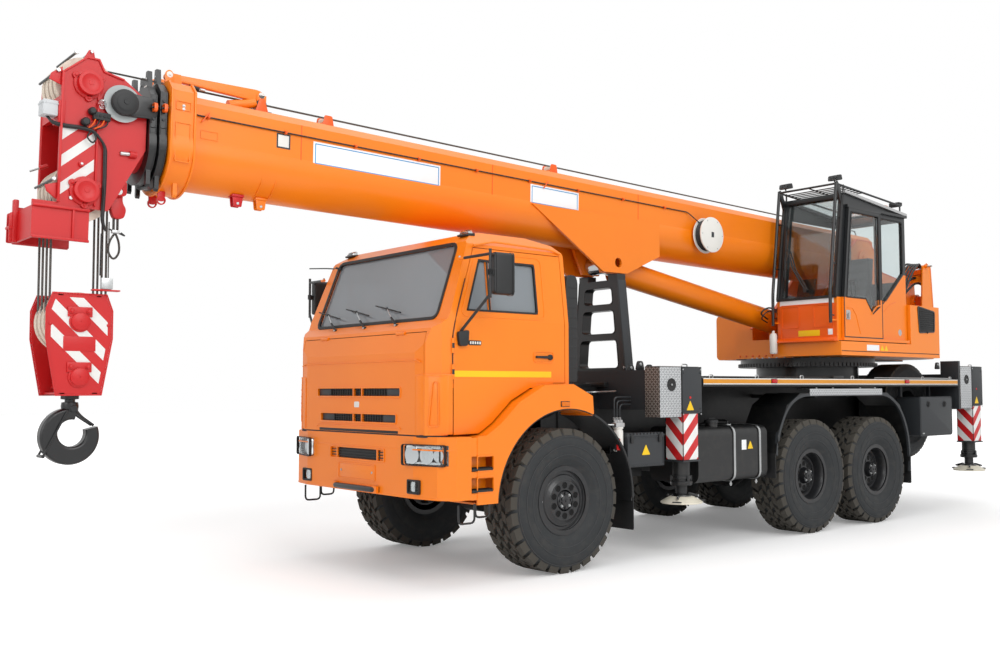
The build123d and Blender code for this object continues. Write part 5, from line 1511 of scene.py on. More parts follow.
# ---- outriggers and side equipment --------------------------------------------------------------
@dataclass
class Outriggers:
    """Covers, striped boards, jacks and pads at the four corners."""

    half_width: float = 1250
    inner: float = 1068
    cover_bottom: float = 1308
    jack_lead: float = 23
    jack_y: float = 1125
    pairs: tuple[tuple[str, float, float, float, float], ...] = (
        ("front", -1623, -1314, 1790, 885), ("rear", -7467, -7158, 1860, 860))

    def build(self) -> None:
        """Dresses each corner from its pair's row: left and right station, box top, board foot."""
        for name, left, right, top, foot in self.pairs:
            for side, sign, beam, closed in (("left", 1, left, right), ("right", -1, right, left)):
                turn = flip(sign)
                self.cover(f"{name}_{side}", closed, top, turn)
                self.beam(f"{name}_{side}", beam, top, turn)
                jack = beam + self.jack_lead
                self.board(
                    f"{name}_{side}", jack, foot, turn, BOARD_LEFT if sign > 0 else BOARD_RIGHT)
                self.pad(f"{name}_{side}", jack, turn)

    def cover(self, name: str, station: float, top: float, turn: Matrix) -> None:
        """Plates a tube's closed end with rolled tread plate round its lifting hole.

        Args:
            name: which corner.
            station: the tube's middle.
            top: the cover's top.
            turn: puts the piece on its side of the machine.
        """
        piece = Piece(f"tread_cover_{name}", "chassis")
        low, out = self.cover_bottom + 4, self.half_width
        piece.prism(
            PLATE, Face.SIDE, rectangle((station - 150, station + 150), (low, top - 4)),
            (out, out + 4), 1, place=turn)
        # The end face and the top take the darker plate: painted shade.
        piece.prism(
            SHADED_PLATE, Face.FRONT, rectangle((self.inner, out + 3), (low, top - 4)),
            (station + 152, station + 156), 1, place=turn)
        piece.block(
            SHADED_PLATE, (station - 152, station + 155), (self.inner, out + 3), (top, top + 3), 1,
            place=turn)
        hole = (station - 12, 0, top - 172)
        piece.lathe(
            SEAL, [(62, out + 2), (62, out + 7), (54, out + 9), (50, out + 6), (0, out + 5)], hole,
            Axis.Y, 16, place=turn)
        piece.lathe(
            ZINC, [(10, out + 4), (10, out + 12), (0, out + 12)], hole, Axis.Y, 12, place=turn)
        piece.bolts(
            ZINC, [(station + dx, out + 4, z) for dx in (-130, 130) for z in (low + 22, top - 26)],
            6, 4)
        piece.done()

    def beam(self, name: str, station: float, top: float, turn: Matrix) -> None:
        """Adds the beam's end cover, its red marker and the blank yellow sign.

        Args:
            name: which corner.
            station: the beam's middle.
            top: the end box's top.
            turn: puts the piece on its side of the machine.
        """
        piece = Piece(f"beam_end_{name}", f"outrigger_{name}")
        face = (self.half_width, self.half_width + 5)
        piece.prism(
            GREY_PAINT, Face.SIDE,
            rounded(
                [
                    (station - 142, 1356), (station - 142, top - 40), (station - 96, top - 6),
                    (station + 142, top - 6), (station + 142, 1356)],
                10),
            face, 2, place=turn)
        piece.block(
            GREY_PAINT, (station - 146, station + 147), (1064, self.half_width + 4), (1350, 1366),
            2, place=turn)
        piece.block(
            GREY_PAINT, (station - 100, station + 147), (1064, self.half_width + 4),
            (top - 4, top + 2), 2, place=turn)
        piece.lathe(
            RED, [(13, face[1]), (13, face[1] + 4), (0, face[1] + 5)], (station + 30, 0, top - 296),
            Axis.Y, 20, place=turn)
        sign = [(station - 24, 1372), (station + 84, 1372), (station + 30, 1466)]
        piece.prism(
            SIGN_YELLOW, Face.SIDE, rounded(sign, 10), (face[1] - 0.5, face[1] + 1), 0, place=turn)
        side = turn[1][1]
        places = [(station + dx, face[1] * side, z) for dx in (-120, 120) for z in (1384, top - 60)]
        piece.bolts(GREY_PAINT, places, 7, 5 * side)
        loop = [
            (station + dx, 1160, z) for dx,
            z in ((-40, top), (-40, top + 26), (40, top + 26), (40, top))]
        piece.pipe(ZINC, [tuple(turn @ Vector(p)) for p in loop], 6, 20, 8)
        piece.done()

    def board(self, name: str, jack: float, foot: float, turn: Matrix, stripes: Finish) -> None:
        """Puts striped boards on the faces of the jack's guard.

        Args:
            name: which corner.
            jack: the jack's station.
            foot: the guard's foot.
            turn: puts the piece on its side of the machine.
            stripes: the sheeting for this side.
        """
        piece = Piece(f"striped_boards_{name}", f"outrigger_{name}")
        tall = (foot + 14, 1338)
        piece.prism(
            stripes, Face.SIDE, slab((jack - 104, jack + 104), tall, 5),
            (self.half_width, self.half_width + 3), 0.5, place=turn)
        piece.prism(
            stripes, Face.FRONT, slab((1038, 1244), tall, 5), (jack + 112, jack + 115), 0.5,
            place=turn)
        piece.prism(
            stripes, Face.FRONT, slab((1038, 1244), tall, 5), (jack - 115, jack - 112), 0.5,
            place=turn)
        for z in (foot + 2, 1350):
            piece.strip(
                GREY_PAINT, Face.PLAN, rectangle((jack - 118, jack + 118), (1030, 1256)), -8,
                (z - 8, z + 6), place=turn)
        piece.done()

    def pad(self, name: str, jack: float, turn: Matrix) -> None:
        """Adds the jack's collar, the pad's ribs, clips and handles.

        Args:
            name: which corner.
            jack: the jack's station.
            turn: puts the piece on its side of the machine.
        """
        centre = (jack, self.jack_y, 0)
        collar = Piece(f"jack_collar_{name}", f"outrigger_{name}")
        collar.lathe(
            FRAME_BLACK, [(86, 742), (96, 740), (96, 716), (86, 714)], centre, Axis.Z, 28,
            place=turn)
        collar.lathe(
            FRAME_BLACK, [(104, 688), (108, 684), (108, 660), (104, 654)], centre, Axis.Z, 28,
            place=turn)
        for k in range(6):
            a = k * math.pi / 3 + 0.3
            at = turn @ Matrix.Translation(centre) @ Matrix.Rotation(a, 4, "Z")
            collar.block(FRAME_BLACK, (84, 104), (-5, 5), (690, 742), 1, place=at)
        collar.done()
        piece = Piece(f"pad_fittings_{name}", f"jack_{name}")
        piece.lathe(
            CREAM, [(190, 497), (202, 494), (203, 482), (198, 479)], centre, Axis.Z, 48, place=turn)
        piece.lathe(
            FRAME_BLACK, [(58, 566), (92, 560), (96, 544), (90, 540)], centre, Axis.Z, 28,
            place=turn)
        for k in range(3):
            a = 2 * k * math.pi / 3 + 0.5
            at = turn @ Matrix.Translation(centre) @ Matrix.Rotation(a, 4, "Z")
            piece.prism(
                FRAME_BLACK, Face.SIDE,
                [(70, 540), (70, 575), (96, 575), (186, 548), (192, 532), (150, 524)], (-7, 7), 2,
                place=at)
            piece.disc(ZINC, tuple(at @ Vector((168, 0, 536))), 8, 18, Axis.Z, 10)
            ring = [(196, -38, 500), (226, -38, 504), (226, 38, 504), (196, 38, 500)]
            piece.pipe(FRAME_BLACK, [tuple(at @ Vector(p)) for p in ring], 6, 16, 8)
        piece.done()


@dataclass
class SideEquipment:
    """Along the chassis: pipes, canister, battery, tank, mudguards, tape, toolboxes, trestle."""

    deck: Span = (-6950, -1790)
    straps: tuple[float, ...] = (-2330, -2750)
    trestle_x: float = -1660
    tail_x: float = -7404
    fender_line: tuple[Flat, ...] = (
        (-2965, 880), (-3010, 1120), (-3180, 1400), (-3420, 1525), (-5200, 1525), (-5480, 1380),
        (-5650, 1120), (-5710, 860), (-5710, 567))

    def build(self) -> None:
        """Makes every piece along both sides."""
        self.front_guard()
        self.pipes()
        self.canister()
        self.battery()
        self.tank()
        self.rear_guard()
        self.tape()
        self.toolbox()
        self.trestle()
        self.deck_fittings()
        self.tail()

    def front_guard(self) -> None:
        """Adds the black edge, the rubber flap and the amber marker of the front mudguard."""
        piece = Piece("front_mudguard_edge", "chassis")
        piece.strip(
            PLASTIC, Face.SIDE, arc((0, AXLE_HEIGHT), 803, 113, 182, 18), 22, (1226, 1250), False,
            5, True)
        piece.strip(
            SEAL, Face.SIDE, arc((0, AXLE_HEIGHT), 792, 5, 111, 28), 9, (1240, 1252), False, 3,
            True)
        piece.prism(SEAL, Face.FRONT, slab((872, 1244), (300, 640), 18), (-806, -798), 2, True)
        piece.block(PLASTIC, (-812, -792), (866, 1248), (600, 636), 3, True)
        piece.bolts(
            ZINC, [(-792, s * y, 618) for s in (1, -1) for y in (900, 1060, 1220)], 7, 6, Axis.X)
        piece.done()
        lamp = Piece("side_marker_lamps", "chassis")
        for x, z in ((45, 1452), (-2950, 1656), (-5650, 1656)):
            amber = x > -500
            lamp.block(PLASTIC, (x - 52, x + 52), (1249, 1255), (z - 24, z + 24), 3, True)
            lamp.prism(
                AMBER if amber else RED_LENS, Face.SIDE,
                slab((x - 46, x + 46), (z - 19, z + 19), 8), (1254, 1264), 3, True)
        lamp.done()

    def pipes(self) -> None:
        """Runs the outrigger pipes along the girder and down to the valve."""
        piece = Piece("outrigger_pipes", "chassis")
        piece.pipe(ZINC, [(-1150, 700, 1556), (-1080, 470, 1548), (-420, 452, 1530)], 9, 60, 10)
        for k in range(3):
            x, z = -930 - 38 * k, 1500 - 34 * k
            piece.pipe(GREY_PAINT, [(-1158, 880, z), (x, 880, z), (x, 880, 1290)], 8, 50, 10)
            piece.disc(ZINC, (x, 880, 1284), 13, 26, Axis.Z, 6)
        piece.pipe(ZINC, [(-1150, -700, 1556), (-1080, -470, 1548), (-420, -452, 1530)], 9, 60, 10)
        for x in (-520, -800, -1040):
            piece.block(FRAME_BLACK, (x - 14, x + 14), (430, 466), (1516, 1566), 2, True)
        for x in (-610, -900):
            piece.block(CHASSIS_BLACK, (x - 6, x + 6), (429, 446), (1156, 1596), 1, True)
        piece.pipe(
            HOSE, [(-430, 470, 1580), (-470, 520, 1660), (-560, 470, 1690), (-640, 430, 1610)], 13,
            50)
        piece.pipe(
            HOSE, [(-430, 520, 1560), (-480, 580, 1640), (-560, 540, 1680), (-650, 440, 1600)], 10,
            50)
        piece.done()

    def canister(self) -> None:
        """Stands the white dryer canister with its lamp on the battery's bracket."""
        piece = Piece("air_dryer", "chassis")
        canister = [
            (0, 1010), (38, 1012), (46, 1022), (46, 1196), (40, 1206), (40, 1214), (48, 1218),
            (48, 1232), (0, 1234)]
        piece.lathe(WHITE_TAPE, canister, (-705, 1150, 0), Axis.Z, 28)
        piece.block(STEEL, (-760, -650), (1118, 1182), (1232, 1270), 6)
        for x in (-744, -705, -666):
            piece.disc(STEEL, (x, 1150, 1266), 15, 30, Axis.Z, 6)
        piece.pipe(ZINC, [(-660, 1150, 1252), (-600, 1120, 1252), (-590, 900, 1300)], 8, 30)
        piece.block(FRAME_BLACK, (-772, -640), (1092, 1108), (990, 1240), 3)
        piece.block(FRAME_BLACK, (-772, -640), (640, 1108), (990, 1006), 2)
        piece.prism(PLASTIC, Face.SIDE, slab((-676, -624), (1020, 1136), 12), (1180, 1200), 4)
        piece.prism(RED_LENS, Face.SIDE, slab((-670, -630), (1026, 1130), 10), (1198, 1214), 4)
        piece.done()

    def battery(self) -> None:
        """Adds the battery cover's serrated rim, straps and blank yellow sign."""
        piece = Piece("battery_cover", "chassis")
        piece.block(GREY_PAINT, (-1276, -764), (614, 1206), (1140, 1156), 4)
        for k in range(11):
            x = -1262 + 46 * k
            piece.prism(
                GREY_PAINT, Face.SIDE, [(x, 1152), (x + 8, 1172), (x + 30, 1172), (x + 38, 1152)],
                (1100, 1205), 2)
        piece.strip(GREY_PAINT, Face.SIDE, slab((-1266, -774), (868, 1136), 16), 9, (1199, 1206))
        piece.prism(
            SIGN_YELLOW, Face.SIDE, rounded([(-1076, 968), (-964, 968), (-1020, 1064)], 10),
            (1200, 1203), 0.5)
        for x in (-1210, -830):
            piece.prism(
                PLASTIC, Face.SIDE, slab((x - 20, x + 20), (1080, 1160), 8), (1203, 1216), 4)
        piece.done()

    def tank(self) -> None:
        """Adds the fuel tanks' bright straps, caps, senders and blank signs."""
        piece = Piece("tank_straps", "chassis")
        around = rounded([(556, 646), (1204, 646), (1204, 1204), (556, 1204)], 94, 8)
        for x in self.straps:
            piece.strip(ZINC, Face.FRONT, around, -5, (x - 15, x + 15), mirror=True, bevel=1)
            for z, radius, depth, sides in ((640, 9, -44, 10), (622, 14, -12, 6)):
                piece.disc(ZINC, (x, 1150, z), radius, depth, Axis.Z, sides, mirror=True)
        for x in (-1790, -2860):
            piece.strip(
                FRAME_BLACK, Face.FRONT, slab((566, 1194), (656, 1194), 84, 8), 10, (x - 8, x + 8),
                mirror=True)
        piece.lathe(
            PLASTIC, [(64, 1234), (70, 1238), (70, 1262), (60, 1270), (0, 1272)], (-2120, 1080, 0),
            Axis.Z, 20, True)
        piece.block(PLASTIC, (-2168, -2072), (1070, 1090), (1268, 1284), 5, True)
        piece.disc(ZINC, (-2480, 1000, 1198), 40, 16, Axis.Z, 24, mirror=True)
        piece.pipe(
            HOSE,
            [(-2480, 1000, 1212), (-2480, 1000, 1250), (-2520, 760, 1250), (-2560, 500, 1180)], 9,
            30, 8, True)
        piece.block(SIGN_WHITE, (-2528, -2452), (1200, 1202), (956, 1056), 0.5)
        piece.prism(
            SIGN_YELLOW, Face.SIDE, rounded([(-2640, 962), (-2548, 962), (-2594, 1046)], 8),
            (1200, 1202), 0.5)
        piece.done()

    def rear_guard(self) -> None:
        """Edges the rear mudguards, lays their tread strip and hangs their flaps."""
        piece = Piece("rear_mudguard_edges", "chassis")
        line = rounded(self.fender_line, 150, 6)
        piece.strip(
            GREY_PAINT, Face.SIDE, self.fender_line[:2] + tuple(line[7:-7]) + self.fender_line[-2:],
            34, (1222, 1250), False, 9, True)
        piece.block(PLATE, (-5080, -3600), (1246, 1251), (1500, 1574), 1, True)
        piece.block(PLATE, (-5080, -3600), (1100, 1251), (1570, 1575), 1, True)
        for x in (-3740, -4060, -4620, -4940):
            piece.disc(ZINC, (x, 1240, 1575), 8, 14, Axis.Z, 6, mirror=True)
        for x, tall in ((-5722, (420, 640)), (-2972, (640, 900))):
            piece.prism(SEAL, Face.FRONT, slab((800, 1244), tall, 18), (x, x + 10), 2, True)
        for z in (1010, 820):
            piece.pipe(
                FRAME_BLACK,
                [(-5700, 1120, z), (-5860, 1120, z - 60), (-5860, 860, z - 60), (-5700, 700, z)],
                10, 40, 8, True)
        piece.done()

    def tape(self) -> None:
        """Lays the amber tape with its white edges along the deck."""
        piece = Piece("deck_tape", "chassis")
        low, high = self.deck[0] + 20, self.deck[1] - 10
        piece.block(AMBER_TAPE, (low, high), (1250, 1252), (1632, 1676), 0, True)
        for z in (1626, 1678):
            piece.block(WHITE_TAPE, (low, high), (1250, 1252.5), (z - 5, z + 5), 0, True)
        piece.block(CHASSIS_BLACK, (low, high), (1236, 1252), (1600, 1614), 4, True)
        piece.done()

    def toolbox(self) -> None:
        """Adds the toolboxes' lids, latches and hinges."""
        piece = Piece("toolbox_lids", "chassis")
        piece.prism(
            GREY_PAINT, Face.SIDE, slab((-6744, -5966), (996, 1450), 34), (1250, 1256), 3, True)
        piece.strip(
            GREY_PAINT, Face.SIDE, slab((-6752, -5958), (988, 1458), 36), -10, (1246, 1253),
            mirror=True)
        for x in (-6560, -6150):
            piece.lathe(
                PLASTIC, [(38, 1256), (38, 1264), (30, 1268), (24, 1262), (0, 1262)], (x, 0, 1376),
                Axis.Y, 24, True)
            piece.block(PLASTIC, (x - 7, x + 7), (1260, 1272), (1344, 1400), 3, True)
        piece.block(ZINC, (-6040, -6000), (1256, 1260), (1006, 1022), 1, True)
        piece.done()

    def trestle(self) -> None:
        """Edges the boom's trestle and adds its webs and pads."""
        piece = Piece("trestle_edges", "chassis")
        station = self.trestle_x
        for sign in (1, -1):
            edge = [(sign * 392, 1762), (sign * 288, 2718)]
            for x in (station - 58, station + 58):
                piece.strip(FRAME_BLACK, Face.FRONT, edge, 10 * sign, (x - 6, x + 6), False, 2)
            face = [(sign * 391, 1764), (sign * 287, 2716)]
            piece.strip(
                GREY_PAINT, Face.FRONT, face, -3 * sign, (station - 54, station + 54), False, 1)
        for low, high, w_low, w_high in (
                (1800, 2090, 290, 262), (2160, 2400, 245, 222), (2470, 2640, 212, 195)):
            opening = rounded([(-w_low, low), (w_low, low), (w_high, high), (-w_high, high)], 45)
            for x in (station - 60, station + 60):
                piece.strip(FRAME_BLACK, Face.FRONT, opening, -9, (x - 5, x + 5), bevel=3)
        for y in (-218, 218):
            piece.block(SEAL, (station - 56, station + 56), (y - 64, y + 64), (2722, 2778), 8)
        piece.bolts(ZINC, [(station + 60, s * 375, 1800) for s in (1, -1)], 11, 9, Axis.X)
        piece.done()

    def deck_fittings(self) -> None:
        """Scatters the deck's plates, lugs, cables and lashing eyes as the machine has them."""
        piece = Piece("deck_fittings", "chassis")
        for x0, x1, y0, y1, h in (
                (-1250, -1120, 300, 560, 46), (-1080, -560, -420, 420, 30),
                (-540, -420, 240, 430, 36), (-3100, -2500, 700, 1180, 14),
                (-4300, -4100, 1080, 1230, 34)):
            z = 1600 if x0 > -1790 else 1684
            piece.block(CHASSIS_BLACK, (x0, x1), (y0, y1), (z, z + h), 5)
        for x, y, z in (
                (-1314, 860, 1790), (-1623, 700, 1762), (-1500, 560, 1762), (-7158, 860, 1860)):
            for s in (1, -1):
                piece.prism(
                    FRAME_BLACK, Face.SIDE,
                    rounded(
                        [(x - 60, z - 30), (x + 60, z - 30), (x + 34, z + 62), (x - 34, z + 62)],
                        24),
                    (s * y - 10, s * y + 10), 3)
                piece.disc(ZINC, (x, s * y - 16, z + 30), 15, 32, Axis.Y, 16)
        for y in (1180, 1140):
            piece.pipe(
                HOSE, [(-1900, y, 1696), (-3300, y - 14, 1696), (-4300, y + 4, 1698)], 9, 200, 8)
        piece.pipe(ZINC, [(-5000, 1205, 1698), (-6840, 1205, 1698)], 8, 0, 8, True)
        for x in (-1960, -2700, -3500, -4500, -6100, -6800):
            piece.pipe(
                ZINC,
                [
                    (x - 26, 1215, 1684), (x - 26, 1215, 1716), (x + 26, 1215, 1716),
                    (x + 26, 1215, 1684)],
                6, 14, 8, True)
        piece.done()

    def tail(self) -> None:
        """Adds the rear lamps, the hitch and the air couplings."""
        piece = Piece("tail_lamps", "chassis")
        x = self.tail_x
        for sign in (1, -1):
            turn = flip(sign)
            piece.prism(
                PLASTIC, Face.FRONT, slab((300, 640), (1010, 1120), 14), (x - 40, x), 6, place=turn)
            for k, lens in enumerate((RED_LENS, AMBER, RED_LENS)):
                piece.prism(
                    lens, Face.FRONT, slab((310 + 110 * k, 412 + 110 * k), (1022, 1108), 10),
                    (x - 52, x - 38), 4, place=turn)
            piece.block(CHASSIS_BLACK, (x - 2, x + 40), (340, 430), (900, 1020), 4, place=turn)
        piece.done()


# ---- crane cab and turntable --------------------------------------------------------------------
@dataclass
class CraneCab:
    """The crane operator's cab: seals, wiper, guard, roof rack, lamps, door fittings and panels."""

    front: float = -4300
    inner: float = 345
    outer: float = 1160

    def build(self) -> None:
        """Makes every piece of the cab."""
        self.front_panel()
        self.windscreen()
        self.guard()
        self.rack()
        self.door()
        self.signs()
        self.controls()

    def front_panel(self) -> None:
        """Presses the recess of the front panel and adds its blank signs."""
        piece = Piece("crane_cab_front", "turntable")
        x = self.front
        piece.block(DEEP_ORANGE, (x, x + 5), (self.inner + 6, self.outer - 6), (2126, 2560), 2)
        piece.block(SIGN_WHITE, (x, x + 7), (self.inner + 40, self.outer - 40), (2562, 2630), 1)
        for y in (420, 860):
            line = rounded([(y, 2300), (y, 2540), (y + 220, 2540), (y + 220, 2300)], 20)
            piece.strip(DEEP_ORANGE, Face.FRONT, line, 14, (x + 3, x + 12), bevel=5)
        piece.strip(
            DEEP_ORANGE, Face.FRONT,
            rounded([(400, 2172), (400, 2556), (1105, 2556), (1105, 2172)], 20), 12,
            (x + 3, x + 12), bevel=5)
        piece.prism(
            DEEP_ORANGE, Face.SIDE, [(x, 2120), (x + 60, 2120), (x + 60, 2136), (x, 2176)],
            (self.inner, self.outer), 3)
        piece.block(SIGN_YELLOW, (x + 4, x + 8), (640, 930), (2190, 2258), 1)
        piece.block(SIGN_WHITE, (x + 4, x + 8), (1040, 1110), (2196, 2264), 1)
        bottle = [
            (0, 1990), (38, 1994), (44, 2010), (44, 2210), (34, 2236), (16, 2244), (16, 2270),
            (0, 2272)]
        piece.lathe(WHITE_TAPE, bottle, (x + 70, 330, 0), Axis.Z, 24)
        piece.done()

    def windscreen(self) -> None:
        """Seals the panes and parks the wiper."""
        piece = Piece("crane_cab_seals", "turntable")
        side = ((-5770, 3000), (-5770, 3630), (-5290, 3630), (-5290, 2600))
        piece.strip(SEAL, Face.SIDE, rounded(side, 24), 16, (1157, 1161), bevel=0.5)
        piece.pipe(SEAL, [(-4350, 470, 3250), (-4290, 580, 3000), (-4266, 760, 2730)], 12, 40, 8)
        piece.pipe(SEAL, [(-4352, 510, 3220), (-4292, 620, 2980), (-4266, 800, 2730)], 9, 40, 8)
        piece.pipe(SEAL, [(-4372, 440, 3480), (-4330, 450, 3120), (-4300, 460, 2880)], 11, 100, 8)
        piece.disc(PLASTIC, (-4300, 760, 2730), 26, 44, Axis.X, 16)
        for y in (self.inner + 8, self.outer - 8):
            piece.pipe(SEAL, [(-4296, y, 2640), (-4386, y, 3300), (-4464, y, 3820)], 20, 200, 10)
        for z, x in ((2636, -4290), (3815, -4462)):
            piece.block(SEAL, (x - 14, x + 14), (self.inner, self.outer), (z - 16, z + 16), 6)
        piece.done()

    def guard(self) -> None:
        """Adds the guard's brackets, cross pieces and the tall side posts."""
        piece = Piece("crane_cab_guard", "turntable")
        x = self.front + 110
        for y in (self.inner + 15, self.outer - 15):
            for z, depth in ((2420, 110), (3020, 190), (3560, 265)):
                bar = x - max(0.0, (z - 2690)) * 165 / 1270
                piece.pipe(FRAME_BLACK, [(bar, y, z), (bar - depth * 0.62, y, z - 6)], 8, 0, 8)
            piece.pipe(
                FRAME_BLACK, [(x + 1, y, 2326), (x + 1, y, 2698), (x - 165, y, 3966)], 19, 60, 10)
            piece.prism(
                FRAME_BLACK, Face.SIDE,
                [(-4500, 3700), (-4440, 3700), (-4340, 3960), (-4372, 3985), (-4420, 3940)],
                (y - 9, y + 9), 4)
        piece.pipe(
            HOSE, [(-4300, 330, 2520), (-4180, 300, 2560), (-4060, 260, 2480), (-4300, 200, 2420)],
            10, 80)
        piece.pipe(
            HOSE, [(-4300, 330, 2500), (-4200, 280, 2520), (-4100, 240, 2420), (-4320, 180, 2380)],
            8, 80)
        piece.done()

    def rack(self) -> None:
        """Lays the roof rack's slats, the gutter and the work lamps."""
        piece = Piece("crane_cab_rack", "turntable")
        for k in range(7):
            x = -4480 - 70 * k
            z = 3942 - (x + 4355) * -100 / 1430
            piece.pipe(FRAME_BLACK, [(x, self.inner + 15, z), (x, self.outer - 15, z)], 7, 0, 8)
        piece.pipe(FRAME_BLACK, [(-4400, 760, 3948), (-5760, 760, 3856)], 8, 0, 8)
        for y in (self.outer + 6, self.inner - 6):
            gutter = [(-5850, 3712), (-5850, 3750), (-4470, 3884), (-4462, 3850)]
            piece.prism(STEEL, Face.SIDE, gutter, ordered(y, y + (30 if y > 800 else -30)), 6)
        for y in (self.inner + 110, self.outer - 30):
            piece.disc(PLASTIC, (-4352, y, 3965), 9, 46, Axis.Z, 10)
            piece.prism(
                PLASTIC, Face.SIDE,
                rounded([(-4420, 3996), (-4400, 4056), (-4318, 4040), (-4308, 3976)], 16),
                (y - 62, y + 62), 8)
            piece.prism(
                LENS, Face.SIDE,
                rounded([(-4322, 4034), (-4300, 4030), (-4292, 3982), (-4312, 3982)], 6),
                (y - 54, y + 54), 4)
        piece.block(PLASTIC, (-5840, -5760), (1000, 1140), (3856, 3900), 8)
        piece.prism(
            AMBER, Face.SIDE,
            rounded([(-5650, 3800), (-5640, 3846), (-5560, 3850), (-5540, 3806)], 14), (940, 1060),
            6)
        piece.done()

    def door(self) -> None:
        """Adds the sliding door's pressed ribs, lever, lock, seals and rails."""
        piece = Piece("crane_door_fittings", "crane_cab_door")
        y = self.outer + 40
        pressed = (
            [(-4440, 2520), (-4560, 2520), (-4640, 2440), (-4730, 2220)],
            [(-5180, 2560), (-5080, 2540), (-4960, 2440)])
        for line in pressed:
            piece.strip(ORANGE, Face.SIDE, line, 16, (y - 4, y + 6), False, 6)
        opening = [
            (-4455, 2640), (-4535, 3300), (-4580, 3630), (-5150, 3630), (-5150, 2555),
            (-5000, 2470), (-4850, 2640)]
        piece.strip(SEAL, Face.SIDE, opening, -15, (y - 8, y + 5))
        frame_line = [
            (-4385, 2165), (-4385, 2610), (-4470, 3300), (-4520, 3690), (-5218, 3690),
            (-5218, 2165)]
        piece.strip(FRAME_BLACK, Face.SIDE, frame_line, 12, (y - 6, y + 3))
        piece.prism(STEEL, Face.SIDE, slab((-4500, -4420), (2370, 2480), 12), (y - 1, y + 8), 3)
        piece.disc(ZINC, (-4460, y + 8, 2440), 15, 14, Axis.Y, 20)
        piece.prism(
            ZINC, Face.SIDE,
            rounded([(-4474, 2452), (-4446, 2452), (-4440, 2386), (-4462, 2380)], 8),
            (y + 16, y + 28), 4)
        piece.done()
        pane = Piece("crane_door_pane", "crane_cab_door")
        glass = [
            (-4459, 2644), (-4539, 3300), (-4583, 3626), (-5146, 3626), (-5146, 2559),
            (-5002, 2476), (-4852, 2644)]
        pane.prism(CLEAR, Face.SIDE, glass, (y - 20, y - 15), 0)
        pane.done()
        side = Piece("crane_cab_side", "turntable")
        side.strip(
            DEEP_ORANGE, Face.SIDE, [(-5300, 2500), (-5450, 2600), (-5600, 2640)], 7, (1157, 1161),
            False, 0.5)
        panel = [
            (-5238, 2166), (-5238, 2520), (-5292, 2562), (-5790, 2978), (-5838, 2978),
            (-5838, 2166)]
        side.prism(ORANGE, Face.SIDE, panel, (1157, 1160.6), 0)
        side.lathe(
            STEEL, [(40, 1158), (40, 1161), (14, 1161), (12, 1160.8), (0, 1161)], (-5680, 0, 2260),
            Axis.Y, 28)
        side.prism(FRAME_BLACK, Face.SIDE, slab((-5835, -5240), (2136, 2160), 6), (1160, 1178), 3)
        side.block(SEAL, (-6560, -4320), (1200, 1203), (2004, 2012), 0)
        side.block(SEAL, (-5830, -4330), (1157, 1163), (2118, 2130), 1)
        side.done()

    def signs(self) -> None:
        """Adds the blank signs on the floor box and the cabinet's grille."""
        piece = Piece("crane_cabinet_grille", "turntable")
        piece.block(SIGN_WHITE, (-5120, -4850), (1200, 1202), (2022, 2090), 0)
        for x in (-5230, -5320):
            sign = rounded([(x, 2026), (x + 80, 2026), (x + 40, 2092)], 8)
            piece.prism(SIGN_YELLOW, Face.SIDE, sign, (1200, 1202), 0)
        outline = rounded([(-6050, 2590), (-6080, 2280), (-6440, 2300), (-6450, 2540)], 20)
        piece.prism(SEAL, Face.SIDE, outline, (1198, 1202), 1)
        piece.strip(FRAME_BLACK, Face.SIDE, outline, 16, (1199, 1208))
        for k in range(9):
            z = 2322 + 27 * k
            piece.prism(
                PLASTIC, Face.FRONT, [(1201, z), (1210, z + 6), (1210, z + 10), (1201, z + 14)],
                (-6434, -6078), 1)
        piece.disc(PLASTIC, (-6260, 1208, 2276), 12, 10, Axis.Y, 12)
        piece.done()

    def controls(self) -> None:
        """Stands the levers, the display and the seat's cover inside the cab."""
        piece = Piece("crane_cab_controls", "turntable")
        for y in (self.inner + 120, self.outer - 120):
            for k in range(2):
                x = -4900 + 90 * k
                piece.pipe(PLASTIC, [(x, y, 2660), (x + 16, y, 2800)], 8, 0, 8)
                piece.lathe(
                    PLASTIC, [(0, 2796), (20, 2806), (24, 2830), (14, 2862), (0, 2866)],
                    (x + 16, y, 0), Axis.Z, 16)
        piece.prism(
            PLASTIC, Face.SIDE,
            rounded(
                [(-4640, 2160), (-4520, 2160), (-4470, 2560), (-4560, 2640), (-4640, 2600)], 30),
            (560, 950), 12)
        piece.prism(
            PLASTIC, Face.SIDE,
            rounded([(-4560, 2640), (-4520, 2660), (-4590, 2900), (-4625, 2890)], 12), (460, 690),
            6)
        piece.prism(
            SMOKED, Face.SIDE, [(-4628, 2880), (-4566, 2668), (-4570, 2666), (-4632, 2878)],
            (474, 676), 0)
        piece.done()


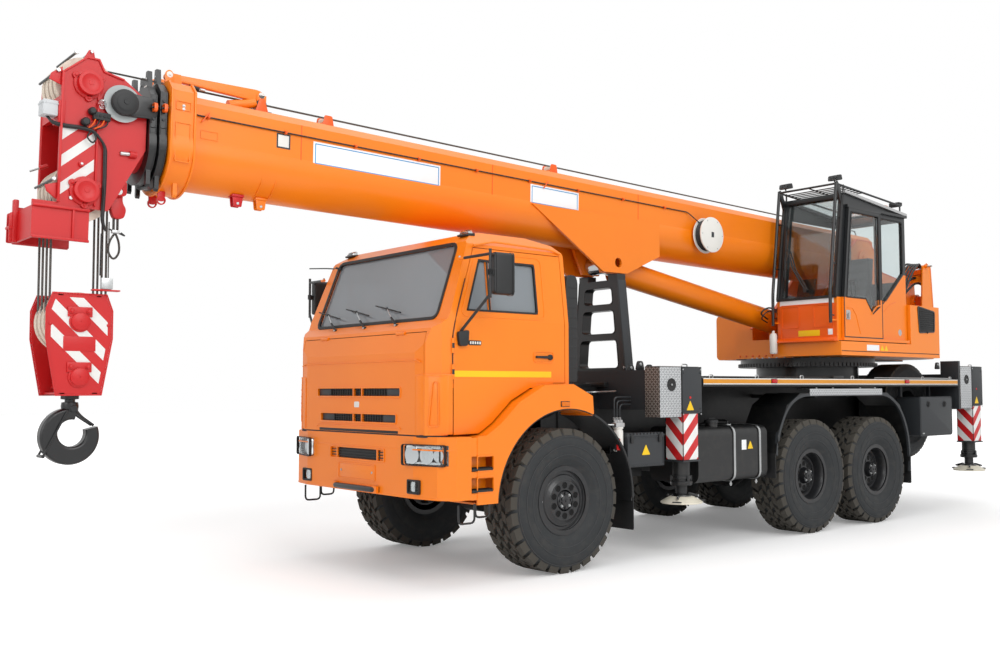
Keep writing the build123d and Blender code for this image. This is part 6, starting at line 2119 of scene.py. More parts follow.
@dataclass
class Turret:
    """The turntable's bolts, winch, valves and hoses."""

    slew: float = -5400
    bolt_circle: float = 800
    teeth: int = 96
    winch: Flat = (-6980, 2740)
    rope_turns: int = 26

    def build(self) -> None:
        """Makes every piece of the turntable."""
        self.ring()
        self.drum()
        self.valves()

    def ring(self) -> None:
        """Sets the ring of slewing bolts, and the row along the front plate."""
        piece = Piece("slewing_bolts", "turntable")
        places = [(x, y, 1955) for x, y in round_places((self.slew, 0), self.bolt_circle, 48)]
        piece.bolts(STEEL, [p for p in places if p[0] > -4700 or abs(p[1]) > 340], 13, 12, Axis.Z)
        for y in range(-500, 300, 100):
            piece.bolts(DEEP_ORANGE, [(-4660, y, 1990)], 11, 9, Axis.X)
        for sign in (1, -1):
            cheek = [
                (-4662, 2330), (-5100, 2530), (-5980, 3440), (-6110, 3540), (-6400, 3540),
                (-6520, 3420), (-6600, 3160), (-7100, 3080), (-7268, 2950)]
            piece.strip(
                DEEP_ORANGE, Face.SIDE, cheek, -14, ordered(sign * 294, sign * 341), False, 3)
        piece.done()
        teeth = Piece("slew_ring_teeth", "chassis")
        for k in range(self.teeth):
            turn = Matrix.Translation((self.slew, 0, 0)) @ Matrix.Rotation(
                2 * math.pi * k / self.teeth, 4, "Z")
            teeth.prism(
                FRAME_BLACK, Face.PLAN, [(858, -13), (872, -6), (872, 6), (858, 13)], (1850, 1892),
                0, place=turn)
        teeth.done()

    def drum(self) -> None:
        """Winds the rope on the winch and adds its motor."""
        x, z = self.winch
        piece = Piece("winch_rope", "turntable")
        profile = []
        for k in range(self.rope_turns):
            y = -250 + 500 * k / self.rope_turns
            profile += [(214, y), (222, y + 5), (224, y + 10), (222, y + 15)]
        piece.lathe(DRUM_ROPE, profile + [(214, 250)], (x, 0, z), Axis.Y, 48)
        piece.done()
        gear = Piece("winch_motor", "turntable")
        for k in range(10):
            a = k * math.pi / 5
            gear.bolts(STEEL, [(x + 128 * math.cos(a), 530, z + 128 * math.sin(a))], 10, 9)
            gear.bolts(STEEL, [(x + 84 * math.cos(a), 700, z + 84 * math.sin(a))], 8, 8)
        gear.prism(
            DEEP_ORANGE, Face.SIDE, slab((x - 70, x + 70), (z - 70, z + 70), 20), (700, 780), 8)
        gear.pipe(
            HOSE,
            [
                (x, 770, z + 60), (x + 40, 800, z + 260), (x + 200, 760, z + 330),
                (x + 420, 700, z + 160), (x + 560, 640, z - 80)],
            17, 120)
        gear.pipe(
            HOSE,
            [
                (x - 30, 770, z + 40), (x + 60, 850, z + 190), (x + 260, 820, z + 250),
                (x + 480, 760, z + 60), (x + 600, 700, z - 120)],
            15, 120)
        gear.done()

    def valves(self) -> None:
        """Stacks the valve block on its frame and runs its hoses over the cabinet."""
        piece = Piece("valve_block", "turntable")
        for k in range(6):
            x = -6920 + 26 * k
            piece.block(DEEP_ORANGE if k % 2 else STEEL, (x, x + 22), (664, 872), (3084, 3150), 3)
            for y in (700, 830):
                piece.disc(STEEL, (x + 11, y, 3150), 9, 22, Axis.Z, 6)
        for k in range(5):
            start = (-6900 + 30 * k, 700 + 40 * k, 3170)
            piece.pipe(
                HOSE,
                [
                    start, (start[0] + 30, start[1], 3236),
                    (-6560 + 20 * k, start[1] + 60, 3220 - 26 * k),
                    (-6320 + 26 * k, start[1] + 80, 2980 - 40 * k),
                    (-6270 + 20 * k, start[1] + 60, 2612)],
                13, 110)
        for y in (636, 900):
            piece.strip(
                ORANGE, Face.SIDE,
                [(-7040, 2322), (-6960, 3180), (-6860, 3230), (-6760, 3180), (-6700, 2322)], 8,
                (y - 4, y + 4), False, 2)
        piece.pipe(ORANGE, [(-6830, 620, 3190), (-6830, 930, 3190)], 22, 0, 14)
        piece.pipe(STEEL, [(-6830, 930, 3190), (-6830, 990, 3190)], 12, 0, 10)
        piece.pipe(
            HOSE, [(-7010, 760, 2900), (-7080, 780, 2960), (-7100, 800, 3080), (-7000, 800, 3120)],
            8, 50)
        piece.done()


# ---- boom, head and hook ------------------------------------------------------------------------
def boom_section(grow: float) -> list[Flat]:
    """Gives the boom's cross section, a box above and rounded below.

    Args:
        grow: how far it lies outside the base section's skin.

    Returns:
        Its corners across and up, in order.
    """
    w, h, bevel = BOOM_SIDE + grow, BOOM_TOP + grow, 70
    radius = (w * w + h * h) / (2 * h)
    reach = math.degrees(math.atan2(h - radius, w))
    return [
        (w, h - bevel), (w - bevel, h), (bevel - w, h),
        (-w, h - bevel)] + arc((0, radius - h), radius, 180 + reach, 360 - reach, 20)


@dataclass
class Boom:
    """The base section's collar, boards, cable, reel, guides and lugs, and the inner collars."""

    side: float = BOOM_SIDE
    boards: tuple[Span, ...] = ((6905, 8190), (5180, 5825))
    board_height: Span = (-30, 168)
    cable_z: float = 190
    reel: float = 3250.7

    def build(self) -> None:
        """Makes every piece of the boom."""
        self.collar()
        self.boards_and_seams()
        self.cable()
        self.cable_reel()
        self.guides()
        self.lugs()
        for number, start in ((2, 9422), (3, 9487)):
            self.inner_collar(number, start, -27.0 * (number - 1))

    def collar(self) -> None:
        """Adds the flanges, pockets and bolts of the base section's collar."""
        piece = Piece("boom_collar", "boom_base", ALONG_BOOM)
        for x in (9214, 9392):
            piece.strip(ORANGE, Face.FRONT, boom_section(56), -16, (x, x + 16), bevel=4)
        for y, low, high in ((262, 190, 262), (262, -60, 100), (262, -200, -90)):
            for sign in (1, -1):
                piece.strip(
                    ORANGE, Face.SIDE, slab((9250, 9370), (low, high), 10), 8,
                    ordered(sign * (y + 54), sign * (y + 64)), bevel=2)
        for sign in (1, -1):
            piece.bolts(ZINC, [(9310, sign * 318, z) for z in (226, 200)], 9, sign * 9)
        for y in (146, -162):
            piece.prism(
                ORANGE, Face.SIDE,
                rounded(
                    [(9330, 400), (9330, 500), (9352, 528), (9378, 528), (9398, 500), (9398, 400)],
                    14),
                (y, y + 16), 3)
        piece.prism(WHITE_TAPE, Face.SIDE, arc((9364, 492), 24, 0, 360, 18)[:-1], (162, 165), 0.5)
        piece.disc(ZINC, (9364, 164, 492), 8, 8, Axis.Y, 8)
        piece.done()

    def boards_and_seams(self) -> None:
        """Fixes the blank white boards with their blue lines, and runs the weld seams."""
        piece = Piece("boom_boards", "boom_base", ALONG_BOOM)
        low, high = self.board_height
        for start, end in self.boards:
            for sign in (1, -1):
                turn = flip(sign)
                piece.block(
                    SIGN_WHITE, (start, end), (self.side, self.side + 3), (low, high), 0.5,
                    place=turn)
                piece.strip(
                    SIGN_BLUE, Face.SIDE, slab((start + 16, end - 16), (low + 14, high - 14), 6), 8,
                    (self.side + 2.5, self.side + 4), bevel=0, place=turn)
        for sign in (1, -1):
            turn = flip(sign)
            piece.block(
                WHITE_TAPE, (8400, 8520), (self.side, self.side + 3), (60, 180), 0.5, place=turn)
            piece.strip(
                GREY_PAINT, Face.SIDE, rectangle((8400, 8520), (60, 180)), 12,
                (self.side + 2, self.side + 4), bevel=0, place=turn)
            piece.block(
                DEEP_ORANGE, (500, 9210), (self.side - 2, self.side + 3), (-76, -70), 1, place=turn)
            for x in (8300, 6300, 4300):
                piece.block(
                    DEEP_ORANGE, (x - 4, x + 4), (self.side - 2, self.side + 2.5), (-70, 280), 1,
                    place=turn)
            piece.strip(
                ORANGE, Face.SIDE, slab((9010, 9150), (20, 90), 8), 7,
                (self.side - 1, self.side + 5), place=turn)
        piece.done()

    def cable(self) -> None:
        """Clips the sensor cable along the left side."""
        piece = Piece("boom_cable", "boom_base", ALONG_BOOM)
        y, z = self.side + 13, self.cable_z
        piece.pipe(
            HOSE,
            [
                (self.reel + 80, y + 60, 60), (self.reel + 260, y, z), (9190, y, z),
                (9224, y + 50, z)],
            6, 30, 10)
        for x in range(3900, 9300, 650):
            piece.strip(
                DEEP_ORANGE, Face.FRONT, slab((self.side - 2, y + 14), (z - 14, z + 14), 8), 5,
                (x - 9, x + 9), bevel=1.5)
            piece.disc(DEEP_ORANGE, (x, y, z), 10, 26, Axis.Y, 12)
        for x in (9120, 5640):
            piece.pipe(
                DEEP_ORANGE, [(x, y + 10, z), (x - 26, y + 16, z + 34), (x + 34, y + 12, z - 46)],
                6, 10, 8)
        piece.done()

    def cable_reel(self) -> None:
        """Faces the cable reel: a black drum under its pale cover."""
        piece = Piece("boom_cable_reel", "boom_base", ALONG_BOOM)
        x, z = self.reel, -50
        drum = [(150, 306)]
        for k in range(8):
            drum += [(171, 312 + 11 * k), (175, 317 + 11 * k), (171, 322 + 11 * k)]
        piece.lathe(HOSE, drum, (x, 0, z), Axis.Y, 56)
        cover = [(170, 397), (197, 399), (200, 406), (198, 414), (186, 418), (60, 421), (0, 422)]
        piece.lathe(WHITE_TAPE, cover, (x, 0, z), Axis.Y, 64)
        piece.block(GREY_PAINT, (x - 22, x + 22), (421, 423), (z - 30, z + 30), 1)
        piece.lathe(WHITE_TAPE, [(196, 300), (200, 306), (196, 312)], (x, 0, z), Axis.Y, 64)
        piece.bolts(ZINC, [(a, 417, b) for a, b in round_places((x, z), 172, 6)], 6, 4)
        piece.done()

    def guides(self) -> None:
        """Adds the jib arm's ends, its roller and the rope's guide rollers on top."""
        piece = Piece("boom_rope_guides", "boom_base", ALONG_BOOM)
        piece.prism(
            ORANGE, Face.SIDE,
            rounded(
                [(9380, 516), (9380, 470), (8640, 446), (8570, 470), (8560, 520), (8620, 540)], 24),
            (66, 114), 6)
        roller = [(0, 60), (26, 60), (26, 66), (14, 66), (14, 114), (26, 114), (26, 120), (0, 120)]
        piece.lathe(WHITE_TAPE, roller, (8590, 0, 498), Axis.Y, 20)
        piece.lathe(
            GREY_PAINT, [(12, 54), (42, 56), (46, 66), (46, 116), (42, 126), (12, 128)],
            (8590, 0, 424), Axis.Y, 28)
        piece.block(DEEP_ORANGE, (8520, 8660), (56, 126), (350, 366), 3)
        for y in (52, 124):
            piece.prism(
                DEEP_ORANGE, Face.SIDE, [(8530, 352), (8650, 352), (8612, 470), (8568, 470)],
                (y, y + 8), 2)
        for x in (5345, 7945):
            for y in (-66, 58):
                piece.prism(
                    DEEP_ORANGE, Face.SIDE,
                    rounded([(x - 60, 352), (x + 60, 352), (x + 36, 470), (x - 36, 470)], 14),
                    (y, y + 8), 2)
            piece.lathe(
                NYLON, [(10, -56), (34, -54), (26, -20), (26, 20), (34, 54), (10, 56)], (x, 0, 430),
                Axis.Y, 24)
        piece.pipe(SEAL, [(9206, 150, 436), (9130, 150, 430)], 16, 0, 12)
        piece.disc(ZINC, (9120, 150, 430), 10, -40, Axis.X, 12)
        piece.pipe(ORANGE, [(8640, 90, 436), (8700, 90, 412), (8860, 90, 372)], 40, 60, 16)
        piece.block(SEAL, (8500, 8680), (60, 122), (364, 376), 3)
        piece.done()

    def lugs(self) -> None:
        """Hangs the lugs under the base section."""
        piece = Piece("boom_lugs", "boom_base", ALONG_BOOM)
        for x, finish in ((8760, RED), (8560, ORANGE)):
            for y in (40, 92):
                piece.prism(
                    finish, Face.SIDE,
                    rounded([(x - 46, -330), (x + 46, -330), (x + 34, -430), (x - 34, -430)], 12),
                    (y, y + 9), 2)
            piece.block(finish, (x - 50, x + 50), (30, 110), (-352, -334), 3)
            piece.disc(ZINC, (x, 36, -404), 12, 70, Axis.Y, 14)
        for x in (8500, 8620):
            for sign in (1, -1):
                rib = [
                    (sign * 264, -60), (sign * 256, -170), (sign * 224, -250), (sign * 170, -310),
                    (sign * 100, -340)]
                piece.strip(ORANGE, Face.FRONT, rib, -14 * sign, (x, x + 8), False, 2)
        for y in (-90, 90):
            piece.prism(
                RED, Face.SIDE,
                rounded([(9340, -380), (9400, -380), (9396, -470), (9344, -470)], 20),
                (y - 7, y + 7), 2)
            piece.strip(RED, Face.SIDE, arc((9370, -462), 26, 0, 360, 16)[:-1], -9, (y - 9, y + 9))
        piece.done()

    def inner_collar(self, number: int, start: float, grow: float) -> None:
        """Ribs an inner section's collar and adds its cable guides and pins.

        Args:
            number: which section.
            start: where its collar starts along the boom.
            grow: how far its skin lies outside the base section's.
        """
        piece = Piece(f"boom_collar_{number}", f"boom_section_{number}", ALONG_BOOM)
        edge = boom_section(grow + 50)
        for x in (start, start + 45):
            piece.strip(FRAME_BLACK, Face.FRONT, edge, -12, (x, x + 10), bevel=3)
        for z in (180, 40, -120):
            for sign in (1, -1):
                y = sign * (self.side + grow + 58)
                piece.block(
                    FRAME_BLACK, (start + 8, start + 46), ordered(y - sign * 14, y + sign * 8),
                    (z - 6, z + 6), 2)
                piece.disc(GREY_PAINT, (start + 28, y - sign * 2, z + 60), 11, sign * 12, Axis.Y, 8)
        for sign in (1, -1):
            piece.disc(ZINC, (start + 8, sign * 146, 480 + grow), 10, 40, Axis.X, 12)
        piece.block(
            WHITE_TAPE, (start + 8, start + 46), (100, 150), (392 + grow + 12, 430 + grow), 2)
        clip_y = self.side + grow + 66
        piece.strip(
            DEEP_ORANGE, Face.FRONT, slab((clip_y - 8, clip_y + 44), (150, 214), 20), 8,
            (start + 14, start + 40), bevel=3)
        piece.pipe(HOSE, [(start + 2, clip_y + 20, 190), (start + 56, clip_y + 22, 176)], 8, 0, 10)
        piece.done()


@dataclass
class BoomHead:
    """The head's plates, stripes, hubs, boxes, cables, sheaves, rope socket and limit weight."""

    axle: float = 9970
    anchor: Flat = (3465, 3028)
    plate: float = 225
    upper: float = 270
    lower: float = -500

    def build(self) -> None:
        """Makes every piece of the head."""
        self.plates()
        self.hubs()
        self.sheaves()
        self.electrics()
        self.reel()
        self.aux()

    def plates(self) -> None:
        """Adds the plates' ribs, flanges and white diagonal bands."""
        piece = Piece("boom_head_ribs", "boom_head", ALONG_BOOM)
        x = self.axle
        panel = rectangle((x - 58, x + 166), (-600, -60))
        for sign in (1, -1):
            turn = flip(sign)
            piece.block(
                RED, (x + 168, x + 184), (self.plate - 4, self.plate + 22), (-600, 330), 3,
                place=turn)
            piece.block(
                RED, (x - 78, x - 64), (self.plate - 4, self.plate + 18), (-600, 352), 3,
                place=turn)
            crown = [
                (x + 180, 330), (x + 110, 390), (x + 20, 470), (x - 70, 470), (x - 110, 390),
                (x - 250, 360)]
            piece.strip(
                RED, Face.SIDE, crown, 14, (self.plate - 3, self.plate + 12), False, 3, place=turn)
            for middle in (-405, -208, -18):
                level = middle + 0.9 * (x + 54)
                band = between(panel, (0.9, 1.0), level - 42, level + 42)
                if len(band) > 2:
                    piece.prism(
                        WHITE_BAND, Face.SIDE, band, (self.plate, self.plate + 2), 0, place=turn)
            for z in (-646, -866):
                piece.block(
                    RED, (x - 40, x + 340), (self.plate, self.plate + 22), (z, z + 18), 3,
                    place=turn)
            piece.block(
                RED, (x + 60, x + 76), (self.plate, self.plate + 16), (-850, -640), 3, place=turn)
        piece.prism(
            RED, Face.SIDE,
            rounded([(x + 336, -560), (x + 372, -560), (x + 372, -868), (x + 336, -868)], 10),
            (-150, -110), 4)
        for y in (-200, -140):
            piece.prism(
                RED, Face.SIDE,
                rounded([(x + 338, -640), (x + 392, -656), (x + 392, -866), (x + 338, -866)], 12),
                (y, y + 14), 3)
        piece.disc(RED, (x + 382, -214, -760), 14, 100, Axis.Y, 16)
        for span in ((130, 146), (-146, -130)):
            piece.prism(
                RED, Face.SIDE, [(x + 20, 470), (x - 20, 548), (x - 52, 548), (x - 70, 470)], span,
                4)
        piece.pipe(ZINC, [(x - 36, -160, 534), (x - 36, 160, 534)], 9, 0, 10)
        piece.done()

    def hubs(self) -> None:
        """Caps the two sheave axles with eared flanges and bolts."""
        piece = Piece("boom_head_hubs", "boom_head", ALONG_BOOM)
        for z in (self.upper, self.lower):
            for sign in (1, -1):
                turn = flip(sign)
                centre = (self.axle, 0, z)
                piece.lathe(
                    RED, [(104, self.plate), (104, self.plate + 14), (88, self.plate + 18)], centre,
                    Axis.Y, 32, place=turn)
                cap = [
                    (84, self.plate + 54), (86, self.plate + 57), (84, self.plate + 62),
                    (64, self.plate + 63), (60, self.plate + 60), (18, self.plate + 60),
                    (16, self.plate + 64), (0, self.plate + 64)]
                piece.lathe(RED, cap, centre, Axis.Y, 32, place=turn)
                ear = self.plate + 8
                for ear_x, ear_z in round_places((self.axle, z), 100, 3, 0.5):
                    piece.disc(RED, (ear_x, sign * ear, ear_z), 26, sign * 10, Axis.Y, 16)
                    piece.bolts(RED, [(ear_x, sign * (ear + 10), ear_z)], 11, sign * 10)
        piece.done()

    def sheaves(self) -> None:
        """Faces the rope sheaves in cast nylon and adds the rope keepers."""
        piece = Piece("boom_head_sheaves", "boom_head", ALONG_BOOM)
        for z in (self.upper, self.lower):
            for y in falls():
                piece.lathe(NYLON, sheave_rim(y, 206.6, 207), (self.axle, 0, z), Axis.Y, 48)
            for x, rise in ((self.axle + 206, 60), (self.axle + 90, 214 if z > 0 else -60)):
                piece.pipe(FRAME_BLACK, [(x, -218, z + rise), (x, 218, z + rise)], 9, 0, 10)
                piece.disc(ZINC, (x, 216, z + rise), 15, 22, Axis.Y, 6)
        for z, up in ((self.upper - 40, 150), (self.lower + 40, -140)):
            piece.prism(
                RED, Face.SIDE,
                [
                    (self.axle + 176, z), (self.axle + 262, z + up * 0.2),
                    (self.axle + 250, z + up * 0.5), (self.axle + 176, z + up * 0.9)],
                (205, 219), 3)
        piece.done()

    def electrics(self) -> None:
        """Adds the junction box, plugs, lamp, horn and the cable bundle."""
        piece = Piece("boom_head_cables", "boom_head", ALONG_BOOM)
        x = self.axle
        piece.block(GREY_BOX, (x + 196, x + 296), (110, 226), (4, 112), 8)
        piece.block(GREY_BOX, (x + 192, x + 300), (106, 230), (84, 96), 3)
        piece.block(RED, (x + 150, x + 196), (100, 236), (-40, 120), 4)
        bundle = [
            (x + 250, 170, 0), (x + 230, 210, -46), (x + 150, 240, -60), (x + 60, 252, -56),
            (x - 40, 252, -62), (x - 124, 250, -160), (x - 130, 246, -400), (x - 124, 244, -700),
            (x - 150, 230, -760)]
        for k in range(3):
            shift = Vector((6 * k - 6, 7 * (k % 2), 7 * k - 7))
            piece.pipe(HOSE, [tuple(Vector(p) + shift) for p in bundle], 8.5, 40, 10)
        for y, z, r in ((250, -10, 30), (250, 76, 26)):
            piece.lathe(
                PLASTIC,
                [(r * 0.6, y - 24), (r, y - 12), (r, y + 22), (r * 0.7, y + 34), (0, y + 36)],
                (x + 20 - (z + 10) * 0.5, 0, z), Axis.Y, 20)
        piece.block(PLASTIC, (x - 150, x - 30), (232, 270), (20, 76), 6)
        for k in range(4):
            piece.disc(SEAL, (x - 136 + 30 * k, 268, 48), 10, 8, Axis.Y, 12)
            piece.pipe(
                DEEP_ORANGE if k % 2 else HOSE,
                [
                    (x - 136 + 30 * k, 262, 22), (x - 120 + 30 * k, 270, -20),
                    (x - 60 + 20 * k, 262, -50)],
                5, 20, 8)
        loop = [
            (x - 20, 254, -66), (x + 10, 262, -120), (x - 30, 268, -160), (x - 60, 262, -120),
            (x - 40, 256, -80)]
        piece.pipe(HOSE, loop, 6, 22, 8)
        piece.lathe(
            LENS, [(0, 236), (26, 238), (34, 250), (30, 262), (0, 270)], (x - 90, 0, 140), Axis.Y,
            20)
        piece.pipe(STEEL, [(x - 236, 236, -190), (x - 336, 240, -186)], 14, 0, 12)
        piece.pipe(RED, [(x - 300, 240, -187), (x - 350, 240, -186)], 24, 0, 12)
        piece.pipe(ZINC, [(x + 176, -40, -300), (x + 290, -60, -356)], 7, 0, 8)
        piece.pipe(RED, [(x + 176, -40, -300), (x + 230, -50, -326)], 14, 0, 10)
        piece.disc(RED, (x + 30, 225, -310), 20, 22, Axis.Y, 16)
        piece.disc(ZINC, (x + 30, 246, -310), 10, 8, Axis.Y, 6)
        piece.done()

    def reel(self) -> None:
        """Mounts the small cable drum beside the head, on the third section's collar."""
        piece = Piece("head_cable_drum", "boom_section_3", ALONG_BOOM)
        x, z = self.axle - 235, 170
        piece.prism(
            FRAME_BLACK, Face.SIDE,
            rounded(
                [(9480, z + 76), (x - 10, z + 92), (x + 60, z), (x - 10, z - 92), (9480, z - 70)],
                60),
            (258, 270), 3)
        piece.lathe(
            SMOKED_RIM, [(92, 244), (134, 248), (136, 256), (92, 258)], (x, 0, z), Axis.Y, 40)
        drum = [
            (40, 270), (88, 270), (94, 276), (94, 318), (86, 324), (50, 326), (46, 320), (0, 320)]
        piece.lathe(HOSE, drum, (x, 0, z), Axis.Y, 40)
        piece.lathe(
            PLASTIC, [(64, 324), (68, 330), (60, 333), (20, 333), (18, 338), (0, 338)], (x, 0, z),
            Axis.Y, 28)
        piece.pipe(
            HOSE, [(x, 300, z - 92), (x - 100, 300, z - 86), (9545, 300, 92), (9540, 290, 60)], 7,
            30, 8)
        piece.done()

    def aux(self) -> None:
        """Hangs the rope's wedge socket and loop from the head, and the weight from the falls."""
        x, z = self.anchor
        plates = Piece("rope_anchor_plates", "boom_head")
        for y in (136, 46):
            plates.prism(
                RED, Face.SIDE,
                rounded(
                    [(x - 60, z + 90), (x - 60, z - 26), (x + 60, z - 40), (x + 130, z + 60)], 30),
                (y, y + 22), 4)
        plates.disc(STEEL, (x, 34, z), 24, 140, Axis.Y, 20)
        plates.disc(ZINC, (x, 168, z), 14, 12, Axis.Y, 6)
        plates.done()
        piece = Piece("rope_socket", "boom_head")
        piece.prism(
            RED, Face.SIDE,
            rounded(
                [
                    (x - 42, z - 20), (x - 46, z + 30), (x - 10, z + 62), (x + 32, z + 54),
                    (x + 46, z + 10), (x + 34, z - 60), (x + 46, z - 130), (x + 20, z - 196),
                    (x - 52, z - 188), (x - 70, z - 120), (x - 40, z - 70)],
                24),
            (74, 130), 8)
        for dx in (-14, 14):
            piece.pipe(ROPE, [(x + dx, 102, z - 190), (x + dx, 102, z - 280)], 9, 0, 10)
        loop = [
            (x - 10, 102, z - 280), (x + 40, 102, z - 350), (x + 54, 100, z - 440),
            (x + 10, 98, z - 500), (x - 34, 98, z - 440), (x - 26, 100, z - 350),
            (x + 10, 102, z - 280)]
        piece.pipe(ROPE, loop, 8, 40, 10)
        piece.block(STEEL, (x - 26, x + 28), (88, 118), (z - 300, z - 276), 4)
        piece.pipe(
            FRAME_BLACK, [(x - 40, 100, z - 290), (x - 72, 100, z - 312), (x + 50, 104, z - 270)],
            6, 10, 8)
        piece.done()
        weight = Piece("limit_weight", "rope_falls")
        weight.pipe(HOSE, [(3606, 226, 2700), (3606, 216, 2400)], 5, 0, 8)
        weight.block(ZINC, (3520, 3600), (196, 236), (2304, 2384), 5)
        weight.pipe(ROPE, [(3530, 160, 2800), (3540, 190, 2380)], 4.5, 0, 8)
        weight.block(RED, (3470, 3660), (188, 244), (2290, 2300), 2)
        weight.done()


@dataclass
class Rope:
    """The hoist rope: one length on each boom section, all in line, and the lead from the winch."""

    line_z: float = 461
    start: float = -340
    lengths: tuple[tuple[str, float, float], ...] = (
        ("boom_base", -340, 9400), ("boom_section_2", 1500, 9470), ("boom_section_3", 1560, 9530),
        ("boom_head", 1620, 9970))
    winch_exit: Point = (-7090, 0, 2932)
    lead_steps: int = 12

    def build(self) -> None:
        """Lays the rope along the boom."""
        for number, (body, start, end) in enumerate(self.lengths):
            piece = Piece(f"hoist_rope_{number}", body, ALONG_BOOM)
            piece.pipe(
                TOP_ROPE, [(start, 0, self.line_z), (end, 0, self.line_z)], 8.0 - 0.3 * number, 0,
                10)
            piece.done()
        lead = Piece("hoist_rope_lead", "turntable")
        foot, tip = Vector(self.winch_exit), MM.inverted() @ ALONG_BOOM @ Vector(
            (self.start, 0, self.line_z))
        steps = [foot.lerp(tip, k / self.lead_steps) for k in range(self.lead_steps + 1)]
        lead.pipe(TOP_ROPE, [tuple(p) for p in steps], 8, 0, 10)
        made = lead.done()
        made.parent, made.matrix_world = None, Matrix.Identity(4)
        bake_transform(made)


@dataclass
class HookBlock:
    """The hook block's rope tails, bands, caps, bolts and sheave faces, and the hook's latch."""

    station: float = 3728
    fall_reach: float = 190
    tail_top: float = 3070
    tail_radius: float = 6.4
    plate: float = 185
    caps: tuple[float, float] = (2066, 1676)

    def build(self) -> None:
        """Makes every piece of the block and hook."""
        x = self.station
        tails = Piece("rope_tails", "hook_block")
        for y in falls():
            for reach in (-self.fall_reach, self.fall_reach):
                tails.pipe(
                    ROPE, [(x + reach, y, z) for z in (self.caps[0], self.tail_top)],
                    self.tail_radius, 0, 8)
        tails.done()
        piece = Piece("hook_block_faces", "hook_block")
        face = [
            (x + 160, 2236), (x + 192, 2140), (x + 192, 1950), (x + 128, 1590), (x - 128, 1590),
            (x - 192, 1950), (x - 192, 2140), (x - 160, 2236)]
        edge = [
            (x + 180, 2260), (x + 220, 2150), (x + 220, 1950), (x + 150, 1554), (x - 150, 1554),
            (x - 220, 1950), (x - 220, 2150), (x - 180, 2260)]
        for sign in (1, -1):
            turn = flip(sign)
            piece.strip(
                RED, Face.SIDE, edge, 10, (self.plate - 2, self.plate + 7), bevel=3, place=turn)
            for start in (-2260, -2055, -1860):
                band = between(face, (1.0, -1.0), x + start, x + start + 96)
                piece.prism(
                    WHITE_BAND, Face.SIDE, band, (self.plate, self.plate + 1.5), 0, place=turn)
            piece.block(
                RED, (x - 110, x + 110), (self.plate, self.plate + 3), (1858, 1962), 1, place=turn)
            for z in self.caps:
                piece.block(
                    RED, (x - 84, x + 84), (self.plate, self.plate + 12), (z + 34, z + 104), 4,
                    place=turn)
                cap = [
                    (74, self.plate), (74, self.plate + 10), (62, self.plate + 12),
                    (62, self.plate + 26), (56, self.plate + 30), (6, self.plate + 30),
                    (5, self.plate + 26), (0, self.plate + 26)]
                piece.lathe(RED, cap, (x, 0, z), Axis.Y, 32, place=turn)
                for dx in (-58, 58):
                    piece.disc(
                        RED, (x + dx, sign * (self.plate + 12), z + 72), 20, sign * 6, Axis.Y, 16)
                    piece.bolts(RED, [(x + dx, sign * (self.plate + 17), z + 72)], 12, sign * 12)
            piece.bolts(RED, [(x + dx, sign * self.plate, 2046) for dx in (-196, 196)], 9, sign * 8)
        for z, w in ((2252, 150), (1562, 130)):
            for low in (x - w, x + w - 40):
                piece.block(RED, (low, low + 40), (-self.plate, self.plate), (z - 8, z + 6), 3)
        piece.block(RED, (x - 96, x + 96), (-122, 122), (1598, 1612), 4)
        for y in falls():
            piece.lathe(NYLON, sheave_rim(y, 210, 211), (x, 0, self.caps[0]), Axis.Y, 48)
        piece.done()
        self.hook()

    def hook(self) -> None:
        """Adds the hook's nut, collar and safety latch."""
        x = self.station
        piece = Piece("hook_latch", "hook")
        piece.lathe(
            FRAME_BLACK, [(36, 1500), (56, 1496), (60, 1470), (56, 1440), (40, 1420)], (x, 0, 0),
            Axis.Z, 32)
        piece.lathe(
            FRAME_BLACK, [(36, 1552), (64, 1550), (64, 1520), (36, 1516)], (x, 0, 0), Axis.Z, 8)
        for y in (-56, 56):
            piece.pipe(
                FRAME_BLACK, [(x - 20, y, 1450), (x - 60, y * 0.7, 1400), (x - 158, y * 0.4, 1330)],
                10, 30, 10)
            piece.pipe(FRAME_BLACK, [(x + 30, y, 1440), (x + 190, y, 1120)], 8, 0, 8)
            piece.disc(
                FRAME_BLACK, (x - 10, y - math.copysign(8, y), 1452), 24, math.copysign(18, y),
                Axis.Y, 16)
        piece.pipe(FRAME_BLACK, [(x + 190, -60, 1120), (x + 190, 60, 1120)], 12, 0, 10)
        piece.done()


ASSEMBLIES: tuple[type, ...] = (
    RoadWheels, DriverCab, Bumper, Outriggers, SideEquipment, CraneCab, Turret, Boom, BoomHead,
    Rope, HookBlock)


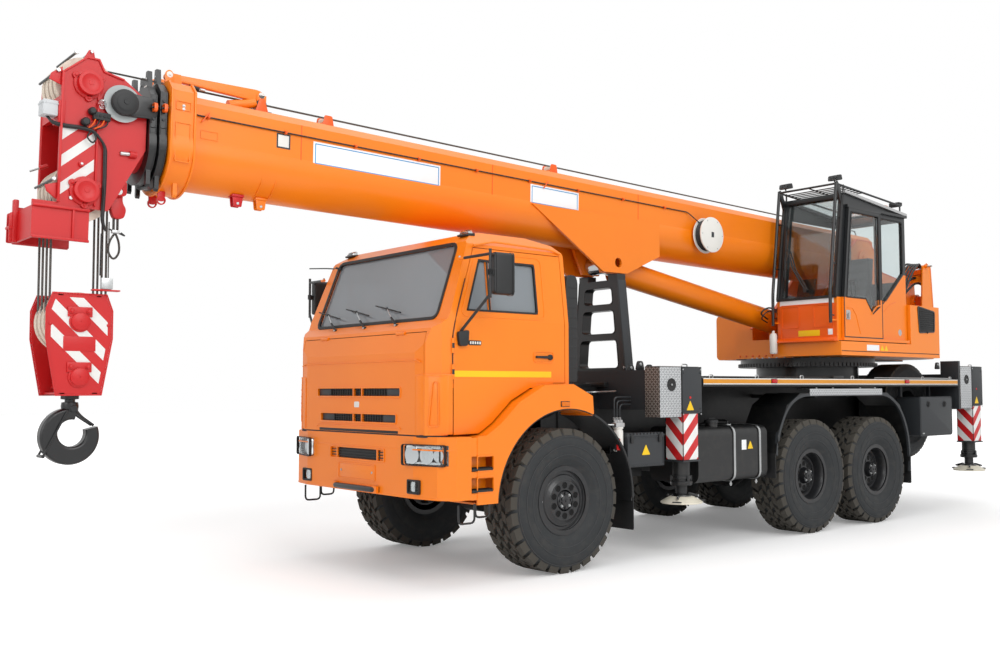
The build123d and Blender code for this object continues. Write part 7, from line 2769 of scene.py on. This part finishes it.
# ---- setting and view ---------------------------------------------------------------------------
@dataclass
class Studio:
    """The pale floor, soft lights, world and camera."""

    eye: Point = (6085.4, 7750.7, 1579.4)
    heading: float = -130.94
    rise: float = 3.06
    lean: float = -0.195
    lens: float = 37.083
    shift: Flat = (-0.02965, 0.00065)
    target: Point = (-2200, 0, 1800)
    floor_half: float = 60
    glow_reach: Span = (5.0, 16.0)
    glow: Span = (0.18, 0.6)
    world_levels: Span = (0.62, 1.0)
    lamps: tuple[tuple[str, Point, float, float], ...] = (
        ("key", (1500, 12500, 9000), 9.0, 940), ("front", (13500, 3500, 6500), 7.0, 390),
        ("top", (-2500, 1500, 14000), 11.0, 450))

    def build(self) -> None:
        """Makes the floor, the world, the lights and the camera."""
        self.floor()
        self.world()
        for name, place, size, power in self.lamps:
            self.lamp(name, place, size, power)
        self.camera()

    def floor(self) -> None:
        """Lays the pale floor, which glows more far off, so that it fades into the background."""
        part = bmesh.new()
        bmesh.ops.create_grid(part, x_segments=1, y_segments=1, size=self.floor_half)
        data = bpy.data.meshes.new("floor")
        part.to_mesh(data)
        part.free()
        material = bpy.data.materials.new("pale_floor")
        material.use_nodes = True
        tree = material.node_tree
        shader = tree.nodes["Principled BSDF"]
        shader.inputs["Base Color"].default_value = linear("#F7F7F7")
        shader.inputs["Roughness"].default_value = 0.6
        shader.inputs["Emission Color"].default_value = (1, 1, 1, 1)
        shown = add_node(tree, "LightPath")
        spot = add_node(tree, "TexCoord")
        away = add_node(tree, "VectorMath", {0: spot.outputs["Object"]}, operation="LENGTH")
        far = add_node(
            tree, "MapRange",
            {
                0: away.outputs[1], 1: self.glow_reach[0], 2: self.glow_reach[1], 3: self.glow[0],
                4: self.glow[1]})
        glow = add_node(
            tree, "Math", {0: shown.outputs["Is Camera Ray"], 1: far.outputs[0]},
            operation="MULTIPLY")
        tree.links.new(glow.outputs[0], shader.inputs["Emission Strength"])
        data.materials.append(material)
        made = bpy.data.objects.new("floor", data)
        bpy.context.scene.collection.objects.link(made)

    def world(self) -> None:
        """Lights the scene softly, with white behind it for the eye, the gloss and the glass."""
        world = bpy.data.worlds.new("studio")
        bpy.context.scene.world = world
        world.use_nodes = True
        tree = world.node_tree
        shown = add_node(tree, "LightPath")
        first = add_node(
            tree, "Math", {0: shown.outputs["Is Camera Ray"], 1: shown.outputs["Is Glossy Ray"]},
            operation="MAXIMUM")
        seen = add_node(
            tree, "Math", {0: first.outputs[0], 1: shown.outputs["Is Transmission Ray"]},
            operation="MAXIMUM")
        level = add_node(
            tree, "MapRange",
            {0: seen.outputs[0], 3: self.world_levels[0], 4: self.world_levels[1]})
        back = tree.nodes["Background"]
        back.inputs["Color"].default_value = (1, 1, 1, 1)
        tree.links.new(level.outputs[0], back.inputs["Strength"])

    def lamp(self, name: str, place: Point, size: float, power: float) -> None:
        """Hangs a soft square lamp that faces the machine.

        Args:
            name: its name.
            place: where it hangs, in millimetres.
            size: its side, in metres.
            power: its power, in watts.
        """
        data = bpy.data.lights.new(name, "AREA")
        data.shape = "SQUARE"
        data.size = size
        data.energy = power
        made = bpy.data.objects.new(name, data)
        made.location = MM @ Vector(place)
        target = MM @ Vector(self.target)
        made.rotation_euler = (target - made.location).to_track_quat("-Z", "Y").to_euler()
        bpy.context.scene.collection.objects.link(made)

    def camera(self) -> None:
        """Sets the camera up."""
        data = bpy.data.cameras.new("view")
        data.sensor_width = 36
        data.lens = self.lens
        data.shift_x, data.shift_y = self.shift
        data.clip_end = 200
        made = bpy.data.objects.new("view", data)
        turn, lift = math.radians(self.heading), math.radians(self.rise)
        ahead = Vector(
            (math.cos(lift) * math.cos(turn), math.cos(lift) * math.sin(turn), math.sin(lift)))
        level = ahead.to_track_quat("-Z", "Y").to_matrix().to_4x4()
        roll = Matrix.Rotation(math.radians(self.lean), 4, "Z")
        made.matrix_world = Matrix.Translation(MM @ Vector(self.eye)) @ level @ roll
        bpy.context.scene.collection.objects.link(made)
        bpy.context.scene.camera = made


PLAIN_NODES: dict[Finish, tuple[str, ...]] = {
    ORANGE: ("cab_shell", "front_panel", "bumper", "boom_base", "lift_barrel"),
    TURNTABLE: ("turntable",), MUDGUARD: ("front_fenders",), LEFT_DOOR: ("cab_door_left",),
    RIGHT_DOOR: ("cab_door_right",), CRANE_CAB: ("crane_cab", "crane_cab_door"),
    CHASSIS_BLACK: (
        "chassis_frame", "crane_subframe", "deck", "running_gear", "powertrain", "fuel_tanks",
        "rear_fenders", "knuckle_left", "knuckle_right",
        *(f"outrigger_{corner}" for corner in CORNERS)),
    FRAME_BLACK: ("slew_ring", "boom_rest", "boom_section_2", "boom_section_3", "hook"),
    GREY_PAINT: ("side_boxes", "outrigger_boxes_front", "outrigger_boxes_rear"),
    RED: ("boom_head", "hook_block"), JACK_FOOT: tuple(f"jack_{corner}" for corner in CORNERS),
    CHROME: ("lift_rod",), ROPE: ("rope_falls",),
    WHEEL_BLACK: tuple(f"rim_{wheel}" for wheel in WHEELS),
    TYRE: (*(f"tyre_{wheel}" for wheel in WHEELS), "spare_wheel"),
    CAB_PANE: ("cab_glass", "door_glass_left", "door_glass_right"), CLEAR: ("crane_cab_glass",),
    LENS: ("headlamps",), FABRIC: ("cab_interior",), VINYL: ("operator_seat",),}


def main() -> None:
    """Dresses the machine and sets the view."""
    logging.basicConfig(level=logging.INFO, format="%(name)s: %(message)s")
    bpy.context.scene.view_settings.view_transform = "Standard"
    Studio().build()
    for finish, nodes in PLAIN_NODES.items():
        for node in nodes:
            dress_node(node, finish)
    for assembly in ASSEMBLIES:
        assembly().build()


if __name__ == "__main__":
    main()
